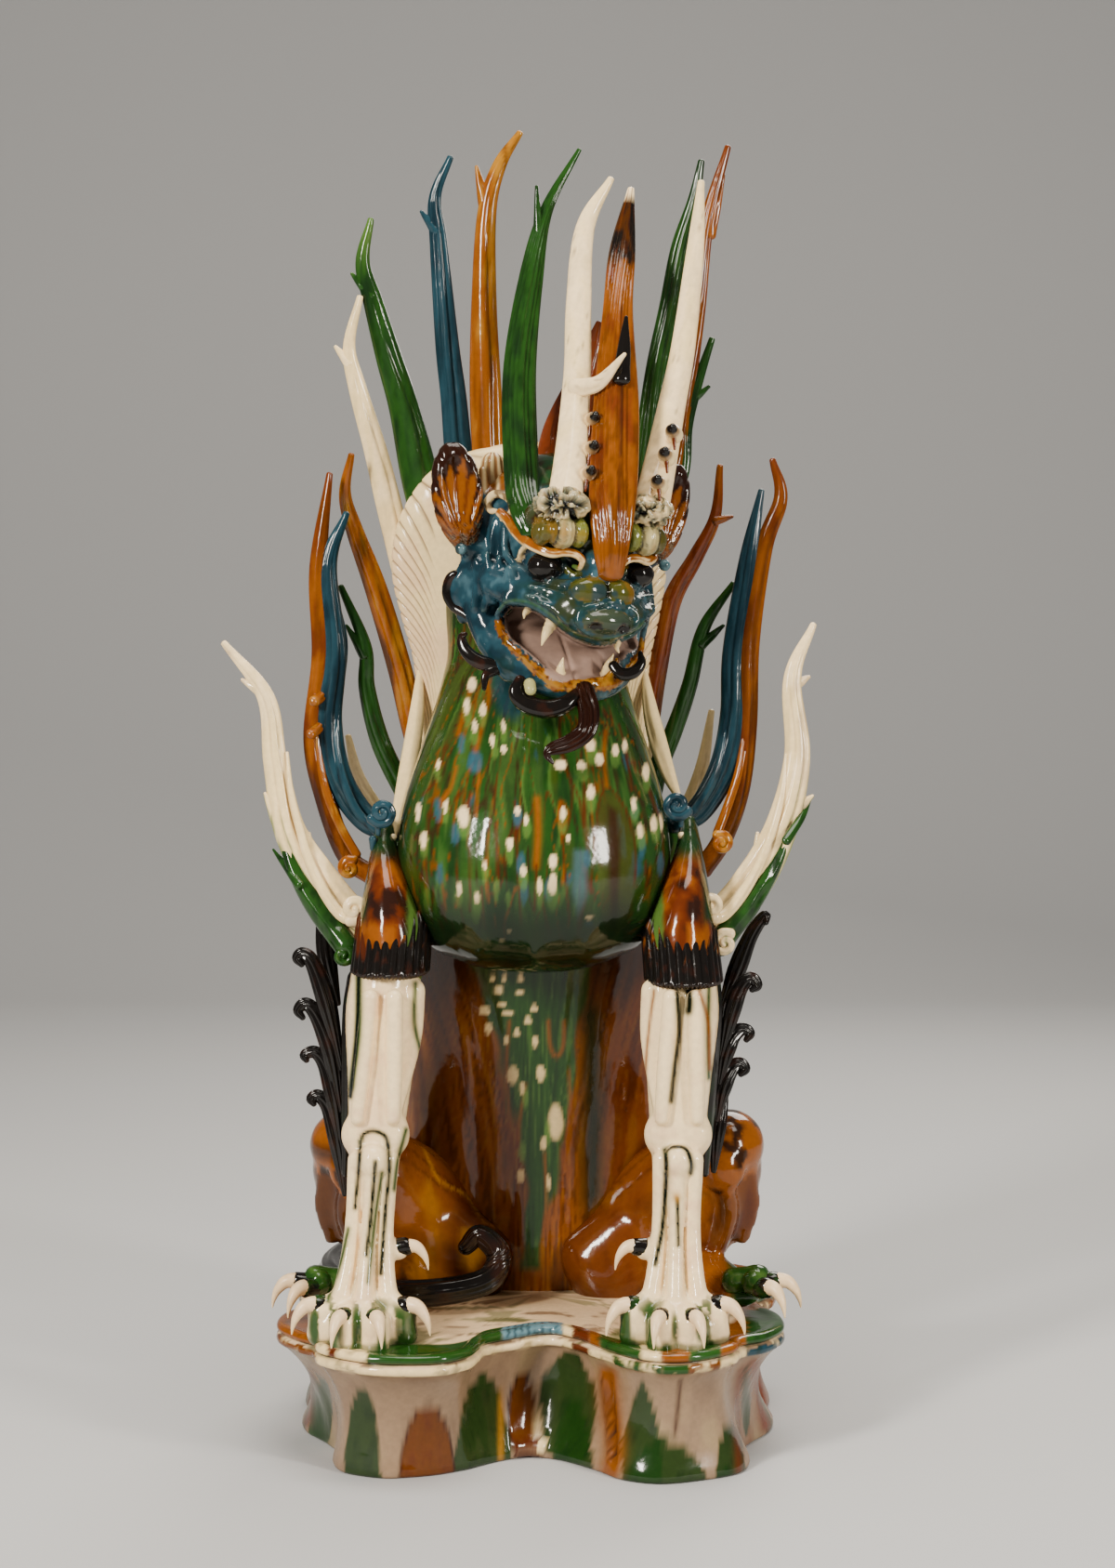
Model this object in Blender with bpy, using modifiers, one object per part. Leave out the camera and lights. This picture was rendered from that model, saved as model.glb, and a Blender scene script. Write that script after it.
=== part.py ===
"""A glazed earthenware tomb guardian: a seated, horned beast in a ring of flames, fused to its lobed plinth.

The beast faces -Y, its plinth rests on z = 0 and every size is in metres. Limbs, flames, claws and horns are
lofts along smooth routes through stations, and the plinth is a loft of lobed outlines. All of them are pressed
together as one lump of clay, fused into a single skin, and cut flat underneath.
"""

import math

import bmesh
import bpy
from mathutils import Matrix, Vector

NAME = "tomb_guardian_beast"

# Driving sizes
PLINTH_HEIGHT = 0.090
PLINTH_CENTRE_Y = -0.010
RIM_THICKNESS = 0.013
RIM_FLARE = 0.012
FOOT_FLARE = 0.007
HEAD_CENTRE = (0.0105, -0.030, 0.615)
HEAD_TURN = math.radians(23)
HEAD_ROLL = math.radians(4)
LEG_SPREAD = 0.1025
LEG_LEAN = {-1: 0.055, 1: 0.033}
LEG_LEAN_TOP = 0.335

# Fineness of the fused skin
CLAY_GRAIN = 0.0024
KEPT_SHARE = 0.0187
UNDERCUT = 0.006

GLAZE_COLOUR = (0.32, 0.20, 0.07, 1.0)
GLAZE_ROUGHNESS = 0.18

FRONT = Vector((0, -1, 0))
UP = Vector((0, 0, 1))

# Round lobes of the plinth's plan: x, y, radius. The two front lobes differ a little.
PLINTH_LOBES = (
    (0.000, -0.030, 0.061),
    (0.090, -0.127, 0.0405),
    (0.127, -0.080, 0.034),
    (0.121, 0.045, 0.043),
    (0.060, 0.110, 0.053),
    (-0.095, -0.1315, 0.0435),
    (-0.132, -0.080, 0.037),
    (-0.121, 0.045, 0.043),
    (-0.060, 0.110, 0.053),
    (0.000, 0.020, 0.125),
)
LOBE_SHARPNESS = 26

# The plinth's profile from the ground up: height, offset outwards from the waist's outline.
PLINTH_PROFILE = (
    (-UNDERCUT, FOOT_FLARE),
    (0.004, FOOT_FLARE),
    (0.016, 0.3 * FOOT_FLARE),
    (0.040, 0.0),
    (0.060, 0.1 * RIM_FLARE),
    (PLINTH_HEIGHT - RIM_THICKNESS - 0.003, 0.5 * RIM_FLARE),
    (PLINTH_HEIGHT - RIM_THICKNESS, 0.85 * RIM_FLARE),
    (PLINTH_HEIGHT - 0.7 * RIM_THICKNESS, RIM_FLARE),
    (PLINTH_HEIGHT - 0.3 * RIM_THICKNESS, RIM_FLARE),
    (PLINTH_HEIGHT, 0.6 * RIM_FLARE),
    (PLINTH_HEIGHT, -0.5 * RIM_FLARE),
)

# Limbs of the body. A station is x, y, z, half width, half depth.
BELLY = (
    (0.000, 0.088, 0.080, 0.106, 0.080),
    (0.000, 0.086, 0.135, 0.107, 0.080),
    (0.000, 0.074, 0.200, 0.102, 0.072),
    (0.000, 0.058, 0.270, 0.096, 0.068),
    (0.000, 0.036, 0.340, 0.093, 0.068),
    (0.000, 0.010, 0.410, 0.090, 0.070),
    (0.000, 0.012, 0.470, 0.070, 0.056),
    (0.000, 0.026, 0.540, 0.058, 0.044),
    (0.000, 0.028, 0.600, 0.054, 0.040),
)
CHEST = (
    (-0.002, -0.033, 0.333, 0.024, 0.018),
    (-0.002, -0.034, 0.338, 0.056, 0.046),
    (-0.002, -0.036, 0.354, 0.080, 0.066),
    (-0.002, -0.036, 0.376, 0.091, 0.075),
    (-0.002, -0.036, 0.403, 0.096, 0.078),
    (-0.002, -0.032, 0.430, 0.0945, 0.0765),
    (-0.002, -0.026, 0.455, 0.0895, 0.0725),
    (-0.002, -0.016, 0.488, 0.079, 0.065),
    (-0.002, 0.000, 0.522, 0.068, 0.054),
    (-0.002, 0.014, 0.552, 0.062, 0.046),
    (-0.003, 0.024, 0.590, 0.062, 0.044),
)
HOOD = (
    (-0.003, 0.052, 0.415, 0.092, 0.026),
    (-0.003, 0.046, 0.460, 0.090, 0.022),
    (-0.004, 0.040, 0.508, 0.084, 0.020),
    (-0.004, 0.034, 0.545, 0.086, 0.019),
    (-0.005, 0.030, 0.575, 0.093, 0.018),
    (-0.006, 0.028, 0.610, 0.099, 0.018),
    (-0.006, 0.026, 0.645, 0.094, 0.019),
    (-0.004, 0.022, 0.675, 0.078, 0.020),
    (0.000, 0.018, 0.692, 0.052, 0.018),
)
BACK = (
    (0.000, 0.036, 0.662, 0.022, 0.016),
    (0.000, 0.034, 0.640, 0.046, 0.030),
    (0.000, 0.032, 0.600, 0.058, 0.042),
    (0.000, 0.032, 0.540, 0.062, 0.049),
    (0.000, 0.034, 0.470, 0.078, 0.054),
    (0.000, 0.040, 0.410, 0.088, 0.058),
    (0.000, 0.056, 0.340, 0.092, 0.062),
    (0.000, 0.074, 0.270, 0.096, 0.063),
    (0.000, 0.088, 0.200, 0.102, 0.067),
    (0.000, 0.098, 0.130, 0.106, 0.071),
    (0.000, 0.098, 0.100, 0.106, 0.071),
)
SHOULDER_BLADE = (
    (0.090, 0.012, 0.412, 0.016, 0.016),
    (0.084, 0.030, 0.370, 0.027, 0.027),
    (0.074, 0.052, 0.320, 0.029, 0.029),
    (0.066, 0.070, 0.270, 0.026, 0.026),
)
# Both front legs lean a little to the left going down, so their stations start with the way outwards from
# the leg's middle.
FRONT_LEG = (
    (0.005, -0.022, 0.428, 0.008, 0.014),
    (0.0045, -0.034, 0.410, 0.012, 0.022),
    (0.002, -0.048, 0.386, 0.018, 0.032),
    (0.000, -0.062, 0.354, 0.026, 0.035),
    (0.000, -0.074, 0.320, 0.026, 0.029),
    (0.000, -0.083, 0.262, 0.0235, 0.026),
    (0.000, -0.092, 0.222, 0.0215, 0.026),
    (0.000, -0.100, 0.196, 0.0175, 0.022),
    (0.000, -0.107, 0.160, 0.0160, 0.020),
    (0.000, -0.116, 0.124, 0.0190, 0.023),
    (0.001, -0.122, 0.100, 0.0270, 0.029),
    (0.001, -0.124, 0.084, 0.0290, 0.031),
)
HAUNCH = (
    (0.050, 0.098, 0.112, 0.060, 0.042),
    (0.074, 0.062, 0.124, 0.060, 0.048),
    (0.098, 0.028, 0.144, 0.047, 0.050),
    (0.114, 0.006, 0.172, 0.034, 0.037),
)
KNEE = (0.137, -0.010, 0.198)
KNEE_SIZE = (0.026, 0.034, 0.026)
SHIN = (
    (0.137, 0.000, 0.180, 0.025, 0.028),
    (0.134, 0.000, 0.152, 0.025, 0.027),
    (0.124, 0.002, 0.124, 0.019, 0.021),
    (0.119, 0.004, 0.104, 0.018, 0.018),
)
HIND_FOOT = (
    (0.112, 0.012, 0.104, 0.018, 0.015),
    (0.122, -0.018, 0.106, 0.019, 0.015),
    (0.136, -0.040, 0.104, 0.019, 0.013),
    (0.144, -0.056, 0.100, 0.017, 0.010),
)
TAIL = (
    (0.000, 0.150, 0.128, 0.014, 0.014),
    (-0.060, 0.148, 0.110, 0.013, 0.013),
    (-0.126, 0.108, 0.102, 0.011, 0.011),
    (-0.150, 0.040, 0.101, 0.010, 0.010),
    (-0.140, -0.016, 0.101, 0.010, 0.010),
    (-0.112, -0.048, 0.101, 0.010, 0.010),
    (-0.072, -0.058, 0.103, 0.010, 0.010),
    (-0.036, -0.052, 0.110, 0.0095, 0.0095),
    (-0.027, -0.046, 0.127, 0.009, 0.009),
    (-0.040, -0.042, 0.140, 0.008, 0.008),
    (-0.050, -0.042, 0.132, 0.006, 0.006),
)

# The head's masses before it is turned: x, y, z from its middle, then half sizes. One with an x is on both
# sides.
SKULL = (
    ((0.0, -0.004, 0.020), (0.058, 0.056, 0.056)),
    ((0.0, -0.046, 0.022), (0.046, 0.044, 0.034)),
    ((0.0, -0.016, -0.054), (0.050, 0.038, 0.032)),
    ((0.0, -0.088, -0.004), (0.014, 0.012, 0.016)),
    ((0.0, -0.097, -0.024), (0.024, 0.011, 0.010)),
    ((0.0, -0.100, -0.041), (0.020, 0.012, 0.0095)),
    ((0.030, -0.066, 0.027), (0.019, 0.023, 0.013)),
    ((0.0345, -0.070, -0.0065), (0.012, 0.012, 0.010)),
    ((0.031, -0.086, 0.017), (0.017, 0.012, 0.011)),
    ((0.0315, -0.086, 0.035), (0.0185, 0.017, 0.0115)),
)
MUZZLE = (
    (0.0, -0.020, -0.010, 0.052, 0.028),
    (0.0, -0.055, -0.020, 0.046, 0.022),
    (0.0, -0.080, -0.032, 0.037, 0.019),
    (0.0, -0.090, -0.038, 0.030, 0.016),
)
JAW = (
    (0.0, -0.006, -0.070, 0.044, 0.020),
    (0.0, -0.034, -0.080, 0.038, 0.012),
    (0.0, -0.052, -0.086, 0.026, 0.008),
)
CHEEK = (
    (0.050, 0.000, 0.004, 0.014, 0.014),
    (0.054, -0.006, -0.024, 0.014, 0.014),
    (0.051, -0.016, -0.050, 0.013, 0.013),
    (0.038, -0.036, -0.078, 0.010, 0.010),
)
BROW = (
    (0.062, -0.052, 0.036, 0.005, 0.005),
    (0.050, -0.070, 0.016, 0.006, 0.006),
    (0.030, -0.086, 0.004, 0.006, 0.006),
    (0.012, -0.090, 0.002, 0.005, 0.005),
)
FANG = ((0.027, -0.082, -0.044, 0.0046, 0.0046), (0.027, -0.086, -0.060, 0.0022, 0.0022))
BEARD = (
    (0.030, -0.086, 0.532, 0.0075, 0.0075),
    (0.034, -0.097, 0.514, 0.0075, 0.0070),
    (0.031, -0.105, 0.499, 0.0068, 0.0060),
    (0.020, -0.109, 0.489, 0.0050, 0.0045),
    (0.010, -0.111, 0.485, 0.0034, 0.0030),
)
EAR_LEAN = math.radians(12)

# Flames and horns. A station is x, y, z, half width, and each is FLAME_DEPTH times as deep as it is wide.
FLAME_DEPTH = 0.62
TIP = 0.0024
TIP_SPARE = 0.004
FLAMES = {
    "cream crown": (
        (-0.094, 0.045, 0.600, 0.0090),
        (-0.107, 0.042, 0.656, 0.0090),
        (-0.117, 0.039, 0.696, 0.0080),
        (-0.130, 0.036, 0.742, 0.0062),
        (-0.135, 0.033, 0.771, 0.0042),
        (-0.127, 0.030, 0.805, TIP),
    ),
    "left green crown": (
        (-0.076, 0.036, 0.640, 0.0130),
        (-0.085, 0.038, 0.679, 0.0130),
        (-0.096, 0.038, 0.726, 0.0105),
        (-0.107, 0.036, 0.762, 0.0090),
        (-0.118, 0.034, 0.802, 0.0068),
        (-0.125, 0.032, 0.830, 0.0050),
        (-0.119, 0.030, 0.860, TIP),
    ),
    "blue crown": (
        (-0.050, 0.030, 0.650, 0.0100),
        (-0.056, 0.034, 0.690, 0.0098),
        (-0.060, 0.034, 0.732, 0.0090),
        (-0.065, 0.034, 0.772, 0.0082),
        (-0.071, 0.034, 0.845, 0.0060),
        (-0.073, 0.032, 0.876, 0.0042),
        (-0.062, 0.030, 0.904, TIP),
    ),
    "amber crown": (
        (-0.032, 0.018, 0.650, 0.0105),
        (-0.036, 0.020, 0.725, 0.0112),
        (-0.038, 0.020, 0.797, 0.0088),
        (-0.036, 0.020, 0.862, 0.0066),
        (-0.027, 0.020, 0.896, 0.0048),
        (-0.012, 0.020, 0.920, TIP),
    ),
    "middle green crown": (
        (-0.003, -0.112, 0.624, 0.0070),
        (-0.007, -0.102, 0.645, 0.0100),
        (-0.010, -0.080, 0.674, 0.0115),
        (-0.012, -0.050, 0.745, 0.0110),
        (-0.004, -0.026, 0.812, 0.0082),
        (0.007, -0.007, 0.862, 0.0044),
        (0.030, 0.000, 0.905, TIP),
    ),
    "crest": (
        (0.050, -0.121, 0.606, 0.0085),
        (0.051, -0.122, 0.630, 0.0125),
        (0.052, -0.113, 0.662, 0.0155),
        (0.054, -0.085, 0.720, 0.0150),
        (0.056, -0.058, 0.786, 0.0100),
        (0.060, -0.033, 0.831, 0.0086),
        (0.066, -0.020, 0.875, TIP),
    ),
    "crest ridge": (
        (0.031, -0.016, 0.644, 0.0330),
        (0.030, -0.008, 0.703, 0.0260),
        (0.035, -0.003, 0.743, 0.0130),
        (0.044, 0.000, 0.784, TIP),
    ),
    "left horn": (
        (0.019, -0.118, 0.652, 0.0112),
        (0.024, -0.098, 0.688, 0.0104),
        (0.028, -0.068, 0.743, 0.0090),
        (0.029, -0.048, 0.792, 0.0084),
        (0.034, -0.027, 0.847, 0.0064),
        (0.052, -0.020, 0.882, TIP),
    ),
    "right horn": (
        (0.078, -0.098, 0.650, 0.0118),
        (0.084, -0.078, 0.676, 0.0110),
        (0.093, -0.058, 0.721, 0.0092),
        (0.102, -0.042, 0.766, 0.0080),
        (0.111, -0.026, 0.833, 0.0058),
        (0.115, -0.020, 0.880, TIP),
    ),
    "right green crown": (
        (0.074, 0.014, 0.650, 0.0100),
        (0.078, 0.010, 0.681, 0.0100),
        (0.085, 0.008, 0.747, 0.0082),
        (0.094, 0.006, 0.796, 0.0072),
        (0.101, 0.004, 0.836, 0.0062),
        (0.111, 0.002, 0.870, 0.0042),
        (0.116, 0.000, 0.897, TIP),
    ),
    "back amber crown": (
        (0.080, 0.030, 0.640, 0.0100),
        (0.097, 0.040, 0.686, 0.0095),
        (0.105, 0.040, 0.739, 0.0085),
        (0.114, 0.040, 0.799, 0.0070),
        (0.122, 0.040, 0.859, 0.0050),
        (0.137, 0.040, 0.913, TIP),
    ),
    "small green crown": (
        (0.088, 0.034, 0.640, 0.0060),
        (0.104, 0.040, 0.679, 0.0055),
        (0.107, 0.040, 0.713, 0.0050),
        (0.114, 0.040, 0.739, 0.0040),
        (0.126, 0.040, 0.776, TIP),
    ),
    "left neck amber": (
        (-0.080, 0.048, 0.460, 0.0085),
        (-0.090, 0.046, 0.495, 0.0085),
        (-0.100, 0.044, 0.538, 0.0085),
        (-0.117, 0.038, 0.596, 0.0078),
        (-0.132, 0.032, 0.639, 0.0060),
        (-0.138, 0.026, 0.665, 0.0042),
        (-0.133, 0.020, 0.692, TIP),
    ),
    "left neck green": (
        (-0.085, 0.030, 0.430, 0.0070),
        (-0.098, 0.030, 0.453, 0.0070),
        (-0.114, 0.028, 0.487, 0.0068),
        (-0.123, 0.025, 0.525, 0.0058),
        (-0.124, 0.022, 0.556, 0.0045),
        (-0.141, 0.020, 0.598, TIP),
    ),
    "right neck amber": (
        (0.080, 0.044, 0.490, 0.0075),
        (0.087, 0.040, 0.537, 0.0072),
        (0.097, 0.035, 0.587, 0.0068),
        (0.114, 0.030, 0.619, 0.0055),
        (0.128, 0.025, 0.648, 0.0040),
        (0.131, 0.020, 0.684, TIP),
    ),
    "right neck green": (
        (0.080, 0.030, 0.430, 0.0070),
        (0.087, 0.030, 0.464, 0.0070),
        (0.099, 0.028, 0.495, 0.0062),
        (0.110, 0.025, 0.528, 0.0055),
        (0.120, 0.022, 0.568, 0.0045),
        (0.141, 0.020, 0.600, TIP),
    ),
    "left blue": (
        (-0.100, 0.000, 0.425, 0.0080),
        (-0.122, 0.001, 0.432, 0.0090),
        (-0.142, 0.003, 0.462, 0.0095),
        (-0.149, 0.005, 0.502, 0.0090),
        (-0.145, 0.007, 0.552, 0.0082),
        (-0.149, 0.008, 0.612, 0.0062),
        (-0.136, 0.010, 0.650, TIP),
    ),
    "left amber": (
        (-0.118, -0.004, 0.392, 0.0070),
        (-0.136, 0.000, 0.406, 0.0070),
        (-0.151, 0.003, 0.445, 0.0072),
        (-0.160, 0.005, 0.489, 0.0072),
        (-0.154, 0.007, 0.549, 0.0070),
        (-0.156, 0.009, 0.612, 0.0062),
        (-0.148, 0.011, 0.678, TIP),
    ),
    "right blue": (
        (0.096, 0.000, 0.430, 0.0080),
        (0.116, 0.001, 0.438, 0.0090),
        (0.133, 0.003, 0.468, 0.0098),
        (0.140, 0.005, 0.506, 0.0092),
        (0.141, 0.007, 0.552, 0.0082),
        (0.151, 0.008, 0.618, 0.0062),
        (0.160, 0.010, 0.666, TIP),
    ),
    "right amber": (
        (0.118, -0.004, 0.396, 0.0070),
        (0.133, 0.000, 0.418, 0.0070),
        (0.145, 0.003, 0.453, 0.0070),
        (0.150, 0.005, 0.499, 0.0070),
        (0.152, 0.007, 0.559, 0.0068),
        (0.162, 0.009, 0.625, 0.0060),
        (0.174, 0.010, 0.661, 0.0048),
        (0.168, 0.011, 0.688, TIP),
    ),
    "left small white": (
        (-0.088, 0.018, 0.404, 0.0070),
        (-0.112, 0.028, 0.430, 0.0062),
        (-0.129, 0.030, 0.459, 0.0045),
        (-0.137, 0.030, 0.490, TIP),
    ),
    "right small white": (
        (0.096, 0.028, 0.410, 0.0065),
        (0.110, 0.030, 0.440, 0.0058),
        (0.120, 0.030, 0.471, 0.0045),
        (0.126, 0.030, 0.508, TIP),
    ),
    "left white": (
        (-0.110, -0.045, 0.350, 0.0100),
        (-0.130, -0.037, 0.366, 0.0125),
        (-0.153, -0.030, 0.390, 0.0135),
        (-0.175, -0.025, 0.426, 0.0108),
        (-0.185, -0.020, 0.474, 0.0082),
        (-0.192, -0.015, 0.520, 0.0060),
        (-0.222, -0.010, 0.558, TIP),
    ),
    "right white": (
        (0.108, -0.045, 0.346, 0.0100),
        (0.127, -0.037, 0.362, 0.0125),
        (0.150, -0.030, 0.386, 0.0135),
        (0.172, -0.025, 0.427, 0.0112),
        (0.184, -0.020, 0.478, 0.0088),
        (0.181, -0.015, 0.533, 0.0060),
        (0.197, -0.010, 0.571, TIP),
    ),
    "clay between crest and horn": (
        (0.031, -0.092, 0.660, 0.0110),
        (0.036, -0.094, 0.680, 0.0110),
        (0.037, -0.096, 0.698, 0.0090),
    ),
}

# Short side tongues of the flames: root, tip and half width at the root.
TONGUES = (
    ((-0.135, 0.034, 0.758), (-0.145, 0.033, 0.770), 0.0040),
    ((-0.119, 0.033, 0.806), (-0.133, 0.033, 0.822), 0.0045),
    ((-0.072, 0.033, 0.852), (-0.083, 0.032, 0.866), 0.0042),
    ((-0.037, 0.020, 0.868), (-0.043, 0.020, 0.896), 0.0045),
    ((0.001, -0.014, 0.840), (0.000, -0.010, 0.878), 0.0034),
    ((0.026, -0.078, 0.732), (0.060, -0.100, 0.754), 0.0066),
    ((0.0580, -0.088, 0.738), (0.0615, -0.076, 0.781), 0.0060),
    ((0.124, 0.040, 0.850), (0.134, 0.042, 0.893), 0.0045),
    ((0.112, 0.040, 0.732), (0.124, 0.040, 0.742), 0.0032),
    ((-0.124, 0.022, 0.548), (-0.137, 0.020, 0.570), 0.0040),
    ((0.118, 0.022, 0.556), (0.134, 0.020, 0.570), 0.0040),
    ((0.128, 0.024, 0.645), (0.140, 0.022, 0.648), 0.0035),
    ((-0.195, -0.014, 0.524), (-0.209, -0.012, 0.532), 0.0045),
    ((-0.182, -0.024, 0.430), (-0.192, -0.024, 0.452), 0.0050),
    ((-0.160, -0.028, 0.404), (-0.161, -0.026, 0.424), 0.0045),
    ((0.182, -0.014, 0.528), (0.193, -0.012, 0.534), 0.0045),
    ((0.182, -0.022, 0.440), (0.195, -0.022, 0.450), 0.0050),
    ((0.156, -0.028, 0.402), (0.156, -0.026, 0.424), 0.0045),
)

# Locks of fur that stand off the back of each front leg: height, reach outwards.
FUR_LOCKS = ((0.345, 0.032), (0.301, 0.034), (0.268, 0.026), (0.238, 0.021))

# Claws: heading from straight ahead, height of the knuckle.
FRONT_CLAWS = ((-62, 0.112), (-17, 0.108), (22, 0.108), (66, 0.112))
HIND_CLAWS = ((40, 0.109), (80, 0.111))
CLAW_REACH = 0.021
CLAW_HALF = 0.0062
FRONT_ANKLE_Y = -0.124
FRONT_TOE = 0.026
HIND_ANKLE = (0.148, -0.060)
HIND_TOE = 0.010
KNUCKLE = (0.0105, 0.0105, 0.014)
KNUCKLE_DROP = 0.008


def smooth_route(stations, steps):
    """Points on the smooth curve through the stations, each number of a station being blended alike."""
    first = [2 * a - b for a, b in zip(stations[0], stations[1])]
    last = [2 * a - b for a, b in zip(stations[-1], stations[-2])]
    line = [first, *stations, last]
    route = []
    for a, b, c, d in zip(line, line[1:], line[2:], line[3:]):
        for step in range(steps):
            t = step / steps
            route.append([
                0.5 * (2 * q + (r - p) * t + (2 * p - 5 * q + 4 * r - s) * t**2 + (3 * q - p - 3 * r + s) * t**3)
                for p, q, r, s in zip(a, b, c, d)
            ])
    route.append(list(stations[-1]))
    return route


def loft(clay, rings):
    """A closed body through rings that have the same number of points, with a flat cap at each end."""
    loops = [[clay.verts.new(point) for point in ring] for ring in rings]
    count = len(loops[0])
    for low, high in zip(loops, loops[1:]):
        for i in range(count):
            j = (i + 1) % count
            clay.faces.new((low[i], low[j], high[j], high[i]))
    clay.faces.new(loops[0][::-1])
    clay.faces.new(loops[-1])


def limb(clay, stations, facing=FRONT, sides=14, steps=5, place=Matrix.Identity(4)):
    """A tapering body with an oval section and round ends, its half depth lying along facing."""
    route = smooth_route(stations, steps)
    centres = [place @ Vector(station[:3]) for station in route]
    facing = place.to_3x3() @ facing
    rounding = (0.35, 0.72, 0.93)

    def ring(centre, tangent, half_width, half_depth):
        across = tangent.cross(facing).normalized()
        deep = across.cross(tangent).normalized()
        turns = [2 * math.pi * i / sides for i in range(sides)]
        return [centre + across * half_width * math.cos(a) + deep * half_depth * math.sin(a) for a in turns]

    rings = []
    last = len(route) - 1
    for i, station in enumerate(route):
        tangent = (centres[min(i + 1, last)] - centres[max(i - 1, 0)]).normalized()
        half_width, half_depth = station[3], station[4]
        size = min(half_width, half_depth)
        middle = [ring(centres[i], tangent, half_width, half_depth)]
        caps = []
        for share in rounding:
            reach = size * math.sqrt(1 - share**2) * (1 if i else -1)
            caps.append(ring(centres[i] + tangent * reach, tangent, half_width * share, half_depth * share))
        if i == 0:
            rings += caps + middle
        elif i == last:
            rings += middle + caps[::-1]
        else:
            rings += middle
    loft(clay, rings)


def blob(clay, centre, radii, place=Matrix.Identity(4)):
    """A ball stretched to three radii."""
    shape = place @ Matrix.Translation(centre) @ Matrix.Diagonal((*radii, 1))
    bmesh.ops.create_uvsphere(clay, u_segments=20, v_segments=12, radius=1, matrix=shape)


def claw(clay, root, heading, reach, half_width):
    """A hooked claw that leaves its root along heading, level at first, and turns down to its point."""
    ahead = Vector((math.sin(heading), -math.cos(heading), 0))
    hook = ((0.0, 0.0, 1.0), (0.45, 0.10, 0.95), (0.85, -0.15, 0.70), (1.0, -0.75, 0.22))
    stations = [
        (*(root + ahead * reach * out + UP * reach * rise), half_width * size, half_width * size)
        for out, rise, size in hook
    ]
    limb(clay, stations, facing=ahead.cross(UP), sides=8, steps=3)


def mirrored(stations):
    return [(-station[0], *station[1:]) for station in stations]


def lobed_outline(offset, sides=180):
    """The plinth's plan: the smooth outer edge of all its round lobes, moved outwards by offset."""
    outline = []
    for i in range(sides):
        angle = 2 * math.pi * i / sides
        ray = Vector((math.cos(angle), math.sin(angle)))
        reaches = []
        for x, y, radius in PLINTH_LOBES:
            centre = Vector((x, y - PLINTH_CENTRE_Y))
            spare = radius**2 - (centre.x * ray.y - centre.y * ray.x) ** 2
            if spare > 0:
                reaches.append(max(centre.dot(ray) + math.sqrt(spare), 0.0))
        longest = max(reaches)
        total = sum((reach / longest) ** LOBE_SHARPNESS for reach in reaches)
        outline.append(ray * (longest * total ** (1 / LOBE_SHARPNESS) + offset))
    return outline


def plinth(clay):
    """Waisted body with a flared foot and a thick rolled rim."""
    rings = []
    for height, offset in PLINTH_PROFILE:
        rings.append([(p.x, p.y + PLINTH_CENTRE_Y, height) for p in lobed_outline(offset)])
    loft(clay, rings)


def body(clay):
    for stations in (BELLY, CHEST, HOOD, BACK):
        limb(clay, stations, sides=28)
    limb(clay, TAIL, facing=UP, sides=10)


def leg_middle(side, height):
    """Where the middle of a front leg stands at a height."""
    return side * LEG_SPREAD - 0.0015 - LEG_LEAN[side] * max(LEG_LEAN_TOP - height, 0)


def front_foot(clay, side):
    """Four hooked claws on knuckles, and a smaller dewclaw on the inner side."""
    ankle = Vector((leg_middle(side, 0.1), FRONT_ANKLE_Y, 0.0))
    for degrees, height in FRONT_CLAWS:
        heading = math.radians(degrees) * side
        ahead = Vector((math.sin(heading), -math.cos(heading), 0))
        knuckle = ankle + ahead * FRONT_TOE + UP * height
        toe = [(*(ankle + UP * height), 0.011, 0.012), (*knuckle, 0.0098, 0.0105)]
        limb(clay, toe, facing=UP, sides=10)
        blob(clay, knuckle - UP * KNUCKLE_DROP, KNUCKLE)
        claw(clay, knuckle + ahead * 0.003, heading, CLAW_REACH, CLAW_HALF)
    thumb = Vector((leg_middle(side, 0.148) - side * 0.016, -0.118, 0.148))
    claw(clay, thumb, math.radians(-78) * side, 0.9 * CLAW_REACH, 0.0054)


def hind_foot(clay, side):
    """Two hooked claws that reach out over the plinth's edge."""
    ankle = Vector((side * HIND_ANKLE[0], HIND_ANKLE[1], 0.0))
    for degrees, height in HIND_CLAWS:
        heading = math.radians(degrees) * side
        ahead = Vector((math.sin(heading), -math.cos(heading), 0))
        knuckle = ankle + ahead * HIND_TOE + UP * height
        toe = [(*(ankle - ahead * 0.010 + UP * (height - 0.004)), 0.010, 0.010), (*knuckle, 0.0092, 0.0092)]
        limb(clay, toe, facing=UP, sides=10)
        blob(clay, knuckle - UP * KNUCKLE_DROP, KNUCKLE)
        claw(clay, knuckle + ahead * 0.004, heading, CLAW_REACH, CLAW_HALF)


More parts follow.
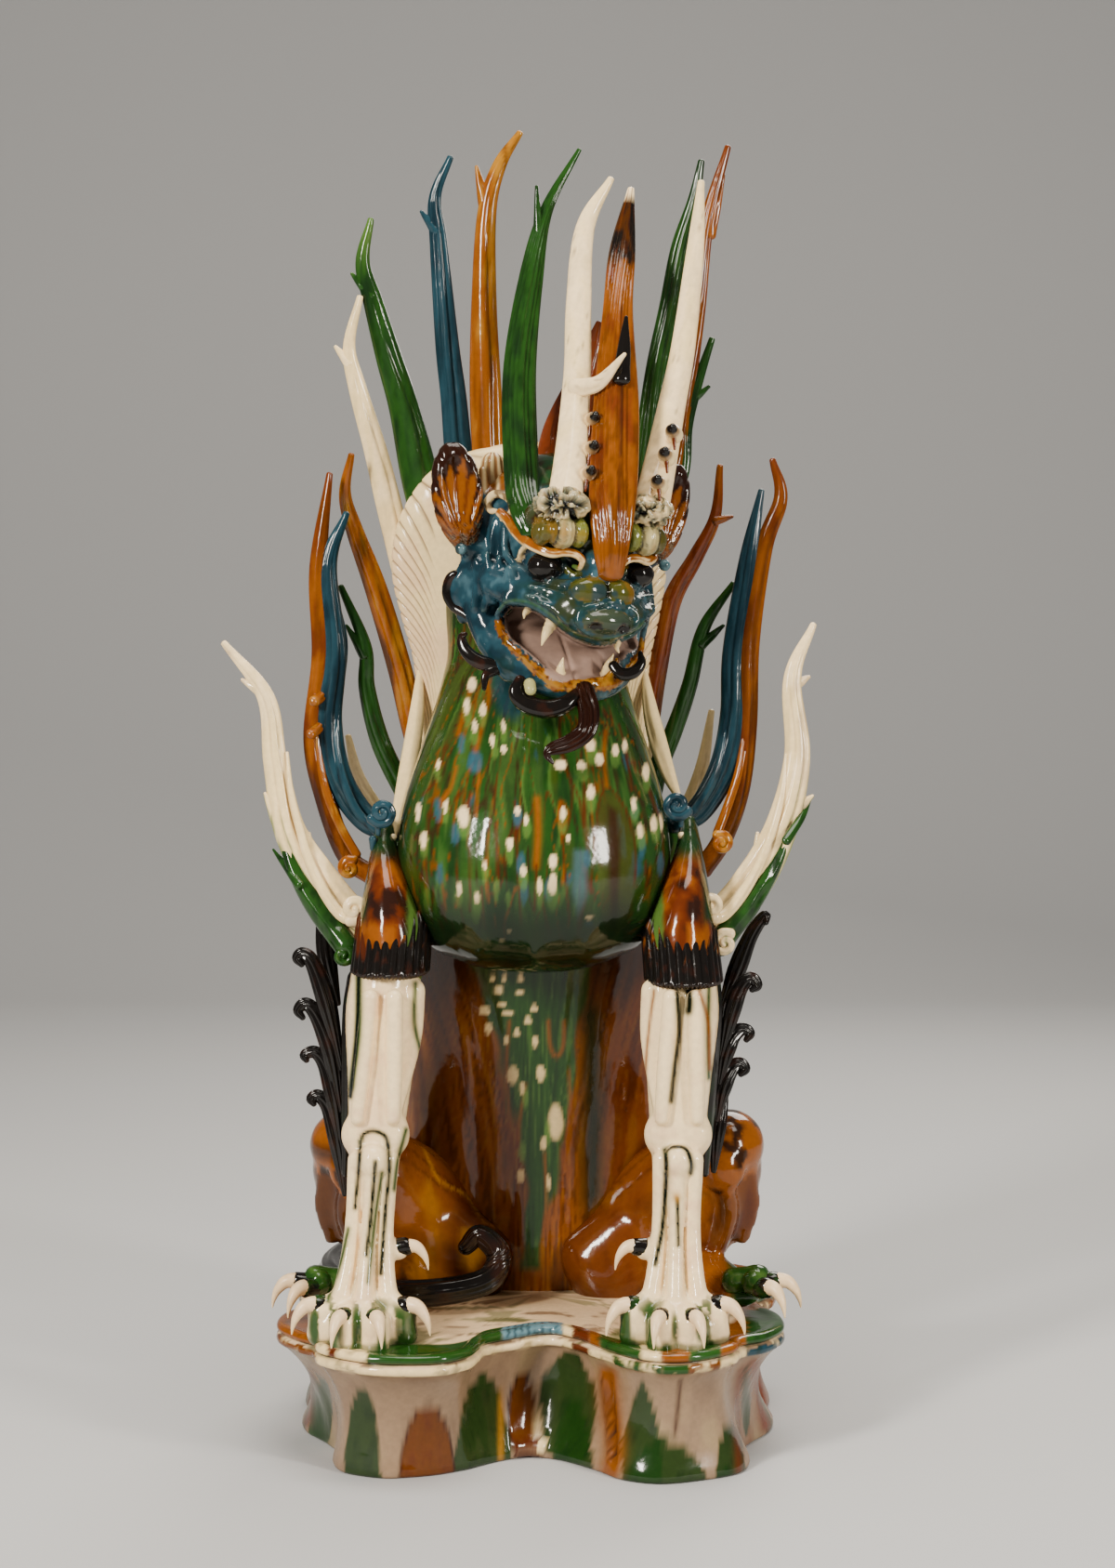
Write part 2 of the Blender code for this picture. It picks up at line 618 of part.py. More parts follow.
def legs(clay):
    for side in (-1, 1):
        front = [(leg_middle(side, s[2]) + side * s[0], *s[1:]) for s in FRONT_LEG]
        limb(clay, front, sides=18)
        for stations in (HAUNCH, SHIN, HIND_FOOT):
            facing = UP if stations in (HIND_FOOT, HAUNCH) else FRONT
            limb(clay, stations if side > 0 else mirrored(stations), facing=facing, sides=18)
        blob(clay, (side * KNEE[0], *KNEE[1:]), KNEE_SIZE)
        limb(clay, SHOULDER_BLADE if side > 0 else mirrored(SHOULDER_BLADE), sides=12)
        cuff = [
            (side * 0.1015, -0.070, 0.331, 0.029, 0.038),
            (side * 0.1010, -0.066, 0.344, 0.029, 0.038),
            (side * 0.1000, -0.061, 0.358, 0.027, 0.037),
        ]
        limb(clay, cuff, sides=18)
        front_foot(clay, side)
        hind_foot(clay, side)
        strip = [(leg_middle(side, z) + side * 0.021, -0.062, z, 0.008, 0.014) for z in (0.330, 0.300, 0.250)]
        limb(clay, strip + [(leg_middle(side, 0.185) + side * 0.018, -0.078, 0.185, 0.004, 0.008)], sides=10)
        for height, reach in FUR_LOCKS:
            lock = [
                (side * 0.121, -0.060, height - 0.034, 0.0065, 0.0080),
                (side * (0.124 + 0.5 * reach), -0.056, height - 0.020, 0.0058, 0.0060),
                (side * (0.125 + 0.9 * reach), -0.054, height - 0.004, 0.0048, 0.0045),
                (side * (0.126 + reach), -0.054, height + 0.001, 0.0036, 0.0035),
            ]
            limb(clay, lock, sides=8)


def head(clay):
    """Skull, brows, muzzle and gaping jaws, shaped facing -Y about the head's centre and then turned."""
    place = Matrix.Translation(HEAD_CENTRE) @ Matrix.Rotation(HEAD_TURN, 4, "Z")
    place = place @ Matrix.Rotation(HEAD_ROLL, 4, "Y")
    for centre, radii in SKULL:
        blob(clay, centre, radii, place)
        if centre[0]:
            blob(clay, (-centre[0], *centre[1:]), radii, place)
    limb(clay, MUZZLE, facing=UP, sides=18, place=place)
    limb(clay, JAW, facing=UP, sides=18, place=place)
    limb(clay, BEARD, sides=8)
    for side in (-1, 1):
        for stations in (CHEEK, BROW, FANG):
            limb(clay, stations if side > 0 else mirrored(stations), sides=10, place=place)
        stem = ((side * 0.052, 0.0, 0.0, 0.010, 0.010), (side * 0.074, -0.012, 0.012, 0.008, 0.008))
        limb(clay, stem, sides=10, place=place)
        lean = place @ Matrix.Translation((side * 0.079, -0.015, 0.040))
        lean = lean @ Matrix.Rotation(side * EAR_LEAN, 4, "Y")
        blob(clay, (0.0, 0.0, 0.0), (0.018, 0.009, 0.037), lean)


def flames(clay):
    """Every flame, its point carried a little further so that thinning the skin doesn't shorten it."""
    for stations in FLAMES.values():
        tip, before = Vector(stations[-1][:3]), Vector(stations[-2][:3])
        point = (*(tip + (tip - before).normalized() * TIP_SPARE), TIP)
        limb(clay, [(x, y, z, half, half * FLAME_DEPTH) for x, y, z, half in (*stations, point)], sides=12)
    for root, tip, half in TONGUES:
        middle = [0.5 * (a + b) for a, b in zip(root, tip)]
        stations = [(*root, half, half * 0.7), (*middle, half * 0.7, half * 0.5), (*tip, TIP, TIP)]
        limb(clay, stations, sides=8)


def keep_largest(mesh):
    """Drops the loose crumbs that the fusing can leave beside a fine tip."""
    skin = bmesh.new()
    skin.from_mesh(mesh)
    unseen = set(skin.verts)
    largest = set()
    while unseen:
        front = [unseen.pop()]
        lump = set(front)
        while front:
            vert = front.pop()
            near = {edge.other_vert(vert) for edge in vert.link_edges} - lump
            lump |= near
            front.extend(near)
        unseen -= lump
        largest = max(largest, lump, key=len)
    bmesh.ops.delete(skin, geom=[vert for vert in skin.verts if vert not in largest], context="VERTS")
    skin.to_mesh(mesh)
    skin.free()


def cut_flat_underneath(mesh):
    """Cuts everything below the ground away and closes the underside with one flat face."""
    skin = bmesh.new()
    skin.from_mesh(mesh)
    everything = skin.verts[:] + skin.edges[:] + skin.faces[:]
    cut = bmesh.ops.bisect_plane(skin, geom=everything, plane_no=-UP, clear_outer=True)
    edges = [item for item in cut["geom_cut"] if isinstance(item, bmesh.types.BMEdge)]
    bmesh.ops.edgeloop_fill(skin, edges=edges)
    bmesh.ops.recalc_face_normals(skin, faces=skin.faces)
    skin.to_mesh(mesh)
    skin.free()


def fused(clay):
    """One skin around all the clay, thinned to the faces that its shape needs."""
    mesh = bpy.data.meshes.new("lump")
    clay.to_mesh(mesh)
    lump = bpy.data.objects.new("lump", mesh)
    bpy.context.scene.collection.objects.link(lump)
    remesh = lump.modifiers.new("one skin", "REMESH")
    remesh.mode = "VOXEL"
    remesh.voxel_size = CLAY_GRAIN
    thin = lump.modifiers.new("thin out", "DECIMATE")
    thin.ratio = KEPT_SHARE
    evaluated = lump.evaluated_get(bpy.context.evaluated_depsgraph_get())
    skin = bpy.data.meshes.new_from_object(evaluated)
    bpy.data.objects.remove(lump)
    return skin


def glazed_earthenware():
    material = bpy.data.materials.new("three_colour_glaze")
    material.use_nodes = True
    shader = material.node_tree.nodes["Principled BSDF"]
    shader.inputs["Base Color"].default_value = GLAZE_COLOUR
    shader.inputs["Roughness"].default_value = GLAZE_ROUGHNESS
    shader.inputs["Metallic"].default_value = 0.0
    return material


def main():
    for old in list(bpy.data.objects):
        bpy.data.objects.remove(old)
    clay = bmesh.new()
    for shape in (plinth, body, legs, head, flames):
        shape(clay)
    bmesh.ops.recalc_face_normals(clay, faces=clay.faces)
    skin = fused(clay)
    clay.free()
    keep_largest(skin)
    cut_flat_underneath(skin)
    skin.name = NAME
    skin.materials.clear()
    skin.materials.append(glazed_earthenware())
    skin.shade_smooth()
    beast = bpy.data.objects.new(NAME, skin)
    group = bpy.data.collections.new(NAME)
    bpy.context.scene.collection.children.link(group)
    group.objects.link(beast)


main()
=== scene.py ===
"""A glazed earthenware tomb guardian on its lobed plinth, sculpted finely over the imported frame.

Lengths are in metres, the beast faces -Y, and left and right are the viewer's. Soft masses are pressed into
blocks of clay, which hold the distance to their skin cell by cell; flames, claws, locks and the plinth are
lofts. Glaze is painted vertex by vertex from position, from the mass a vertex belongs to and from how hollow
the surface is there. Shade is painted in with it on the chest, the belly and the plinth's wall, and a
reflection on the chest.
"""

import itertools
import math

import bpy
import numpy as np
from mathutils import Matrix, Vector


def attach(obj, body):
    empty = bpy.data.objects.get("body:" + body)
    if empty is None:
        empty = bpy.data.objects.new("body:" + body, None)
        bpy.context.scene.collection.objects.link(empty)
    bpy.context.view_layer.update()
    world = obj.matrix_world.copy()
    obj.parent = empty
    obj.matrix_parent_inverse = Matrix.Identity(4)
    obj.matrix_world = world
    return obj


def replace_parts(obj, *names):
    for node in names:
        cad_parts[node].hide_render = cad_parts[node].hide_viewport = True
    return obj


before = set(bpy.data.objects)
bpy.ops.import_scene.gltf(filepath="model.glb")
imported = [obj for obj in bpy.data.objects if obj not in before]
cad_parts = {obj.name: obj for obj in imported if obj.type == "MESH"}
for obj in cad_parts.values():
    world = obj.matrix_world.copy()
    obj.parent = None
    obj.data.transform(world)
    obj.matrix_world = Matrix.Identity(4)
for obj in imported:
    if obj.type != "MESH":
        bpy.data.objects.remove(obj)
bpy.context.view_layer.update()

FRONT = Vector((0, -1, 0))
UP = Vector((0, 0, 1))
STILL = Matrix.Identity(4)

# The camera, and the size of the picture that places are read in.
CAMERA_PLACE = (0.0146, -2.12, 0.592)
CAMERA_DIP = math.radians(3.64)
DOTS_PER_LENGTH = 3200.0
PICTURE = (1200, 1687)

HEAD_CENTRE = (0.0105, -0.03, 0.615)
HEAD_TURN = math.radians(23)
HEAD_ROLL = math.radians(4)


# Numbers, noise and colour


def ramp(value, low, high):
    """0 below low, 1 above high, and a smooth step between."""
    share = np.clip((value - low) / (high - low), 0, 1)
    return share * share * (3 - 2 * share)


def near(value, middle, width):
    """1 at the middle, falling smoothly to nothing a width away."""
    return 1 - ramp(np.abs(value - middle), 0, width)


def lumps(points, size, seed=0):
    """Smooth noise from -1 to 1, its lumps as wide as size, which is one number or one for each axis."""
    spots = points / np.array(size) + 31.7 * (seed + 1)
    cell = np.floor(spots).astype(np.int64)
    part = spots - cell
    part = part * part * (3 - 2 * part)
    total = np.zeros(len(points))
    for corner in itertools.product((0, 1), repeat=3):
        at = cell + corner
        mixed = (at[:, 0] * 73856093) ^ (at[:, 1] * 19349663) ^ (at[:, 2] * 83492791) ^ (seed * 2654435)
        mixed = ((mixed ^ (mixed >> 13)) * 1274126177) & 0xFFFFFFF
        weight = np.prod(np.where(corner, part, 1 - part), axis=1)
        total += weight * ((mixed >> 8 & 0xFFFF) / 32767.5 - 1)
    return total


def rough_lumps(points, size, seed=0):
    """Noise of three sizes, the finer ones weaker."""
    size = np.array(size)
    return (
        0.57 * lumps(points, size, seed)
        + 0.29 * lumps(points, size / 2.1, seed + 11)
        + 0.14 * lumps(points, size / 4.3, seed + 23)
    )


def tone(code):
    """A colour written as six hex digits, as light values."""
    parts = np.array([int(code[i : i + 2], 16) / 255 for i in (0, 2, 4)])
    return np.where(parts <= 0.04045, parts / 12.92, ((parts + 0.055) / 1.055) ** 2.4)


CREAM = tone("ebcf97")
PALE = tone("f6daa9")
PINK_CLAY = tone("dfb592")
GREEN = tone("1e4214")
DEEP_GREEN = tone("10230f")
LEAF_GREEN = tone("50702e")
TEAL = tone("1f3d48")
DEEP_BLUE = tone("0e2029")
PALE_BLUE = tone("5c7e88")
AMBER = tone("7d430a")
HONEY = tone("a06e1c")
RUST = tone("562309")
BROWN = tone("2e150b")
BLACK = tone("110e0c")
OLIVE = tone("3f4114")
RAW_CLAY = tone("8f7567")


def picture(points):
    """Where the camera sees each point: dots from the picture's left and from its top."""
    away = points - np.array(CAMERA_PLACE)
    ahead = away[:, 1] * math.cos(CAMERA_DIP) - away[:, 2] * math.sin(CAMERA_DIP)
    above = away[:, 1] * math.sin(CAMERA_DIP) + away[:, 2] * math.cos(CAMERA_DIP)
    across = PICTURE[0] / 2 + DOTS_PER_LENGTH * away[:, 0] / ahead
    down = PICTURE[1] / 2 - DOTS_PER_LENGTH * above / ahead
    return across, down


def spot(across, down, y):
    """The point at depth y that the camera sees at a place in the picture."""
    right = (across - PICTURE[0] / 2) / DOTS_PER_LENGTH
    above = (PICTURE[1] / 2 - down) / DOTS_PER_LENGTH
    reach = (y - CAMERA_PLACE[1]) / (math.cos(CAMERA_DIP) + above * math.sin(CAMERA_DIP))
    rise = above * math.cos(CAMERA_DIP) - math.sin(CAMERA_DIP)
    return CAMERA_PLACE[0] + right * reach, y, CAMERA_PLACE[2] + rise * reach


# Skins: vertices and faces with a glaze


class Skin:
    """Vertices, faces of four and of three corners, and for each vertex a glaze colour and how dry it is."""

    def __init__(self, co, quads, tris=(), owner=None):
        self.co = np.asarray(co, float)
        self.quads = np.asarray(quads, int).reshape(-1, 4)
        self.tris = np.asarray(tris, int).reshape(-1, 3)
        self.colour = np.tile(CREAM, (len(self.co), 1))
        self.dry = np.zeros(len(self.co))
        self.owner = np.zeros(len(self.co), int) if owner is None else owner
        self.along = np.zeros(len(self.co))
        self.turn = np.zeros(len(self.co))

    def sums(self, corners, values):
        return np.stack([np.bincount(corners, v, len(self.co)) for v in values.T], 1)

    def measure(self):
        """Normals, how hollow the skin is at each vertex, and where the camera sees it."""
        a, b, c, d = (self.co[self.quads[:, i]] for i in range(4))
        flat = np.cross(c - a, d - b)
        total = sum(self.sums(self.quads[:, i], flat) for i in range(4))
        if len(self.tris):
            a, b, c = (self.co[self.tris[:, i]] for i in range(3))
            flat = np.cross(b - a, c - a)
            total = total + sum(self.sums(self.tris[:, i], flat) for i in range(3))
        self.normal = total / np.maximum(np.linalg.norm(total, axis=1), 1e-12)[:, None]
        ends = [(self.quads[:, i], self.quads[:, (i + 1) % 4]) for i in range(4)]
        self.starts = np.concatenate([e for pair in ends for e in pair])
        self.stops = np.concatenate([e for pair in ends for e in pair[::-1]])
        self.count = np.maximum(np.bincount(self.starts, minlength=len(self.co)), 1)
        self.hollow = np.einsum("ij,ij->i", self.average(self.co) - self.co, self.normal)
        for _ in range(2):
            self.hollow = self.average(self.hollow[:, None])[:, 0]
        self.px, self.py = picture(self.co)
        self.facing = -self.normal[:, 1]

    def average(self, values):
        return self.sums(self.starts, values[self.stops]) / self.count[:, None]

    def relax(self, times=1, share=0.5):
        for _ in range(times):
            self.co += share * (self.average(self.co) - self.co)

    def push(self, amount):
        self.co += self.normal * np.asarray(amount)[:, None]

    def paint(self, share, colour):
        share = np.clip(np.asarray(share, float), 0, 1)[:, None]
        self.colour += share * (colour - self.colour)

    def line(self, width, *route):
        """How near the skin's front lies to a smooth line through places in the picture, 1 on the line."""
        way = np.array(smooth_route(route, 6))
        best = np.full(len(self.co), 1e9)
        for a, b in zip(way, way[1:]):
            step = b - a
            qx, qy = self.px - a[0], self.py - a[1]
            share = np.clip((qx * step[0] + qy * step[1]) / max(step @ step, 1e-9), 0, 1)
            best = np.minimum(best, (qx - share * step[0]) ** 2 + (qy - share * step[1]) ** 2)
        return np.exp(-best / width**2) * ramp(self.facing, 0.0, 0.3)

    def patch(self, soft, *outline):
        """1 on the front inside an outline in the picture, falling to nothing over soft dots round it."""
        return ramp(-outline_gap(self.px, self.py, outline), -soft, soft) * ramp(self.facing, -0.1, 0.2)


def outline_gap(px, py, outline):
    """How far each place in the picture lies outside a closed outline, in dots, or inside it if negative."""
    best = np.full(px.shape, 1e9)
    inside = np.zeros(px.shape, bool)
    ends = np.array(outline, float)
    for a, b in zip(ends, np.roll(ends, -1, 0)):
        step = b - a
        qx, qy = px - a[0], py - a[1]
        share = np.clip((qx * step[0] + qy * step[1]) / (step @ step), 0, 1)
        best = np.minimum(best, (qx - share * step[0]) ** 2 + (qy - share * step[1]) ** 2)
        if a[1] != b[1]:
            inside ^= ((a[1] > py) != (b[1] > py)) & (qx < qy * step[0] / step[1])
    return np.sqrt(best) * np.where(inside, -1, 1)


def joined(skins):
    """Several skins as one."""
    whole = Skin(
        np.concatenate([s.co for s in skins]),
        np.concatenate([s.quads + n for s, n in zip(skins, offsets(skins))]),
        np.concatenate([s.tris + n for s, n in zip(skins, offsets(skins))]),
        np.concatenate([s.owner for s in skins]),
    )
    whole.colour = np.concatenate([s.colour for s in skins])
    whole.dry = np.concatenate([s.dry for s in skins])
    return whole


def offsets(skins):
    return np.cumsum([0] + [len(s.co) for s in skins[:-1]])


def smooth_route(stations, steps):
    """Points on the smooth curve through the stations, each number of a station being blended alike."""
    line = np.array([np.array(s, float) for s in stations])
    line = np.vstack([2 * line[0] - line[1], line, 2 * line[-1] - line[-2]])
    route = []
    for a, b, c, d in zip(line, line[1:], line[2:], line[3:]):
        for t in np.arange(steps) / steps:
            bend = (2 * a - 5 * b + 4 * c - d) * t**2 + (3 * b - a - 3 * c + d) * t**3
            route.append(0.5 * (2 * b + (c - a) * t + bend))
    route.append(line[-2])
    return route


def loft(rings):
    """A closed skin through rings of points, its ends closed by fans round their middles."""
    rings = np.asarray(rings, float)
    count, sides = rings.shape[:2]
    grid = np.arange(count * sides).reshape(count, sides)
    step = np.roll(grid, -1, axis=1)
    quads = np.stack([grid[:-1], step[:-1], step[1:], grid[1:]], -1).reshape(-1, 4)
    first, last = count * sides, count * sides + 1
    tris = [(first, step[0][i], grid[0][i]) for i in range(sides)]
    tris += [(last, grid[-1][i], step[-1][i]) for i in range(sides)]
    ends = np.array([rings[0].mean(0), rings[-1].mean(0)])
    made = Skin(np.vstack([rings.reshape(-1, 3), ends]), quads, tris)
    made.along = np.append(np.repeat(np.arange(count) / (count - 1), sides), (0, 1))
    made.turn = np.append(np.tile(np.arange(sides) / sides, count), (0, 0))
    return made


def strand(stations, facing=FRONT, sides=20, steps=6, place=STILL, form=None):
    """A tapering body of oval section along a smooth route, rounded at both ends. A station is a place, a half
    width and, if it isn't the same, a half depth along facing. form gives the section's share of its size from
    the share of the length and the turn round it."""
    route = smooth_route([s if len(s) == 5 else (*s, s[3]) for s in stations], steps)
    centres = np.array([place @ Vector(s[:3]) for s in route])
    size = np.array([s[3:] for s in route])
    facing = np.array(place.to_3x3() @ facing)
    tangents = np.gradient(centres, axis=0)
    tangents /= np.linalg.norm(tangents, axis=1)[:, None]
    turns = 2 * np.pi * np.arange(sides) / sides
    rings = []

    def ring(i, share, reach):
        across = np.cross(facing, tangents[i])
        across /= np.linalg.norm(across)
        deep = np.cross(tangents[i], across)
        shape = 1.0 if form is None else form(i / (len(route) - 1), turns)
        wide = np.outer(np.cos(turns) * size[i, 0] * share * shape, across)
        high = np.outer(np.sin(turns) * size[i, 1] * share * shape, deep)
        rings.append(centres[i] + tangents[i] * reach * size[i].min() + wide + high)

    for share in (0.15, 0.45, 0.75, 0.93):
        ring(0, share, -math.sqrt(1 - share**2))
    for i in range(len(route)):
        ring(i, 1.0, 0.0)
    for share in (0.93, 0.75, 0.45, 0.15):
        ring(len(route) - 1, share, math.sqrt(1 - share**2))
    return loft(rings)


# Clay: blocks of space that hold the distance to the skin


class Clay:
    """A block of cells that soft masses are pressed into. Each cell also knows which mass shaped it last."""

    def __init__(self, low, high, grain, place=STILL):
        self.grain = grain
        self.low = np.array(low, float)
        counts = np.ceil((np.array(high) - self.low) / grain).astype(int) + 1
        self.depth = np.full(counts, 0.03, np.float32)
        self.owner = np.zeros(counts, np.uint8)
        self.place = place

    def window(self, low, high):
        first = np.clip(((low - self.low) / self.grain).astype(int), 0, self.depth.shape)
        last = np.clip(((high - self.low) / self.grain).astype(int) + 2, 0, self.depth.shape)
        axes = [self.low[i] + self.grain * np.arange(first[i], last[i], dtype=np.float32) for i in range(3)]
        here = np.ix_(*axes)
        return tuple(slice(a, b) for a, b in zip(first, last)), [h.astype(np.float32) for h in here]

    def put(self, where, own, owner, blend, carve):
        """Adds a mass, or takes it away, with a fillet as wide as blend."""
        was = self.depth[where]
        if carve:
            gap = np.maximum(blend - np.abs(own + was), 0) / blend
            self.owner[where] = np.where(-own > was - 0.0008, owner, self.owner[where])
            self.depth[where] = np.maximum(-own, was) + gap * gap * blend / 4
        else:
            gap = np.maximum(blend - np.abs(own - was), 0) / blend
            self.owner[where] = np.where(own < was, owner, self.owner[where])
            self.depth[where] = np.minimum(own, was) - gap * gap * blend / 4

    def ball(self, owner, centre, radii, blend=0.004, carve=False, tilt=None):
        """A ball stretched to three radii along the block's own axes, turned by tilt first if it is given."""
        turn = self.place if tilt is None else self.place @ Matrix.Translation(centre) @ tilt
        middle = np.array(self.place @ Vector(centre))
        axes = np.array(turn.to_3x3()).T
        margin = max(radii) + blend + 3 * self.grain
        where, (x, y, z) = self.window(middle - margin, middle + margin)
        once, twice = 0, 0
        for axis, radius in zip(axes, radii):
            reach = (x - middle[0]) * axis[0] + (y - middle[1]) * axis[1] + (z - middle[2]) * axis[2]
            once = once + (reach / radius) ** 2
            twice = twice + (reach / radius**2) ** 2
        once = np.sqrt(once)
        self.put(where, once * (once - 1) / (np.sqrt(twice) + 1e-6), owner, blend, carve)

    def tube(self, owner, stations, facing=FRONT, blend=0.004, steps=4, carve=False, place=None):
        """A limb along a smooth route; a station is a place, a half width and perhaps a half depth."""
        place = self.place if place is None else place
        route = smooth_route([s if len(s) == 5 else (*s, s[3]) for s in stations], steps)
        spots = np.array([place @ Vector(s[:3]) for s in route])
        sizes = np.array([s[3:] for s in route])
        margin = sizes.max() + blend + 3 * self.grain
        whole, _ = self.window(spots.min(0) - margin, spots.max(0) + margin)
        own = np.full(self.depth[whole].shape, 0.03, np.float32)
        facing = np.array(place.to_3x3() @ facing)
        for a, b, (w0, d0), (w1, d1) in zip(spots, spots[1:], sizes, sizes[1:]):
            step = b - a
            length = np.linalg.norm(step)
            if length < 1e-6:
                continue
            ahead = step / length
            across = np.cross(ahead, facing)
            across /= np.linalg.norm(across)
            deep = np.cross(across, ahead)
            edge = max(w0, d0, w1, d1) + blend + 2 * self.grain
            where, (x, y, z) = self.window(np.minimum(a, b) - edge, np.maximum(a, b) + edge)
            x, y, z = x - a[0], y - a[1], z - a[2]
            share = np.clip((x * ahead[0] + y * ahead[1] + z * ahead[2]) / length, 0, 1)
            x, y, z = x - share * step[0], y - share * step[1], z - share * step[2]
            wide, tall = w0 + (w1 - w0) * share, d0 + (d1 - d0) * share
            least = np.minimum(wide, tall)
            parts = ((across, wide), (deep, tall), (ahead, least))
            once, twice = 0, 0
            for axis, radius in parts:
                reach = (x * axis[0] + y * axis[1] + z * axis[2]) / radius
                once = once + reach**2
                twice = twice + (reach / radius) ** 2
            once = np.sqrt(once)
            found = once * (once - 1) / (np.sqrt(twice) + 1e-6)
            inner = tuple(slice(w.start - o.start, w.stop - o.start) for w, o in zip(where, whole))
            own[inner] = np.minimum(own[inner], found)
        self.put(whole, own, owner, blend, carve)

    def seen(self, across, down, lift=0.0):
        """The place where the camera meets the clay at a place in the picture, lifted towards the camera."""
        reach = np.arange(self.low[1], self.low[1] + self.grain * self.depth.shape[1], self.grain * 0.5)
        ray = np.array([spot(across, down, y) for y in reach])
        cell = np.clip(np.round((ray - self.low) / self.grain).astype(int), 0, np.array(self.depth.shape) - 1)
        depth = self.depth[tuple(cell.T)]
        met = np.argmax(depth < 0) if (depth < 0).any() else int(np.argmin(depth))
        return Vector(spot(across, down, reach[met] - lift))

    def cut(self, owner, outline, back, blend=0.002):
        """Cuts away all that the camera sees inside an outline in the picture, as far back as y."""
        edge = [spot(*at, y) for at in outline for y in (self.low[1], back)]
        where, (x, y, z) = self.window(np.min(edge, 0) - 0.006, np.max(edge, 0) + 0.006)
        x, y, z = np.broadcast_arrays(x, y, z)
        px, py = picture(np.stack([x.ravel(), y.ravel(), z.ravel()], 1).astype(float))
        gap = outline_gap(px, py, outline).reshape(x.shape) / 1580
        self.put(where, np.maximum(gap, y - back).astype(np.float32), owner, blend, True)

    def skin(self):
        """The surface where the distance is nothing: one vertex in each cell that it crosses."""
        depth = self.depth
        inside = depth < 0
        shape = np.array(depth.shape) - 1
        count = np.zeros(shape, np.uint8)
        for i, j, k in itertools.product((0, 1), repeat=3):
            count += inside[i : i + shape[0], j : j + shape[1], k : k + shape[2]]
        live = (count > 0) & (count < 8)
        cells = np.argwhere(live)
        index = np.full(shape, -1, np.int64)
        index[live] = np.arange(len(cells))
        total = np.zeros((len(cells), 3))
        hits = np.zeros(len(cells))
        for axis in range(3):
            others = [i for i in range(3) if i != axis]
            for shift in itertools.product((0, 1), repeat=2):
                start = cells.copy()
                start[:, others] += shift
                stop = start.copy()
                stop[:, axis] += 1
                d0, d1 = depth[tuple(start.T)], depth[tuple(stop.T)]
                cross = (d0 < 0) != (d1 < 0)
                place = start[cross].astype(float)
                place[:, axis] += d0[cross] / (d0[cross] - d1[cross])
                total[cross] += place
                hits[cross] += 1
        co = self.low + self.grain * total / hits[:, None]
        quads = []
        for axis in range(3):
            one, two = [(1, 2), (2, 0), (0, 1)][axis]
            low = np.take(inside, np.arange(shape[axis]), axis)
            high = np.take(inside, np.arange(1, shape[axis] + 1), axis)
            edges = np.argwhere(low != high)
            fine = (edges[:, one] > 0) & (edges[:, two] > 0)
            fine &= (edges[:, one] < shape[one]) & (edges[:, two] < shape[two])
            edges = edges[fine]
            corners = []
            for back_one, back_two in ((0, 0), (1, 0), (1, 1), (0, 1)):
                at = edges.copy()
                at[:, one] -= back_one
                at[:, two] -= back_two
                corners.append(index[tuple(at.T)])
            quad = np.stack(corners, 1)
            flip = ~low[tuple(edges.T)]
            quad[flip] = quad[flip][:, ::-1]
            quads.append(quad)
        cell = np.clip(np.round((co - self.low) / self.grain).astype(int), 0, shape)
        return Skin(co, np.concatenate(quads), (), self.owner[tuple(cell.T)].astype(int))


# Pieces and their glaze


def glaze():
    """One glossy lead glaze. Its colour and dryness come from the mesh; fine flecks and ripples are added."""
    material = bpy.data.materials.new("three_colour_glaze")
    material.use_nodes = True
    nodes = material.node_tree.nodes
    links = material.node_tree.links
    shader = nodes["Principled BSDF"]
    shader.inputs["IOR"].default_value = 1.5
    shader.inputs["Metallic"].default_value = 0.0
    shader.inputs["Specular IOR Level"].default_value = 0.36
    colour = nodes.new("ShaderNodeAttribute")
    colour.attribute_name = "glaze"
    dry = nodes.new("ShaderNodeAttribute")
    dry.attribute_name = "dry"
    place = nodes.new("ShaderNodeTexCoord")
    flecks = nodes.new("ShaderNodeTexNoise")
    flecks.inputs["Scale"].default_value = 260.0
    flecks.inputs["Detail"].default_value = 3.0
    links.new(place.outputs["Object"], flecks.inputs["Vector"])
    shade = nodes.new("ShaderNodeMapRange")
    shade.inputs["From Min"].default_value = 0.3
    shade.inputs["From Max"].default_value = 0.7
    shade.inputs["To Min"].default_value = 0.92
    shade.inputs["To Max"].default_value = 1.05
    links.new(flecks.outputs["Fac"], shade.inputs["Value"])
    tinted = nodes.new("ShaderNodeVectorMath")
    tinted.operation = "SCALE"
    links.new(colour.outputs["Color"], tinted.inputs[0])
    links.new(shade.outputs["Result"], tinted.inputs["Scale"])
    links.new(tinted.outputs["Vector"], shader.inputs["Base Color"])
    gloss = nodes.new("ShaderNodeMapRange")
    gloss.inputs["To Min"].default_value = 0.11
    gloss.inputs["To Max"].default_value = 0.75
    links.new(dry.outputs["Fac"], gloss.inputs["Value"])
    links.new(gloss.outputs["Result"], shader.inputs["Roughness"])
    ripple = nodes.new("ShaderNodeTexNoise")
    ripple.inputs["Scale"].default_value = 95.0
    ripple.inputs["Detail"].default_value = 2.0
    links.new(place.outputs["Object"], ripple.inputs["Vector"])
    bump = nodes.new("ShaderNodeBump")
    bump.inputs["Strength"].default_value = 0.22
    bump.inputs["Distance"].default_value = 0.0012
    links.new(ripple.outputs["Fac"], bump.inputs["Height"])
    links.new(bump.outputs["Normal"], shader.inputs["Normal"])
    return material


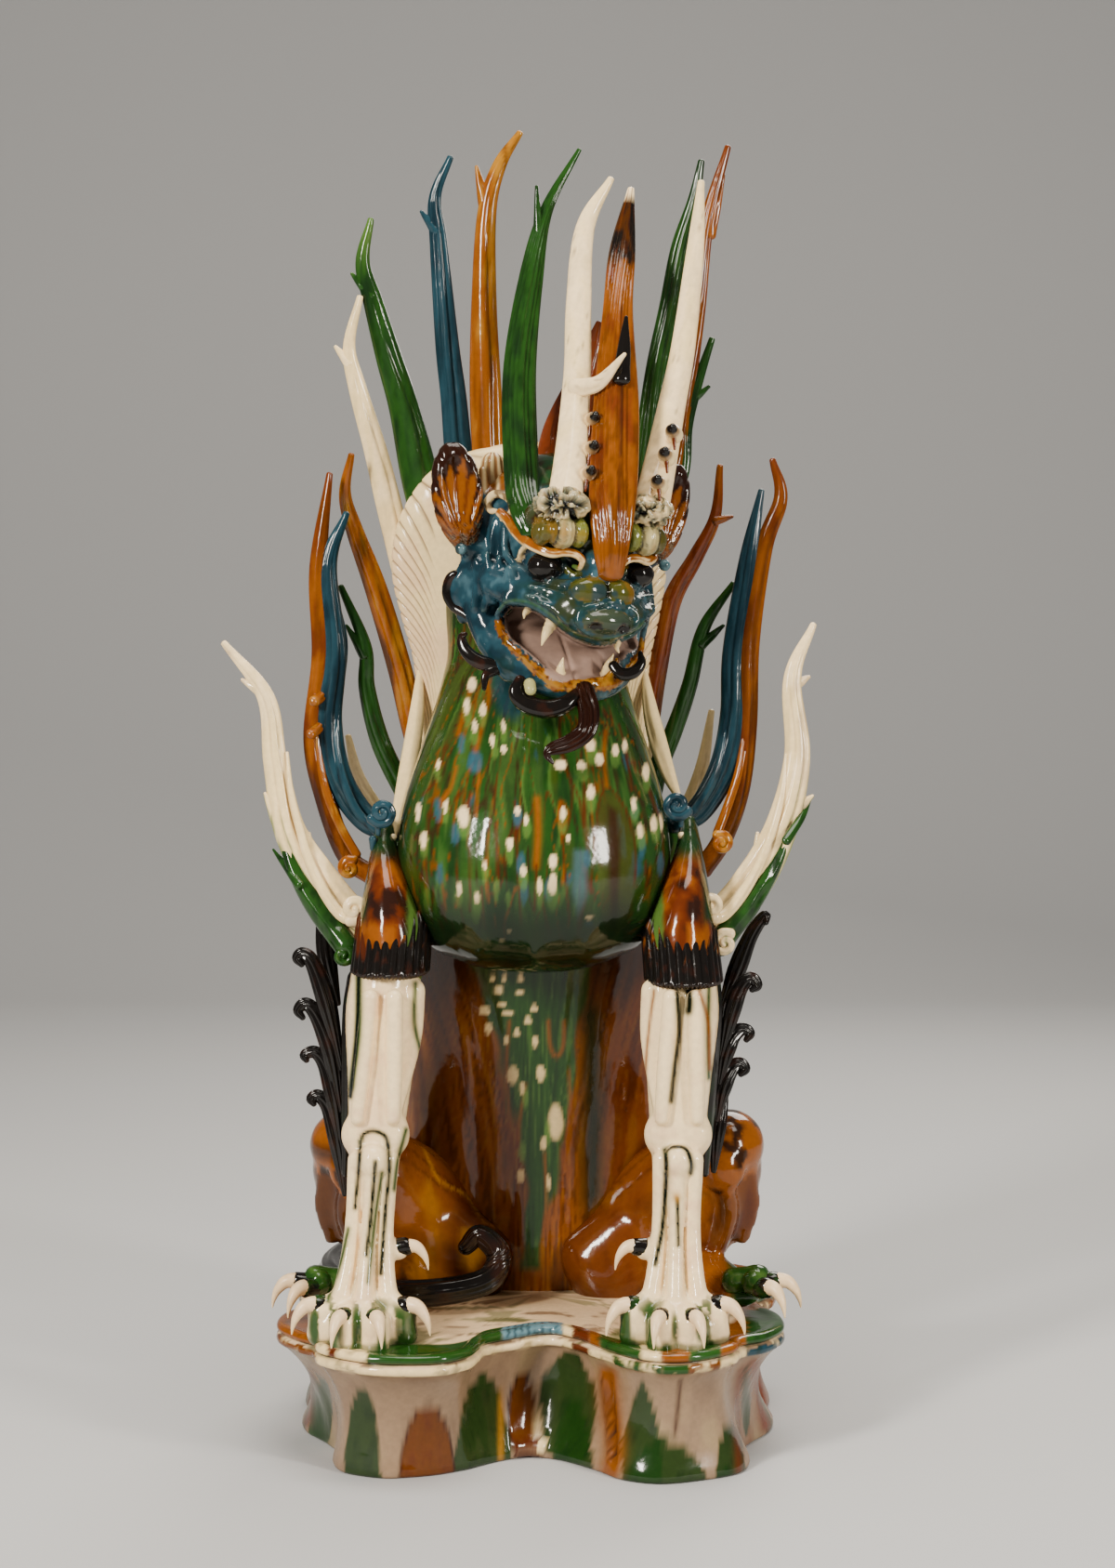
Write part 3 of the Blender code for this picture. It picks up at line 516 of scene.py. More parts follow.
def piece(name, skin, material):
    """A mesh object of the skin that rides on the part's only body."""
    mesh = bpy.data.meshes.new(name)
    corners = np.concatenate([skin.quads.ravel(), skin.tris.ravel()])
    sizes = np.concatenate([np.full(len(skin.quads), 4), np.full(len(skin.tris), 3)])
    mesh.vertices.add(len(skin.co))
    mesh.vertices.foreach_set("co", skin.co.astype(np.float32).ravel())
    mesh.loops.add(len(corners))
    mesh.loops.foreach_set("vertex_index", corners.astype(np.int32))
    mesh.polygons.add(len(sizes))
    mesh.polygons.foreach_set("loop_start", (np.cumsum(sizes) - sizes).astype(np.int32))
    mesh.update(calc_edges=True)
    mesh.validate()
    glaze_layer = mesh.attributes.new("glaze", "FLOAT_COLOR", "POINT")
    whole = np.column_stack([np.clip(skin.colour, 0, 1), np.ones(len(skin.co))])
    glaze_layer.data.foreach_set("color", whole.astype(np.float32).ravel())
    dry_layer = mesh.attributes.new("dry", "FLOAT", "POINT")
    dry_layer.data.foreach_set("value", skin.dry.astype(np.float32))
    mesh.materials.append(material)
    mesh.shade_smooth()
    made = bpy.data.objects.new(name, mesh)
    bpy.context.scene.collection.objects.link(made)
    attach(made, "root")
    return made


def pooled(skin, dark=0.55, light=0.35, scale=0.00018, edge=PALE):
    """Glaze runs off ridges, where it turns pale, and gathers in hollows, where it turns deep."""
    skin.paint(dark * ramp(skin.hollow, 0.15 * scale, 2.2 * scale), skin.colour * 0.25)
    skin.paint(light * ramp(-skin.hollow, 0.6 * scale, 3.0 * scale), edge)


# The torso, from the seat to the neck

(BACK_CLAY, SHOULDER_CLAY, THIGH_CLAY, KNEE_CLAY, CALF_CLAY, FOOT_CLAY) = range(1, 7)

# Masses that are lofts. A station is x, y, z, half width, half depth.
BELLY = (
    (0.0, 0.088, 0.086, 0.106, 0.08),
    (0.0, 0.086, 0.135, 0.107, 0.08),
    (0.0, 0.074, 0.2, 0.102, 0.072),
    (0.0, 0.058, 0.27, 0.096, 0.068),
    (0.0, 0.036, 0.34, 0.093, 0.068),
    (0.0, 0.01, 0.41, 0.09, 0.07),
    (0.0, 0.012, 0.47, 0.07, 0.056),
    (0.0, 0.026, 0.54, 0.058, 0.044),
    (0.0, 0.028, 0.55, 0.02, 0.015),
)
CHEST = (
    (-0.002, -0.032, 0.3272, 0.004, 0.004),
    (-0.002, -0.033, 0.329, 0.03, 0.025),
    (-0.002, -0.034, 0.334, 0.05, 0.042),
    (-0.002, -0.035, 0.3444, 0.071, 0.058),
    (-0.002, -0.036, 0.358, 0.083, 0.068),
    (-0.002, -0.036, 0.374, 0.0905, 0.0745),
    (-0.002, -0.036, 0.403, 0.096, 0.078),
    (-0.002, -0.032, 0.43, 0.0945, 0.0765),
    (-0.002, -0.026, 0.455, 0.0895, 0.0725),
    (-0.002, -0.016, 0.488, 0.079, 0.065),
    (-0.002, -0.004, 0.514, 0.0705, 0.057),
    (-0.002, 0.008, 0.535, 0.065, 0.05),
    (-0.002, 0.016, 0.553, 0.062, 0.046),
    (-0.003, 0.024, 0.6, 0.062, 0.044),
    (-0.003, 0.026, 0.62, 0.04, 0.03),
)
BACK = (
    (0.0, 0.036, 0.662, 0.022, 0.016),
    (0.0, 0.034, 0.64, 0.046, 0.03),
    (0.0, 0.032, 0.6, 0.058, 0.042),
    (0.0, 0.032, 0.54, 0.062, 0.049),
    (0.0, 0.034, 0.47, 0.078, 0.054),
    (0.0, 0.04, 0.41, 0.088, 0.058),
    (0.0, 0.056, 0.34, 0.092, 0.062),
    (0.0, 0.074, 0.27, 0.096, 0.063),
    (0.0, 0.088, 0.2, 0.102, 0.067),
    (0.0, 0.098, 0.13, 0.106, 0.071),
    (0.0, 0.098, 0.1, 0.106, 0.071),
)
SHOULDER_BLADE = (
    (0.09, 0.012, 0.412, 0.016, 0.016),
    (0.084, 0.03, 0.37, 0.027, 0.027),
    (0.074, 0.052, 0.32, 0.029, 0.029),
    (0.066, 0.07, 0.27, 0.026, 0.026),
)
SHOULDER = (
    (0.1075, -0.02, 0.43, 0.006, 0.012),
    (0.107, -0.032, 0.412, 0.0095, 0.02),
    (0.105, -0.044, 0.394, 0.014, 0.028),
    (0.1025, -0.054, 0.374, 0.0195, 0.034),
    (0.1005, -0.063, 0.354, 0.024, 0.034),
    (0.101, -0.07, 0.336, 0.0235, 0.03),
)
HAUNCH = (
    (0.05, 0.098, 0.112, 0.06, 0.042),
    (0.074, 0.062, 0.124, 0.06, 0.048),
    (0.098, 0.028, 0.144, 0.047, 0.05),
    (0.114, 0.006, 0.172, 0.034, 0.037),
)


def barrel(stations, rows, columns):
    """An upright loft of oval rings, its columns closer together in front, where the camera looks."""
    route = np.array(smooth_route(stations, 12))
    walk = np.append(0, np.cumsum(np.linalg.norm(np.diff(route[:, 2:5], axis=0), axis=1)))
    x, y, z, wide, deep = (np.interp(np.linspace(0, walk[-1], rows), walk, route[:, i]) for i in range(5))
    share = np.arange(columns) / columns
    turns = 2 * math.pi * (share - 0.095 * np.sin(2 * math.pi * share)) - math.pi / 2
    across, ahead = np.cos(turns), np.sin(turns)
    rings = [
        np.stack([x[i] + wide[i] * across, y[i] + deep[i] * ahead, np.full(columns, z[i])],
            1) for i in range(rows)
    ]
    return loft(rings)


def sided(stations, side):
    """The stations as they are on the right, or mirrored for the left."""
    return [(side * s[0], *s[1:]) for s in stations]


def torso():
    clay = Clay((-0.18, -0.125, 0.082), (0.18, 0.192, 0.69), 0.0035)
    clay.tube(BACK_CLAY, BACK, blend=0.016, steps=3)
    spine = [(0, 0.094, 0.43, 0.007), (0, 0.113, 0.34, 0.008), (0, 0.132, 0.27, 0.008), (0, 0.15, 0.2, 0.008)]
    clay.tube(BACK_CLAY, spine, blend=0.012)
    for side in (-1, 1):
        clay.tube(THIGH_CLAY, sided(HAUNCH, side), UP, blend=0.005, steps=3)
        thigh = [(0.05, 0.01, 0.1, 0.04, 0.026), (0.074, 0.014, 0.124, 0.038, 0.028),
            (0.096, 0.02, 0.16, 0.024)]
        clay.tube(THIGH_CLAY, sided(thigh, side), blend=0.003)
        clay.tube(SHOULDER_CLAY, sided(SHOULDER, side), blend=0.006)
        clay.tube(SHOULDER_CLAY, sided(SHOULDER_BLADE, side), blend=0.012)
        clay.ball(KNEE_CLAY, (side * 0.137, -0.008, 0.199), (0.026, 0.032, 0.025), 0.004)
        clay.ball(KNEE_CLAY, (side * 0.131, -0.034, 0.186), (0.017, 0.012, 0.018), 0.002)
        calf = [(0.137, 0.0, 0.18, 0.025, 0.028), (0.132, 0.002, 0.152, 0.023, 0.026)]
        calf += [(0.122, 0.004, 0.124, 0.015, 0.018), (0.118, 0.004, 0.104, 0.014, 0.016)]
        clay.tube(CALF_CLAY, sided(calf, side), blend=0.003)
        fold = [(0.15, -0.018, 0.18, 0.006), (0.154, -0.012, 0.155, 0.006), (0.148, -0.006, 0.13, 0.005)]
        clay.tube(CALF_CLAY, sided(fold, side), blend=0.003)
        fold = [(0.134, -0.03, 0.172, 0.007), (0.136, -0.026, 0.15, 0.007), (0.13, -0.016, 0.126, 0.006)]
        clay.tube(CALF_CLAY, sided(fold, side), blend=0.003)
        foot = [(0.112, 0.012, 0.106, 0.017, 0.014), (0.122, -0.018, 0.108, 0.018, 0.014)]
        foot += [(0.136, -0.04, 0.104, 0.018, 0.011), (0.144, -0.056, 0.1, 0.016, 0.008)]
        clay.tube(FOOT_CLAY, sided(foot, side), UP, blend=0.004)
    return clay.skin()


def streaks(skin, seed, across=0.006, down=0.06):
    """Noise drawn out down the skin, as running glaze is."""
    angle = np.arctan2(skin.co[:, 0], 0.03 - skin.co[:, 1])
    round_it = np.stack([angle * 0.09, np.zeros(len(angle)), skin.co[:, 2]], 1)
    sway = 0.004 * lumps(round_it, (0.03, 1, 0.03), seed + 5)
    round_it[:, 0] += sway
    return rough_lumps(round_it, (across, 1.0, down), seed)


def drops(skin, *places):
    """Soft-edged drops on the skin's front, each a place in the picture, a half width and a half height."""
    best = np.zeros(len(skin.co))
    sway = 1.2 * lumps(np.stack([skin.px / 6, skin.py / 9, skin.px * 0], 1), 1.0, 3)
    for across, down, wide, tall in places:
        gap = ((skin.px + sway - across) / wide) ** 2 + ((skin.py - down) / tall) ** 2
        best = np.maximum(best, ramp(1.35 - gap, 0, 0.9))
    return best * ramp(skin.facing, -0.1, 0.2)


def chest():
    made = barrel(CHEST, 185, 210)
    made.measure()
    fold = np.cos(made.co[:, 0] * 2 * math.pi / 0.036) * ramp(0.4 - made.co[:, 2], 0, 0.03)
    made.push(0.0007 * fold * ramp(made.co[:, 2], 0.33, 0.345) + 0.0006 * streaks(made, 4, 0.012, 0.09))
    made.measure()
    z, py = made.co[:, 2], made.py
    run, fine, wide = streaks(made, 3, 0.007, 0.08), streaks(made, 9, 0.0028, 0.05), streaks(made, 29,
        0.014, 0.12)
    made.colour[:] = GREEN * 0.95
    made.paint(ramp(run, -0.05, 0.45) * 0.75, DEEP_GREEN * 1.3)
    made.paint(ramp(-wide, 0.0, 0.5) * 0.6, LEAF_GREEN * 0.65)
    made.paint(ramp(fine, 0.15, 0.5) * 0.45, LEAF_GREEN)
    made.paint(ramp(-fine, 0.2, 0.55) * 0.45, DEEP_GREEN)
    made.paint(ramp(wide, 0.2, 0.5) * ramp(z, 0.35, 0.38) * 0.55, OLIVE)
    made.paint(ramp(streaks(made, 21, 0.008, 0.035), 0.35, 0.5) * ramp(z, 0.37, 0.4) * 0.75, TEAL * 1.5)
    for seed, colour, width in ((15, AMBER * 0.8, 0.04), (31, RUST * 0.8, 0.04), (47, BROWN, 0.05)):
        thin = near(streaks(made, seed, 0.011, 0.11), 0.1, width)
        made.paint(thin * ramp(z, 0.345, 0.37) * 0.8, colour)
    made.paint(made.patch(8, (528, 700), (556, 716), (566, 750), (556, 776), (538, 768), (530, 740)) * 0.8,
        TEAL * 0.9)
    # Painted reflection: an olive patch with a brown stripe down it on the chest's right side, standing in for
    # a dark reflection of the studio in the glaze.
    painted_reflection = made.patch(3, (650, 850), (666, 858), (680, 890), (684, 950), (676, 1000), (650, 1004),
        (643, 950), (642, 880))
    made.paint(painted_reflection * 0.75, OLIVE * 0.9)
    made.paint(made.patch(4, (654, 866), (664, 872), (668, 905), (664, 1000), (658, 1000),
        (654, 905)) * 0.85, BROWN)
    made.paint(made.patch(4, (618, 915), (632, 915), (632, 965), (622, 990), (616, 960)) * 0.6,
        PALE_BLUE * 0.6)
    ambers = (
        (2.6, (524, 732), (526, 750), (518, 784), (512, 809)), (3.0, (506, 743), (500, 765), (493, 790)),
        (2.2, (491, 826), (484, 850), (474, 862)), (4.0, (578, 860), (579, 895), (577, 932)),
        (2.5, (652, 786), (650, 815), (653, 846)), (2.0, (603, 862), (602, 880), (606, 900)),
        (1.8, (494, 960), (491, 976)), (1.6, (522, 925), (524, 955), (526, 970)),
            (1.5, (607, 930), (606, 950)),
        (2.0, (480, 852), (476, 866), (474, 884)), (1.6, (512, 880), (514, 850), (516, 820)),
    )
    rusts = (
        (1.3, (505, 852), (506, 910), (506, 980)), (1.8, (533, 885), (535, 920), (536, 950)),
        (1.3, (554, 862), (557, 930), (561, 995)), (1.4, (604, 862), (607, 925), (613, 990)),
        (1.8, (628, 835), (629, 862), (628, 888)), (1.6, (577, 930), (577, 950), (575, 980)),
        (1.3, (650, 848), (643, 870), (641, 900), (636, 960)),
            (1.3, (655, 846), (672, 868), (682, 900), (684, 955)),
        (1.4, (666, 780), (674, 810), (680, 850)), (1.4, (518, 955), (520, 985), (522, 1000)),
        (1.2, (461, 880), (458, 920), (462, 960)), (1.4, (698, 850), (712, 890), (714, 940)),
        (1.5, (455, 855), (470, 838), (480, 800)), (1.3, (582, 962), (588, 990), (592, 1004)),
    )
    for width, *route in ambers:
        made.paint(made.line(width, *route) * 0.85, AMBER * 1.1)
    for width, *route in rusts:
        made.paint(made.line(width, *route) * 0.85, RUST * 0.8)
    blue = ((490, 897, 5, 12), (471, 872, 4, 14), (557, 878, 5, 12), (561, 931, 5, 15), (591, 957, 5, 14))
    blue += ((691, 911, 4, 14), (632, 924, 4, 10), (512, 820, 8, 12), (497, 800, 4, 11), (474, 940, 4, 12))
    blue += ((634, 994, 5, 4), (683, 872, 4, 11), (564, 960, 4, 16), (711, 930, 4, 14))
    made.paint(drops(made, *blue) * 0.75, TEAL * 1.8)
    tails = ((499, 886, 8, 17), (457, 909, 5, 15), (549, 917, 5, 15), (563, 945, 5, 14), (513, 977, 5, 20))
    tails += ((581, 962, 4.5, 18), (595, 962, 7, 20), (606, 884, 5, 14), (690, 902, 6, 13), (636, 862, 6, 14))
    tails += ((683, 874, 4.5, 14), (705, 893, 5, 14), (567, 890, 4.5, 13), (542, 788, 4, 12),
        (520, 770, 5, 14))
    tails += ((503, 766, 5, 18), (511, 790, 5, 13), (696, 838, 5, 15), (627, 832, 6, 10), (662, 815, 5, 12))
    tails += ((494, 964, 5, 13), (471, 830, 3.5, 12), (533, 805, 4, 12), (522, 940, 3.5, 12),
        (480, 874, 4, 13))
    tails += ((637, 812, 7, 12), (460, 968, 4, 14), (534, 958, 3.5, 14), (547, 968, 3, 10), (590, 800, 4, 10))
    made.paint(drops(made, *tails) * 0.6, LEAF_GREEN * 1.15)
    cream = ((499, 879, 6.5, 12), (456, 904, 3.8, 10), (450, 874, 2.8, 11), (480, 868, 2.5, 8),
        (557, 872, 3.5, 5))
    cream += ((549, 908, 3.8, 7), (563, 937, 3.6, 6), (494, 957, 3.2, 8), (513, 966, 3.6, 6),
        (595, 927, 5, 8))
    cream += ((595, 951, 5, 12), (581, 954, 2.8, 10), (606, 875, 3.2, 8), (636, 802, 5.5, 6.5),
        (662, 807, 3.8, 7))
    cream += ((645, 817, 4.2, 7), (626, 824, 5, 5), (603, 823, 6, 6), (636, 852, 4.5, 8), (689, 894, 4.2, 8))
    cream += ((682, 865, 3, 8), (704, 886, 3.6, 9), (712, 884, 2.2, 10), (695, 831, 3.6, 10),
        (672, 802, 2.8, 7))
    cream += ((508, 736, 5, 8), (503, 760, 3, 9), (520, 763, 3.6, 8), (542, 781, 2.6, 7),
        (542, 806, 3.2, 4.5))
    cream += ((530, 797, 2.6, 7), (511, 781, 3.4, 7), (723, 910, 2.6, 8), (566, 882, 2.6, 6),
        (634, 987, 4.5, 3))
    cream += ((522, 931, 2, 6), (540, 1012, 4, 2), (471, 823, 2, 6), (612, 902, 2.4, 5), (548, 1002, 3.5, 2))
    made.paint(drops(made, *cream) * 0.95, PALE * 0.95)
    gap = drops(made, (606, 876, 6.5, 14)) - drops(made, (606, 876, 4.6, 11))
    made.paint(np.maximum(gap, 0) * 0.8, AMBER)
    # Painted shade: dark green bands along the chest's left and right edges, in the creases beside the cream
    # neck strips.
    edge = np.interp(py, [640, 760, 830, 880, 930, 980, 1020], [468, 462, 440, 430, 426, 441, 470])
    made.paint(ramp(edge + 13 - made.px, 0, 12) * 0.85, DEEP_GREEN * 0.9)
    edge = np.interp(py, [760, 830, 880, 930, 980, 1020], [690, 706, 720, 722, 712, 690])
    made.paint(ramp(made.px - edge + 11, 0, 12) * 0.75, DEEP_GREEN)
    # Painted shade: the chest turns dark green towards its bottom, under the bulge.
    made.paint(ramp(py + 10 * run, 935, 1000) * 0.93, DEEP_GREEN * 0.5)
    made.paint(ramp(made.co[:, 2], 0.56, 0.58) * 0.8, DEEP_GREEN)
    return made


def belly():
    made = barrel(BELLY, 165, 180)
    made.measure()
    made.push(0.0006 * streaks(made, 14, 0.012, 0.09))
    made.measure()
    z = made.co[:, 2]
    px, py = made.px, made.py
    run, fine = streaks(made, 3), streaks(made, 9, 0.003, 0.04)
    front = ramp(made.facing, -0.1, 0.2)
    made.colour[:] = AMBER * 0.9
    made.paint(ramp(run, -0.3, 0.4) * 0.7, RUST)
    made.paint(ramp(fine, 0.1, 0.5) * 0.35, HONEY * 0.8)
    made.paint(ramp(-fine, 0.05, 0.4) * 0.6, BROWN)
    # Painted shade: the belly darkens to brown towards its top, under the chest.
    made.paint(ramp(z + 0.01 * run, 0.275, 0.335) * 0.85, BROWN * 0.6)
    # Painted shade: a brown band down the belly's left side, beside the left leg.
    made.paint(front * near(px, 472, 26) * ramp(1300 - py, 0, 120) * 0.5, BROWN)
    made.paint(front * ramp(px + 4 * run, 655, 690) * 0.3, RUST)
    reach = np.interp(py, [1020, 1070, 1130, 1200, 1290, 1340, 1370], [60, 56, 42, 30, 14, 10, 15])
    middle = np.interp(py, [1020, 1130, 1200, 1290, 1370], [568, 577, 580, 579, 571])
    sway = 7 * lumps(np.stack([px / 14, px * 0, py / 40], 1), 1.0, 2)
    panel = front * ramp(reach - np.abs(px - middle) + sway, -3, 4) * ramp(1368 - py, 0, 5)
    made.paint(panel, GREEN)
    made.paint(panel * ramp(fine, -0.1, 0.5) * 0.6, DEEP_GREEN)
    made.paint(panel * ramp(-fine, 0.15, 0.5) * 0.4, LEAF_GREEN)
    # Painted shade: the green panel darkens at its top, under the chest.
    made.paint(panel * ramp(1110 - py, 0, 60) * 0.5, DEEP_GREEN * 0.6)
    band = front * near(px + 4 * run, 637, 24) * ramp(py, 1060, 1095) * ramp(1330 - py, 0, 50)
    made.paint(band * 0.95, DEEP_GREEN * 0.6)
    made.paint(front * near(px, 662, 14) * ramp(py, 1080, 1120) * ramp(1320 - py, 0, 60) * 0.5, RUST)
    for width, *route in (
        (2.2, (590, 1098), (592, 1125), (599, 1137), (606, 1125), (607, 1100)),
            (1.8, (566, 1168), (560, 1200), (558, 1228)),
        (2.0, (548, 1100), (545, 1150), (549, 1210)), (1.6, (612, 1150), (613, 1200), (608, 1260)),
        (1.6, (586, 1240), (588, 1290), (585, 1330)),
    ):
        made.paint(made.line(width, *route) * 0.8, AMBER)
    pale = ((544, 1012, 5, 3), (561, 1029, 5, 5), (581, 1033, 6, 4), (544, 1040, 5, 4), (543, 1052, 4, 3))
    pale += ((537, 1065, 6, 4), (521, 1088, 6, 5), (547, 1090, 6, 4), (559, 1068, 4, 3), (525, 1107, 4, 6))
    pale += ((576, 1121, 4, 6), (552, 1157, 6, 10), (582, 1155, 5, 9), (562, 1171, 3, 7), (598, 1207, 8, 20))
    pale += ((585, 1230, 3, 8), (560, 1265, 4, 8), (590, 1272, 3, 8), (545, 1120, 3, 5), (568, 1098, 5, 4))
    pale += ((560, 1052, 4, 3), (530, 1052, 4, 3), (575, 1085, 4, 4), (540, 1080, 4, 3), (556, 1111, 4, 4))
    made.paint(drops(made, *pale) * 0.9, CREAM * 0.85)
    made.paint(drops(made, (566, 1182, 3, 12), (590, 1219, 4, 14), (562, 1240, 4, 12)) * 0.6,
        LEAF_GREEN * 1.5)
    return made


def glaze_torso(skin):
    x, y, z = skin.co.T
    own = skin.owner
    run = streaks(skin, 3)
    slow = rough_lumps(skin.co, (0.02, 0.02, 0.06), 4)
    back = (own == BACK_CLAY).astype(float)
    skin.paint(back, RUST)
    skin.paint(back * ramp(run, -0.3, 0.4) * 0.7, BROWN)
    skin.paint(back * ramp(-run, 0.1, 0.5) * 0.5, AMBER)
    skin.paint(back * ramp(z + 0.02 * run, 0.33, 0.4), GREEN)

    # Amber thighs, darker in the folds, and marbled knees
    thigh = ((own == THIGH_CLAY)).astype(float)
    thin = streaks(skin, 17, 0.0035, 0.05)
    skin.paint(thigh, AMBER * 0.85)
    skin.paint(thigh * ramp(slow, -0.2, 0.5) * 0.8, RUST)
    skin.paint(thigh * ramp(-slow, 0.25, 0.6) * 0.4, HONEY)
    skin.paint(thigh * ramp(thin, 0.0, 0.4) * 0.5, BROWN * 1.3)
    skin.paint(thigh * ramp(0.075 - np.abs(x), 0, 0.03) * 0.6, RUST * 0.7)
    skin.paint(thigh * ramp(0.115 - z, 0, 0.03) * 0.4, BROWN)
    skin.paint(thigh * skin.patch(6, (498, 1322), (518, 1322), (522, 1350), (508, 1368), (494, 1362)) * 0.7,
        HONEY * 1.3)
    pale_edge = ((440, 1218), (455, 1233), (472, 1269), (501, 1286), (520, 1313), (539, 1322))
    skin.paint(thigh * skin.line(1.6, *pale_edge) * 0.6, HONEY * 1.2)
    knee = (own == KNEE_CLAY).astype(float)
    skin.paint(knee, AMBER * 1.2)
    skin.paint(knee * ramp(rough_lumps(skin.co, 0.014, 6), 0.15, 0.35) * 0.9, BLACK)
    calf = (own == CALF_CLAY).astype(float)
    skin.paint(calf, AMBER * 0.8)
    skin.paint(calf * ramp(slow, 0.0, 0.4) * 0.7, BROWN)
    skin.paint(calf * ramp(run, -0.1, 0.3) * 0.8, RUST)
    left = (x < 0).astype(float)
    skin.paint((knee * near(z, 0.197, 0.012) + calf * 0.7) * left * 0.8, BLACK)
    foot = (own == FOOT_CLAY).astype(float)
    skin.paint(foot, AMBER)
    skin.paint(foot * ramp(slow, 0.1, 0.4) * 0.6, RUST)
    skin.paint(foot * ramp(np.abs(x), 0.132, 0.14), GREEN)

    # Brown shoulders, with a yellow-green line beside the chest and a dark green outer border
    shoulder = (own == SHOULDER_CLAY).astype(float)
    skin.paint(shoulder, RUST)
    mottle = rough_lumps(skin.co, (0.01, 0.01, 0.02), 12)
    skin.paint(shoulder * ramp(mottle, 0.0, 0.35) * 0.8, AMBER * 1.2)
    skin.paint(shoulder * ramp(-mottle, 0.05, 0.3) * 0.85, BLACK)
    reach = np.abs(x + 0.001)
    skin.paint(shoulder * ramp(reach + 0.002 * mottle, 0.113, 0.119) * ramp(z, 0.362, 0.372),
        DEEP_GREEN * 1.3)
    skin.paint(shoulder * ramp(0.0895 - reach + 0.002 * mottle, 0, 0.003), LEAF_GREEN * 0.8)
    skin.paint(shoulder * ramp(z + 0.006 * mottle, 0.404, 0.418), DEEP_GREEN * 1.8)
    skin.paint(shoulder * ramp(y, -0.02, -0.005), GREEN)
    pooled(skin, 0.7, 0.15, 0.0004)


# Front legs, finer than the torso

(LEG_CLAY, KNOB_CLAY, TOE_CLAY) = range(1, 4)


def leg_middle(side, z):
    """Where the middle of a front leg stands at a height: both legs lean a little to the left going down."""
    return side * 0.1025 - 0.0015 - 0.055 * max(0.335 - z, 0) * (1.0 if side < 0 else 0.6)


def leg_stations(side, stations):
    """Stations given by how far outwards of the leg's middle they are."""
    return [(leg_middle(side, s[2]) + side * s[0], *s[1:]) for s in stations]


FRONT_CLAWS = ((-62, 0.112, 0.86), (-17, 0.108, 0.8), (22, 0.108, 0.8), (66, 0.112, 0.86))
HIND_CLAWS = ((40, 0.109, 0.84), (80, 0.111, 0.84))


def front_legs():
    clay = Clay((-0.165, -0.175, 0.084), (0.16, -0.035, 0.352), 0.0016)
    for side in (-1, 1):
        arm = [(0.0, -0.073, 0.324, 0.0245, 0.027), (0.0, -0.077, 0.3, 0.0262, 0.028)]
        arm += [(0.0, -0.083, 0.262, 0.0225, 0.025), (0.0, -0.09, 0.228, 0.0195, 0.022)]
        arm += [(0.0, -0.097, 0.196, 0.0165, 0.019), (0.0, -0.104, 0.16, 0.015, 0.017)]
        arm += [(0.0, -0.112, 0.124, 0.018, 0.02), (0.001, -0.118, 0.098, 0.025, 0.026)]
        clay.tube(LEG_CLAY, leg_stations(side, arm), blend=0.004)
        inner = [(-0.02, -0.086, 0.32, 0.0085), (-0.02, -0.09, 0.285, 0.0075), (-0.012, -0.104, 0.238, 0.005)]
        clay.tube(LEG_CLAY, leg_stations(side, inner), blend=0.0025)
        outer = [(0.014, -0.085, 0.322, 0.009), (0.014, -0.088, 0.29, 0.008), (0.012, -0.094, 0.24, 0.006)]
        clay.tube(LEG_CLAY, leg_stations(side, outer), blend=0.003)
        for reach in (-0.012, 0.012):
            centre = leg_stations(side, [(reach, -0.101, 0.223)])[0]
            clay.ball(LEG_CLAY, centre, (0.0115, 0.012, 0.0145), 0.005)
            ridge = [(reach * 0.95, -0.112, 0.208, 0.0062), (reach * 0.95, -0.12, 0.16, 0.0055)]
            ridge += [(reach * 1.3, -0.132, 0.122, 0.0062), (reach * 1.9, -0.142, 0.1, 0.0075)]
            clay.tube(LEG_CLAY, leg_stations(side, ridge), blend=0.0012)
            rise = [(reach * 0.7, -0.106, 0.318, 0.006), (reach * 0.9, -0.11, 0.27, 0.006),
                (reach, -0.113, 0.236, 0.005)]
            clay.tube(LEG_CLAY, leg_stations(side, rise), blend=0.003)
        centre = leg_stations(side, [(0, -0.1155, 0.207)])[0]
        clay.ball(KNOB_CLAY, centre, (0.011, 0.0115, 0.0125), 0.0006)
        middle = [(0, -0.118, 0.196, 0.006), (0, -0.127, 0.15, 0.0052), (0, -0.142, 0.106, 0.007)]
        clay.tube(LEG_CLAY, leg_stations(side, middle), blend=0.0012)
        clay.ball(LEG_CLAY, (leg_middle(side, 0.1) + side * 0.001, -0.126, 0.094), (0.031, 0.03, 0.016),
            0.006)
        for degrees, height, _ in FRONT_CLAWS:
            heading = side * math.radians(degrees)
            ankle = Vector((leg_middle(side, 0.1), -0.124, height - 0.004))
            ahead = Vector((math.sin(heading), -math.cos(heading), 0))
            tip = ankle + ahead * 0.031
            toe = [(*(ankle + ahead * 0.008 + UP * 0.004), 0.0095),
                (*(tip - ahead * 0.006 + UP * 0.002), 0.01)]
            clay.tube(TOE_CLAY, toe + [(*tip, 0.0085)], blend=0.004)
            clay.tube(TOE_CLAY, [(*tip, 0.008), (*(tip - UP * 0.014), 0.01)], blend=0.004)
        root = leg_stations(side, [(-0.012, -0.113, 0.147, 0.009), (-0.021, -0.117, 0.146, 0.0065)])
        clay.tube(TOE_CLAY, root, blend=0.005)
    return clay.skin()


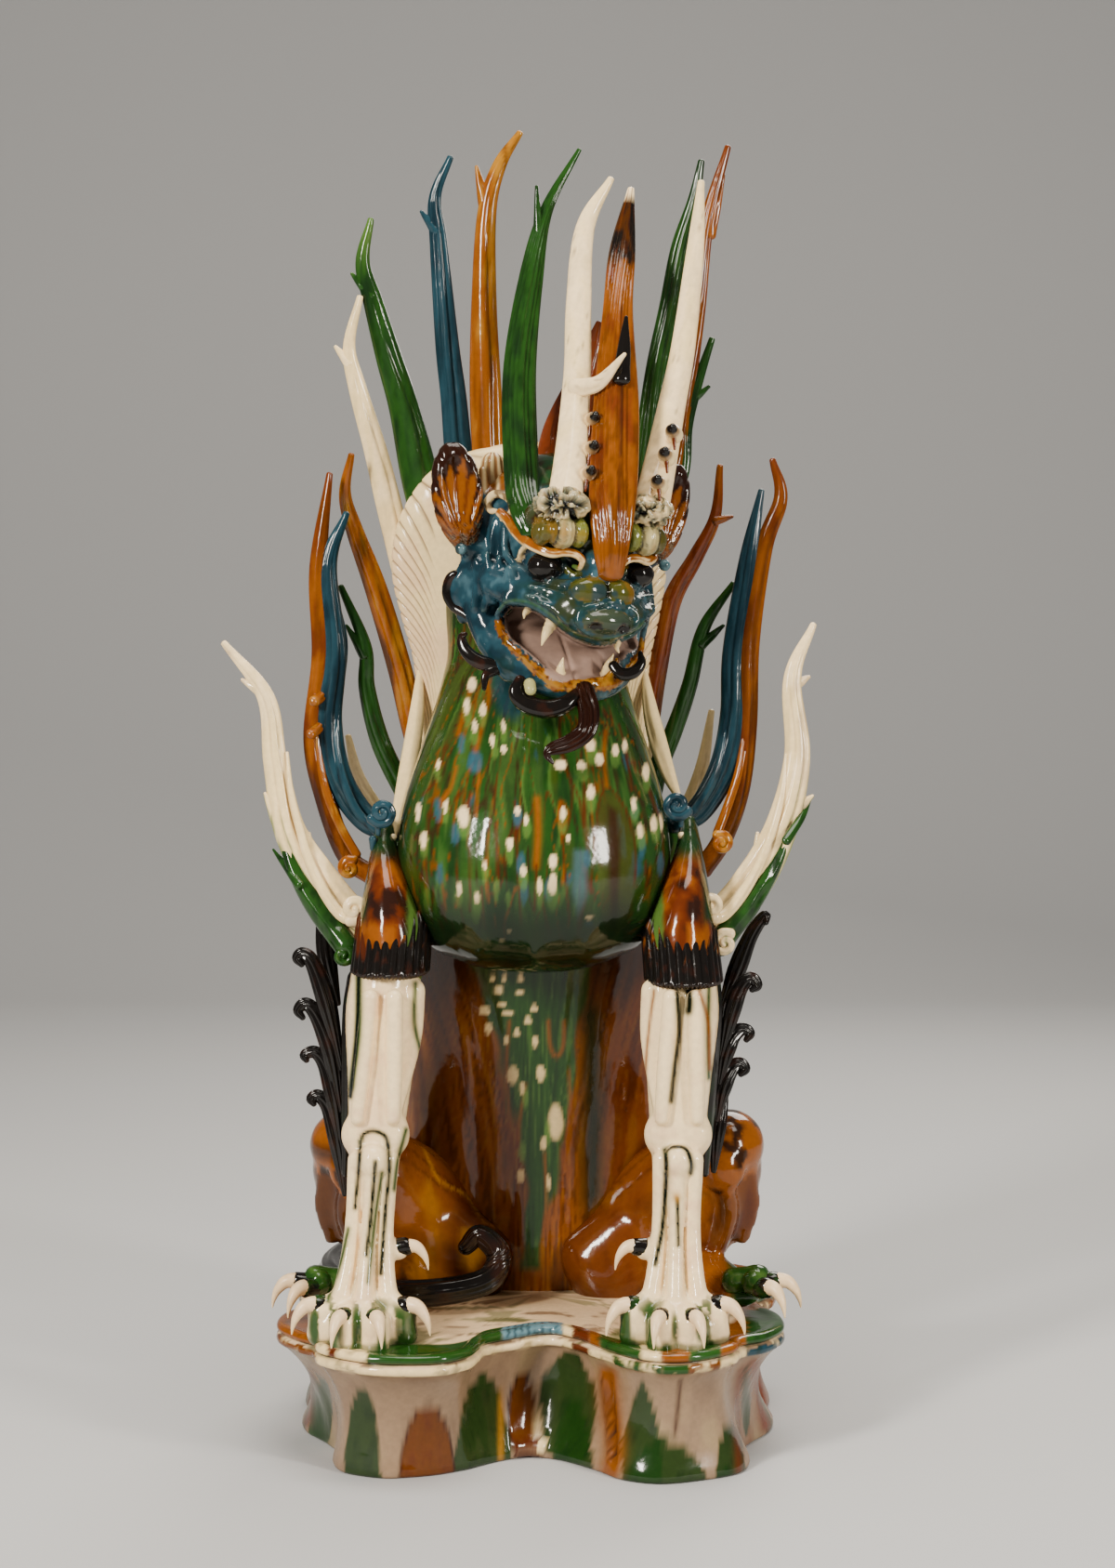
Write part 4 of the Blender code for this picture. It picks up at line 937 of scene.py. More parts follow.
def glaze_legs(skin):
    own, px, py, z = skin.owner, skin.px, skin.py, skin.co[:, 2]
    mottle = rough_lumps(skin.co, 0.012, 2)
    skin.paint(np.full(len(z), 1.0), PALE)
    skin.paint(ramp(mottle, 0.0, 0.6) * 0.45, PINK_CLAY)
    runs = lumps(np.stack([skin.px / 9, skin.px * 0, py / 40], 1), 1.0, 8)
    toes = (own == TOE_CLAY) * ramp(0.124 - z + 0.006 * mottle, 0, 0.012)
    skin.paint(toes * ramp(runs, -0.25, 0.15) * 0.9, GREEN)
    foot = ramp(0.112 - z + 0.014 * runs, 0, 0.01)
    skin.paint(foot * ramp(runs, 0.0, 0.35) * 0.85, GREEN)
    skin.paint(ramp(0.118 - z, 0, 0.03) * ramp(skin.hollow, 0, 0.0002), DEEP_GREEN)
    skin.paint(ramp(0.094 - z + 0.003 * mottle, 0, 0.003) * 0.7, GREEN)
    skin.paint(ramp(skin.hollow, 0.00005, 0.0003) * ramp(0.2 - z, 0, 0.03) * 0.45, LEAF_GREEN * 0.6)
    pooled(skin, 0.5, 0.1, 0.00025)
    green_runs = (
        (3.0, (386, 1050), (386, 1110), (378, 1170)),
        (2.2, (447, 1058), (446, 1100), (453, 1135), (452, 1160)),
        (1.8, (411, 1262), (404, 1310), (396, 1380)),
        (2.0, (375, 1322), (366, 1360), (352, 1400)),
        (2.2, (437, 1215), (428, 1250), (424, 1280)),
        (2.0, (763, 1062), (762, 1120), (763, 1160)),
    )
    for width, *route in green_runs:
        skin.paint(skin.line(width * 1.9, *route) * 0.5, LEAF_GREEN)
        skin.paint(skin.line(width, *route), GREEN * 0.8)
    dark_runs = (
        (1.7, (386, 1050), (384, 1110), (377, 1180)),
        (1.6, (388, 1228), (392, 1220), (402, 1217), (414, 1222), (418, 1235), (419, 1260), (415, 1300),
            (410, 1370)),
        (1.4, (388, 1228), (386, 1258), (382, 1300)),
        (1.5, (404, 1250), (399, 1310), (394, 1350)),
        (1.7, (729, 1068), (731, 1110), (726, 1150), (722, 1185)),
        (2.6, (740, 1062), (742, 1078), (741, 1088)),
        (1.8, (716, 1238), (717, 1260), (713, 1320), (705, 1360)),
        (1.5, (716, 1238), (724, 1234), (738, 1236), (744, 1252), (743, 1262)),
        (1.3, (729, 1290), (730, 1340)),
    )
    for width, *route in dark_runs:
        skin.paint(skin.line(width * 2.2, *route) * 0.35, LEAF_GREEN)
        skin.paint(1.3 * skin.line(width * 1.5, *route), DEEP_GREEN * 0.3)
    for width, *route in ((2.0, (704, 1066), (698, 1110), (694, 1160)),
        (2.5, (752, 1064), (762, 1100), (764, 1150))):
        skin.paint(skin.line(width, *route) * 0.9, AMBER)
    skin.paint(near(px, 728, 8) * near(py, 1288, 10) * 0.8 * ramp(skin.facing, 0, 0.3), HONEY)


def claw(root, heading, size=1.0, droop=1.0):
    """A hooked, pale claw out of a dark collar of thick glaze, leaving its root along heading."""
    ahead = Vector((math.sin(heading), -math.cos(heading), 0))
    root = Vector(root)
    hook = ((0.0, 0.0, 0.0062), (0.007, 0.0022, 0.0068), (0.015, 0.001, 0.0056), (0.0215, -0.006, 0.0036))
    hook += ((0.0245, -0.0135, 0.0018), (0.0255, -0.0195, 0.0006))
    stations = [(*(root + size * (ahead * out + UP * rise * droop)), half * size) for out, rise, half in hook]
    made = strand(stations, facing=ahead.cross(UP), sides=14, steps=5)
    made.colour[:] = PALE * 0.6 + PINK_CLAY * 0.36
    made.paint(0.5 * ramp(made.along, 0.5, 1.0), CREAM)
    made.paint(0.6 * ramp(0.35 - made.along, 0, 0.3), CREAM * 0.8)
    made.dry[:] = 0.35
    collar = [(*(root - ahead * 0.003), 0.0088 * size), (*(root + ahead * 0.003 + UP * 0.001), 0.0084 * size)]
    ring = strand(collar, facing=ahead.cross(UP), sides=16, steps=3)
    ring.co += 0.0009 * rough_lumps(ring.co, 0.005, 5)[:, None] * np.array([1, 1, 1])
    ring.colour[:] = BLACK
    ring.paint(ramp(lumps(ring.co, 0.006, 3), 0.2, 0.5) * 0.7, GREEN)
    return [made, ring]


def claws():
    made = []
    for side in (-1, 1):
        for degrees, height, size in FRONT_CLAWS:
            heading = side * math.radians(degrees)
            ahead = Vector((math.sin(heading), -math.cos(heading), 0))
            made += claw(Vector((leg_middle(side, 0.1), -0.124, height)) + ahead * 0.03, heading, size)
        thumb = leg_stations(side, [(-0.023, -0.118, 0.148)])[0]
        made += claw(thumb, side * math.radians(-78), 0.72)
        for degrees, height, size in HIND_CLAWS:
            heading = side * math.radians(degrees)
            ahead = Vector((math.sin(heading), -math.cos(heading), 0))
            ankle = Vector((side * 0.148, -0.06, height))
            toe = [(*(ankle - ahead * 0.01), 0.0085), (*(ankle + ahead * 0.004 + UP * 0.003), 0.0092)]
            toe = strand(toe + [(*(ankle + ahead * 0.012), 0.0082)], sides=14, steps=5, form=knuckles)
            toe.colour[:] = GREEN
            toe.paint(ramp(lumps(toe.co, 0.006, 4), 0.1, 0.5) * 0.6, LEAF_GREEN)
            made += [toe] + claw(ankle + ahead * 0.016, heading, size)
    return made


def knuckles(along, turns):
    return 1 + 0.1 * math.cos(along * 9) + 0.05 * np.cos(turns * 5)


# The head, shaped in millimetres: to the beast's side, forwards and up from the middle of the skull

(FACE, NOSE, BROW, LOBE, BURR, MOUTH, LIP, EYE, LID, TONGUE, EAR, CHEEK_KNOB) = range(1, 13)
HEAD_PLACE = (
    Matrix.Translation(HEAD_CENTRE) @ Matrix.Rotation(HEAD_TURN, 4, "Z") @ Matrix.Rotation(HEAD_ROLL, 4, "Y")
)


def mm(*stations):
    """Stations of the head, sideways, forwards, up and one or two half widths, from millimetres."""
    return [(s[0] / 1000, -s[1] / 1000, *(n / 1000 for n in s[2:])) for s in stations]


def pair(stations, side):
    return [(side * s[0], *s[1:]) for s in stations]


# Rolls and ridges of the face, as the camera sees them: places in the picture, half widths in millimetres.
UPPER_LIP = (
    (534, 668, 2.2), (537, 658, 2.4), (545, 650, 2.5), (558, 648, 2.5), (574, 652, 2.5), (589, 661, 2.5),
    (604, 673, 2.5), (619, 683, 2.6), (634, 688, 2.6), (650, 690, 2.6), (666, 688, 2.6), (681, 682, 2.4),
    (693, 671, 2.2),
)
LOWER_LIP = (
    (536, 664, 2.2), (539, 678, 2.6), (547, 691, 2.8), (561, 704, 3.0), (577, 719, 3.1), (589, 731, 3.2),
    (598, 738, 3.3), (612, 739, 3.3), (626, 736, 3.2), (640, 734, 3.2), (651, 732, 3.0), (659, 723, 2.6),
    (664, 710, 2.2),
)
OPEN_MOUTH = (
    (544, 661), (551, 655), (562, 655), (576, 660), (590, 669), (604, 680), (619, 690), (633, 695),
        (649, 697),
    (664, 694), (672, 690), (668, 704), (660, 718), (650, 727), (640, 728), (626, 730), (612, 733),
        (600, 731),
    (592, 723), (581, 711), (566, 698), (552, 688), (546, 676),
)
FACE_RIDGES = (
    ((520, 506, 3.5), (521, 540, 4.0), (518, 575, 4.0), (516, 594, 3.0)),
    ((533, 560, 2.4), (530, 580, 3.0), (529, 600, 3.0)),
    ((513, 602, 2.6), (514, 630, 3.2), (511, 654, 2.6)),
    ((524, 596, 2.6), (527, 624, 3.4), (521, 656, 3.0)),
    ((537, 600, 2.4), (540, 628, 3.0), (532, 648, 2.4)),
    ((549, 614, 4.5), (551, 630, 5.0), (546, 645, 4.0)),
    ((570, 631, 2.2), (598, 638, 2.4), (612, 646, 2.4), (619, 654, 1.8)),
    ((567, 641, 2.0), (584, 646, 2.2), (598, 655, 2.2), (612, 668, 1.8)),
    ((579, 648, 1.8), (591, 652, 1.8), (601, 660, 1.8), (611, 671, 1.6)),
    ((543, 567, 2.4), (545, 597, 2.8), (561, 613, 2.8), (577, 625, 2.6), (600, 626, 2.6), (620, 626, 2.2)),
)
NOSE_ROLLS = (
    ((622, 668, 2.6), (625, 659, 2.8), (632, 654, 2.8), (641, 652, 2.2)),
    ((674, 653, 2.2), (682, 657, 2.6), (686, 665, 2.8), (681, 674, 2.6), (671, 679, 2.2)),
    ((622, 668, 2.6), (628, 678, 2.4), (640, 684, 2.2), (655, 685, 2.2), (668, 682, 2.2), (676, 677, 2.0)),
    ((641, 651, 1.6), (650, 649, 1.8), (657, 651, 1.5), (664, 649, 1.8), (672, 652, 1.6)),
)
BROW_ROUTE = (
    (538, 551, 3.0), (547, 560, 3.3), (556, 573, 3.5), (567, 583, 3.5), (580, 590, 3.4), (594, 595, 3.2),
    (607, 594, 2.9), (619, 596, 2.7), (627, 603, 2.4), (624, 611, 2.0), (617, 609, 1.3),
)
BROW_CURL = (
    (541, 558, 2.2), (550, 552, 2.7), (551, 541, 3.0), (543, 533, 3.0), (532, 532, 3.0), (525, 540, 2.8),
    (528, 549, 2.4), (536, 550, 1.6),
)
# Teeth: base, tip and half width at the base.
TEETH = (
    ((594, 670), (583, 694), 4.6), ((568, 656), (564, 665), 2.6), ((603, 731), (606, 708), 4.6),
    ((653, 725), (660, 704), 4.4), ((664, 692), (666, 702), 2.6),
)


def head():
    """The head's clay, and the brows and teeth that are rolled on to it."""
    clay = Clay((-0.096, -0.15, 0.508), (0.122, 0.045, 0.7), 0.00136, HEAD_PLACE)
    inward = HEAD_PLACE.inverted()

    def tube(owner, stations, blend=3.0, facing=UP, carve=False, steps=4):
        clay.tube(owner, mm(*stations), facing, blend / 1000, steps, carve)

    def ball(owner, centre, radii, blend=3.0, carve=False):
        x, forward, z = centre
        wide, long, tall = radii
        clay.ball(owner, (x / 1000, -forward / 1000, z / 1000), (wide / 1000, long / 1000, tall / 1000),
            blend / 1000, carve)

    def laid(route, lift, proud=False):
        """Stations along the clay that the camera sees, evened out. A proud one clears its neighbours."""
        depths = np.array([clay.seen(a, d).y for a, d, _ in route])
        if proud:
            sides = [[clay.seen(a, d + gap).y for a, d, _ in route] for gap in (-5, 5)]
            depths = np.minimum(depths, np.mean(sides, 0))
            padded = np.concatenate([depths[:1], depths, depths[-1:]])
            depths = np.minimum(depths, 0.5 * (padded[:-2] + padded[2:]) - 0.001)
        for _ in range(2):
            padded = np.concatenate([depths[:1], depths, depths[-1:]])
            depths = 0.25 * padded[:-2] + 0.5 * depths + 0.25 * padded[2:]
        return [(*spot(a, d, y - lift / 1000), half / 1000) for (a, d, half), y in zip(route, depths)]

    def mirrored(stations):
        local = [inward @ Vector(s[:3]) for s in stations]
        return [(*(HEAD_PLACE @ Vector((-p.x, p.y, p.z))), s[3]) for p, s in zip(local, stations)]

    def roll(owner, stations, blend):
        clay.tube(owner, stations, FRONT, blend / 1000, 4, place=STILL)

    # Skull, muzzle and jaw, the mouth still shut
    ball(FACE, (0, 4, 20), (58, 56, 56), 6)
    ball(FACE, (0, 46, 22), (46, 44, 34), 14)
    tube(FACE, ((0, 20, -10, 52, 28), (0, 55, -20, 46, 22), (0, 80, -32, 37, 19), (0, 90, -38, 30, 15)), 12)
    for side in (-1, 1):
        tube(FACE, pair(((50, 0, 4, 14), (54, 6, -24, 14), (50, 16, -50, 13), (38, 34, -76, 11)), side), 10)
        tube(FACE, pair(((54, 14, -10, 11), (52, 34, -20, 11), (46, 50, -24, 10), (36, 66, -28, 9)), side), 8)
        tube(FACE, pair(((48, 22, -58, 10), (36, 42, -79, 8), (20, 53, -88, 6.5), (0, 58, -90, 6)), side), 6)
    tube(FACE, ((0, 10, -70, 40, 20), (0, 34, -82, 32, 11), (0, 46, -86, 24, 6)), 8)
    ball(FACE, (0, 26, -58), (50, 42, 32), 8)
    ball(FACE, (0, 60, -52), (30, 24, 24), 8)

    # Deep eyes, barrel-shaped lobes and the crumbled burrs that carry the horns
    for side in (-1, 1):
        ball(FACE, (side * 30, 66, 27), (19, 23, 13), 4)
        ball(FACE, (side * 37, 84, -6), (18, 13, 12), 3, True)
        ball(EYE, (side * 34.5, 70, -6.5), (12, 11.5, 10), 0.6)
        ball(LOBE, (side * 42.5, 80, 16.5), (6.5, 11, 10), 1.0)
        ball(LOBE, (side * 31.0, 88, 17.0), (10, 12, 12), 1.0)
        ball(LOBE, (side * 19.5, 89, 17.0), (6.5, 11, 10.5), 1.0)
        ball(BURR, (side * 31.5, 86, 35), (18.5, 17, 11.5), 1.0)
    ball(FACE, (0, 88, -4), (14, 12, 16), 4)

    # Nose: two low swells over a broad tip
    ball(NOSE, (-11.5, 95, -21.5), (14.0, 9.0, 9.5), 3)
    ball(NOSE, (9.5, 96, -21.5), (12.0, 9.0, 9.5), 3)
    ball(NOSE, (0, 100, -41), (19, 11, 8.5), 2)
    for route in NOSE_ROLLS:
        roll(FACE, laid(route, 1.5), 1.2)
    for side in (-1, 1):
        ball(EYE, (side * 10.5, 110, -46), (4.4, 6, 3.4), 1.2, True)
    for route in FACE_RIDGES:
        stations = laid(route, 0.9)
        roll(FACE, stations, 1.6)
        roll(FACE, mirrored(stations), 1.6)

    lips = laid(UPPER_LIP, 0.8), laid(LOWER_LIP, 0.6)
    brow, curl = laid(BROW_ROUTE, 3.4, True), laid(BROW_CURL, 1.5, True)
    roots = [clay.seen(*root) for root, _, _ in TEETH]

    # The mouth, cut out as it is seen, and its far corner
    clay.cut(MOUTH, OPEN_MOUTH, -0.052)
    tube(MOUTH, ((52, 30, -50, 7, 7), (40, 48, -52, 8, 11), (28, 58, -58, 9, 13)), 2, carve=True,
        facing=FRONT)
    tube(MOUTH, ((52, 60, -50, 7, 7), (40, 70, -52, 8, 11), (28, 74, -58, 9, 13)), 2, carve=True,
        facing=FRONT)
    roll(FACE, lips[0], 1.6)
    roll(LIP, lips[1], 1.2)
    tube(FACE, ((58, 34, -48, 2.6), (56, 42, -40, 2.6), (52, 52, -35, 2.6), (44, 61, -34, 2.6),
        (36, 70, -38, 2.4)), 2)
    tube(LIP, ((58, 34, -52, 2.6), (52, 43, -62, 2.8), (40, 51, -74, 3.0), (28, 57, -82, 3.0),
        (14, 60, -85, 3.0)), 2)
    tube(TONGUE, ((-3, 12, -52, 34, 12), (-3, 34, -66, 32, 8), (-2, 48, -77, 27, 5), (0, 54, -82, 20, 4)), 3)
    lid = laid(((559, 604, 1.9), (561, 593, 2.3), (569, 586, 2.4), (580, 584, 2.0)), 0.2)
    fold = laid(((606, 603, 2.2), (611, 613, 2.6), (620, 619, 2.4), (628, 611, 2.0)), 0.5)
    for stations, owner in ((lid, LID), (fold, NOSE)):
        roll(owner, stations, 0.8)
        roll(owner, mirrored(stations), 0.8)

    # Ears: leaves hollowed in front
    for side in (-1, 1):
        tilt = Matrix.Rotation(math.radians(side * 12), 4, "Y") @ Matrix.Rotation(math.radians(side * 14),
            4, "Z")
        tube(FACE, pair(((52, 0, 0, 10), (66, 8, 6, 9), (77, 12, 14, 7)), side), 4)
        clay.ball(EAR, (side * 0.079, -0.014, 0.04), (0.0182, 0.01, 0.037), 0.002, False, tilt)
        clay.ball(EAR, (side * 0.0795, -0.0245, 0.043), (0.0148, 0.0075, 0.0315), 0.0012, True, tilt)
        ball(CHEEK_KNOB, (side * 77, 22, 3), (4.6, 4.6, 4.6), 1.0)
        tube(FACE, pair(((64, 4, -4, 5), (70, 0, -24, 5), (64, 0, -44, 4)), side), 3)

    rolls = []
    for stations in (brow, mirrored(brow)):
        one = strand([(*s, s[3] * 0.85) for s in stations], sides=22, steps=10, form=brow_form)
        one.measure()
        fine = rough_lumps(one.co, 0.004, 8)
        high = one.normal[:, 2] + 0.25 * fine
        one.colour[:] = AMBER * 1.1
        one.paint(ramp(-high, -0.1, 0.25), CREAM * 0.8 + HONEY * 0.2)
        one.paint(ramp(fine, 0.1, 0.4) * 0.4, HONEY)
        one.paint(ramp(one.along, 0.8, 0.95), LEAF_GREEN * 0.6)
        pooled(one, 0.8, 0.2, 0.0001, HONEY)
        rolls.append(one)
    for stations in (curl, mirrored(curl)):
        one = strand(stations, sides=16, steps=8)
        one.measure()
        one.colour[:] = CREAM * 0.85
        one.paint(ramp(rough_lumps(one.co, 0.005, 8), 0.05, 0.3) * 0.8, BROWN * 1.5)
        rolls.append(one)
    for (root, tip, half), met in zip(TEETH, roots):
        out = 0.003 if half > 3 else 0.001
        base = spot(*root, met.y + 0.003)
        middle = spot(0.5 * (root[0] + tip[0]) - 1.2, 0.5 * (root[1] + tip[1]), met.y + 0.001 - out)
        end = spot(*tip, met.y - out)
        width = half / 1000
        one = strand([(*base, width), (*middle, width * 0.62), (*end, 0.0005)], sides=14, steps=8,
            form=tooth_form)
        one.measure()
        one.colour[:] = CREAM * 0.9
        one.paint(ramp(0.3 - one.along, 0, 0.2) * 0.6, RAW_CLAY * 1.2)
        pooled(one, 0.6, 0.1, 0.0001)
        rolls.append(one)
    return clay.skin(), rolls


def brow_form(along, turns):
    """Two cords side by side."""
    return 1.0 - 0.22 * np.exp(-(((turns - math.pi / 2) / 0.22) ** 2)) + 0.05 * np.cos(turns * 2)


def tooth_form(along, turns):
    return 1.0 + (0.1 * math.cos(along * 40) if along < 0.35 else 0.0) + 0.0 * turns


def head_places(skin):
    """Vertices in millimetres of the head: sideways, forwards and up."""
    inside = HEAD_PLACE.inverted()
    local = skin.co @ np.array(inside.to_3x3()).T + np.array(inside.translation)
    return local[:, 0] * 1000, -local[:, 1] * 1000, local[:, 2] * 1000


def sculpt_head(skin):
    """Fine grooves and crags that the cells are too coarse for."""
    x, forward, z = head_places(skin)
    own = skin.owner
    skin.relax(5, 0.5)
    skin.measure()
    crag = rough_lumps(skin.co, 0.0045, 31)
    skin.along = crag
    skin.push((own == BURR) * (0.0012 - 0.006 * ramp(crag, -0.06, 0.14) + 0.0012 * lumps(skin.co, 0.003, 4)))
    skin.push((own == NOSE) * -0.0028 * near(x, 0, 1.8) * ramp(z, -30, -27))
    skin.push((own == LOBE) * -0.0008 * ramp(np.cos(np.abs(x) * 1.6), 0.6, 1.0))
    skin.push((own == TONGUE) * -0.0014 * near(x + 2, 0, 2.5))
    toward = np.arctan2(np.abs(x) - 74, z - 2)
    skin.push((own == EAR) * -0.0008 * ramp(np.cos(toward * 40), 0.2, 0.9) * ramp(forward, 4, 8))


def glaze_head(skin):
    own = skin.owner
    x, forward, z = head_places(skin)
    mottle = rough_lumps(skin.co, 0.01, 3)
    fine = rough_lumps(skin.co, 0.004, 8)
    skin.paint(np.ones(len(x)), TEAL)
    skin.paint(ramp(mottle, -0.1, 0.35) * 0.75, DEEP_BLUE)
    skin.paint(ramp(-mottle, 0.2, 0.5) * 0.3, PALE_BLUE)
    skin.paint(ramp(forward, 50, 72) * ramp(-z, 8, 22) * ramp(fine, -0.6, 0.2) * 0.85,
        DEEP_GREEN * 0.9 + TEAL * 0.25)
    skin.paint(ramp(forward, 62, 84) * ramp(mottle, 0.0, 0.25) * 0.6, OLIVE * 0.6)
    skin.paint(ramp(-z, 60, 76) * ramp(fine, -0.3, 0.3) * 0.5, DEEP_GREEN)
    forehead = (own == FACE) * ramp(forward, 52, 64) * ramp(z, 2, 8)
    skin.paint(forehead * 0.85, OLIVE * 0.7)
    skin.paint(forehead * ramp(mottle, 0.05, 0.35) * 0.8, BROWN)
    socket = (own == FACE) * np.maximum(near(np.abs(x), 36, 17), 0) * near(z, -5, 15) * ramp(forward, 50, 60)
    skin.paint(socket * 0.8, BLACK)
    nose = (own == NOSE).astype(float)
    skin.paint(nose, OLIVE * 1.0)
    skin.paint(nose * ramp(mottle, 0.0, 0.3) * 0.8, TEAL * 0.7)
    skin.paint(nose * ramp(-z, 30, 34) * 0.9, TEAL * 0.35 + OLIVE * 0.5)
    skin.paint(nose * ramp(-mottle, 0.2, 0.5) * 0.6, HONEY * 0.5)
    skin.paint(nose * near(x, 0, 1.8) * ramp(z, -30, -27), BLACK)
    lobe = (own == LOBE).astype(float)
    across = np.abs(x)
    skin.paint(lobe, CREAM * 0.5 + LEAF_GREEN * 0.35)
    skin.paint(lobe * ramp(across, 36, 38), OLIVE + BROWN * 0.8)
    skin.paint(lobe * near(across, 33.5, 4) * ramp(mottle, -0.4, 0.2) * 0.6, HONEY * 0.6)
    skin.paint(lobe * ramp(25 - across, 0, 1.5), LEAF_GREEN * 0.7 + HONEY * 0.25)
    skin.paint(lobe * ramp(mottle, 0.15, 0.4) * 0.35, HONEY * 0.8)
    skin.paint(lobe * np.maximum(near(across, 25, 1.3), near(across, 37, 1.3)), BLACK)
    skin.paint(lobe * ramp(z, 23, 27) * 0.7, OLIVE * 0.7)
    burr = (own == BURR).astype(float)
    skin.paint(burr, CREAM * 0.7 + HONEY * 0.05)
    skin.paint(burr * ramp(fine, -0.1, 0.3) * 0.55, BROWN * 1.4 + HONEY * 0.1)
    skin.paint(burr * ramp(skin.along, -0.05, 0.08), BLACK)
    skin.paint(burr * near(skin.along, -0.08, 0.06) * 0.6, HONEY * 0.6)
    skin.paint((own == LID).astype(float), CREAM * 0.9)
    skin.paint((own == LID) * ramp(fine, 0.0, 0.3) * 0.5, BROWN)
    skin.paint((own == CHEEK_KNOB).astype(float), PALE_BLUE * 0.8)
    skin.paint((own == CHEEK_KNOB) * ramp(mottle, 0, 0.2), DEEP_BLUE)
    top = ramp(z, 44, 54) * (own == FACE)
    skin.paint(top * 0.9, GREEN * 0.8)
    skin.paint(top * ramp(mottle, 0.1, 0.4) * 0.7, BROWN)
    ear = (own == EAR).astype(float)
    reach = np.hypot((np.abs(x) - 80) / 18, (z - 40) / 37)
    toward = np.arctan2(np.abs(x) - 74, z - 2)
    skin.paint(ear, AMBER * 0.9)
    skin.paint(ear * ramp(np.cos(toward * 40) + fine, 0.1, 0.8) * 0.75, RUST)
    skin.paint(ear * ramp(reach + 0.3 * fine + 0.2 * np.cos(toward * 40) + ramp(z, 34, 66) * 0.4, 0.7,
        0.95) * ramp(z, 8, 24), BROWN * 0.6)
    skin.paint(ear * ramp(-forward, -8, -3) * 0.9, BROWN)
    pooled(skin, 0.88, 0.45, 0.0001, PALE_BLUE * 0.5 + LEAF_GREEN * 0.4)
    skin.paint(skin.line(1.5, *[(a, d - 2) for a, d, _ in UPPER_LIP[1:]]) * 0.4 * (own == FACE),
        LEAF_GREEN * 0.8)
    mouth = (own == MOUTH) | (own == TONGUE)
    skin.paint(mouth.astype(float), RAW_CLAY * 0.85)
    skin.paint((own == TONGUE) * 0.6, RAW_CLAY * 1.1)
    skin.paint(mouth * ramp(mottle, 0, 0.5) * 0.3, RAW_CLAY * 1.3)
    skin.paint((own == MOUTH) * ramp(fine, 0.2, 0.5) * 0.4, BROWN)
    skin.dry[:] = mouth * 0.9
    lip = (own == LIP).astype(float)
    skin.paint(lip, HONEY * 0.8)
    skin.paint(lip * ramp(fine, -0.2, 0.2) * 0.85, AMBER * 0.9)
    skin.paint(lip * ramp(rough_lumps(skin.co, 0.003, 44), 0.1, 0.35) * 0.8, BROWN)
    skin.paint((own == EYE) * 1.0, BLACK)
    collar = skin.patch(4, (515, 500), (530, 496), (546, 504), (548, 528), (530, 532),
        (516, 528)) * (own == FACE)
    skin.paint(collar * 0.9, AMBER)
    skin.paint(skin.line(2.2, (521, 504), (522, 530)) * collar, CREAM * 0.8)
    skin.paint(skin.line(1.8, (535, 504), (536, 528)) * collar, CREAM * 0.7)


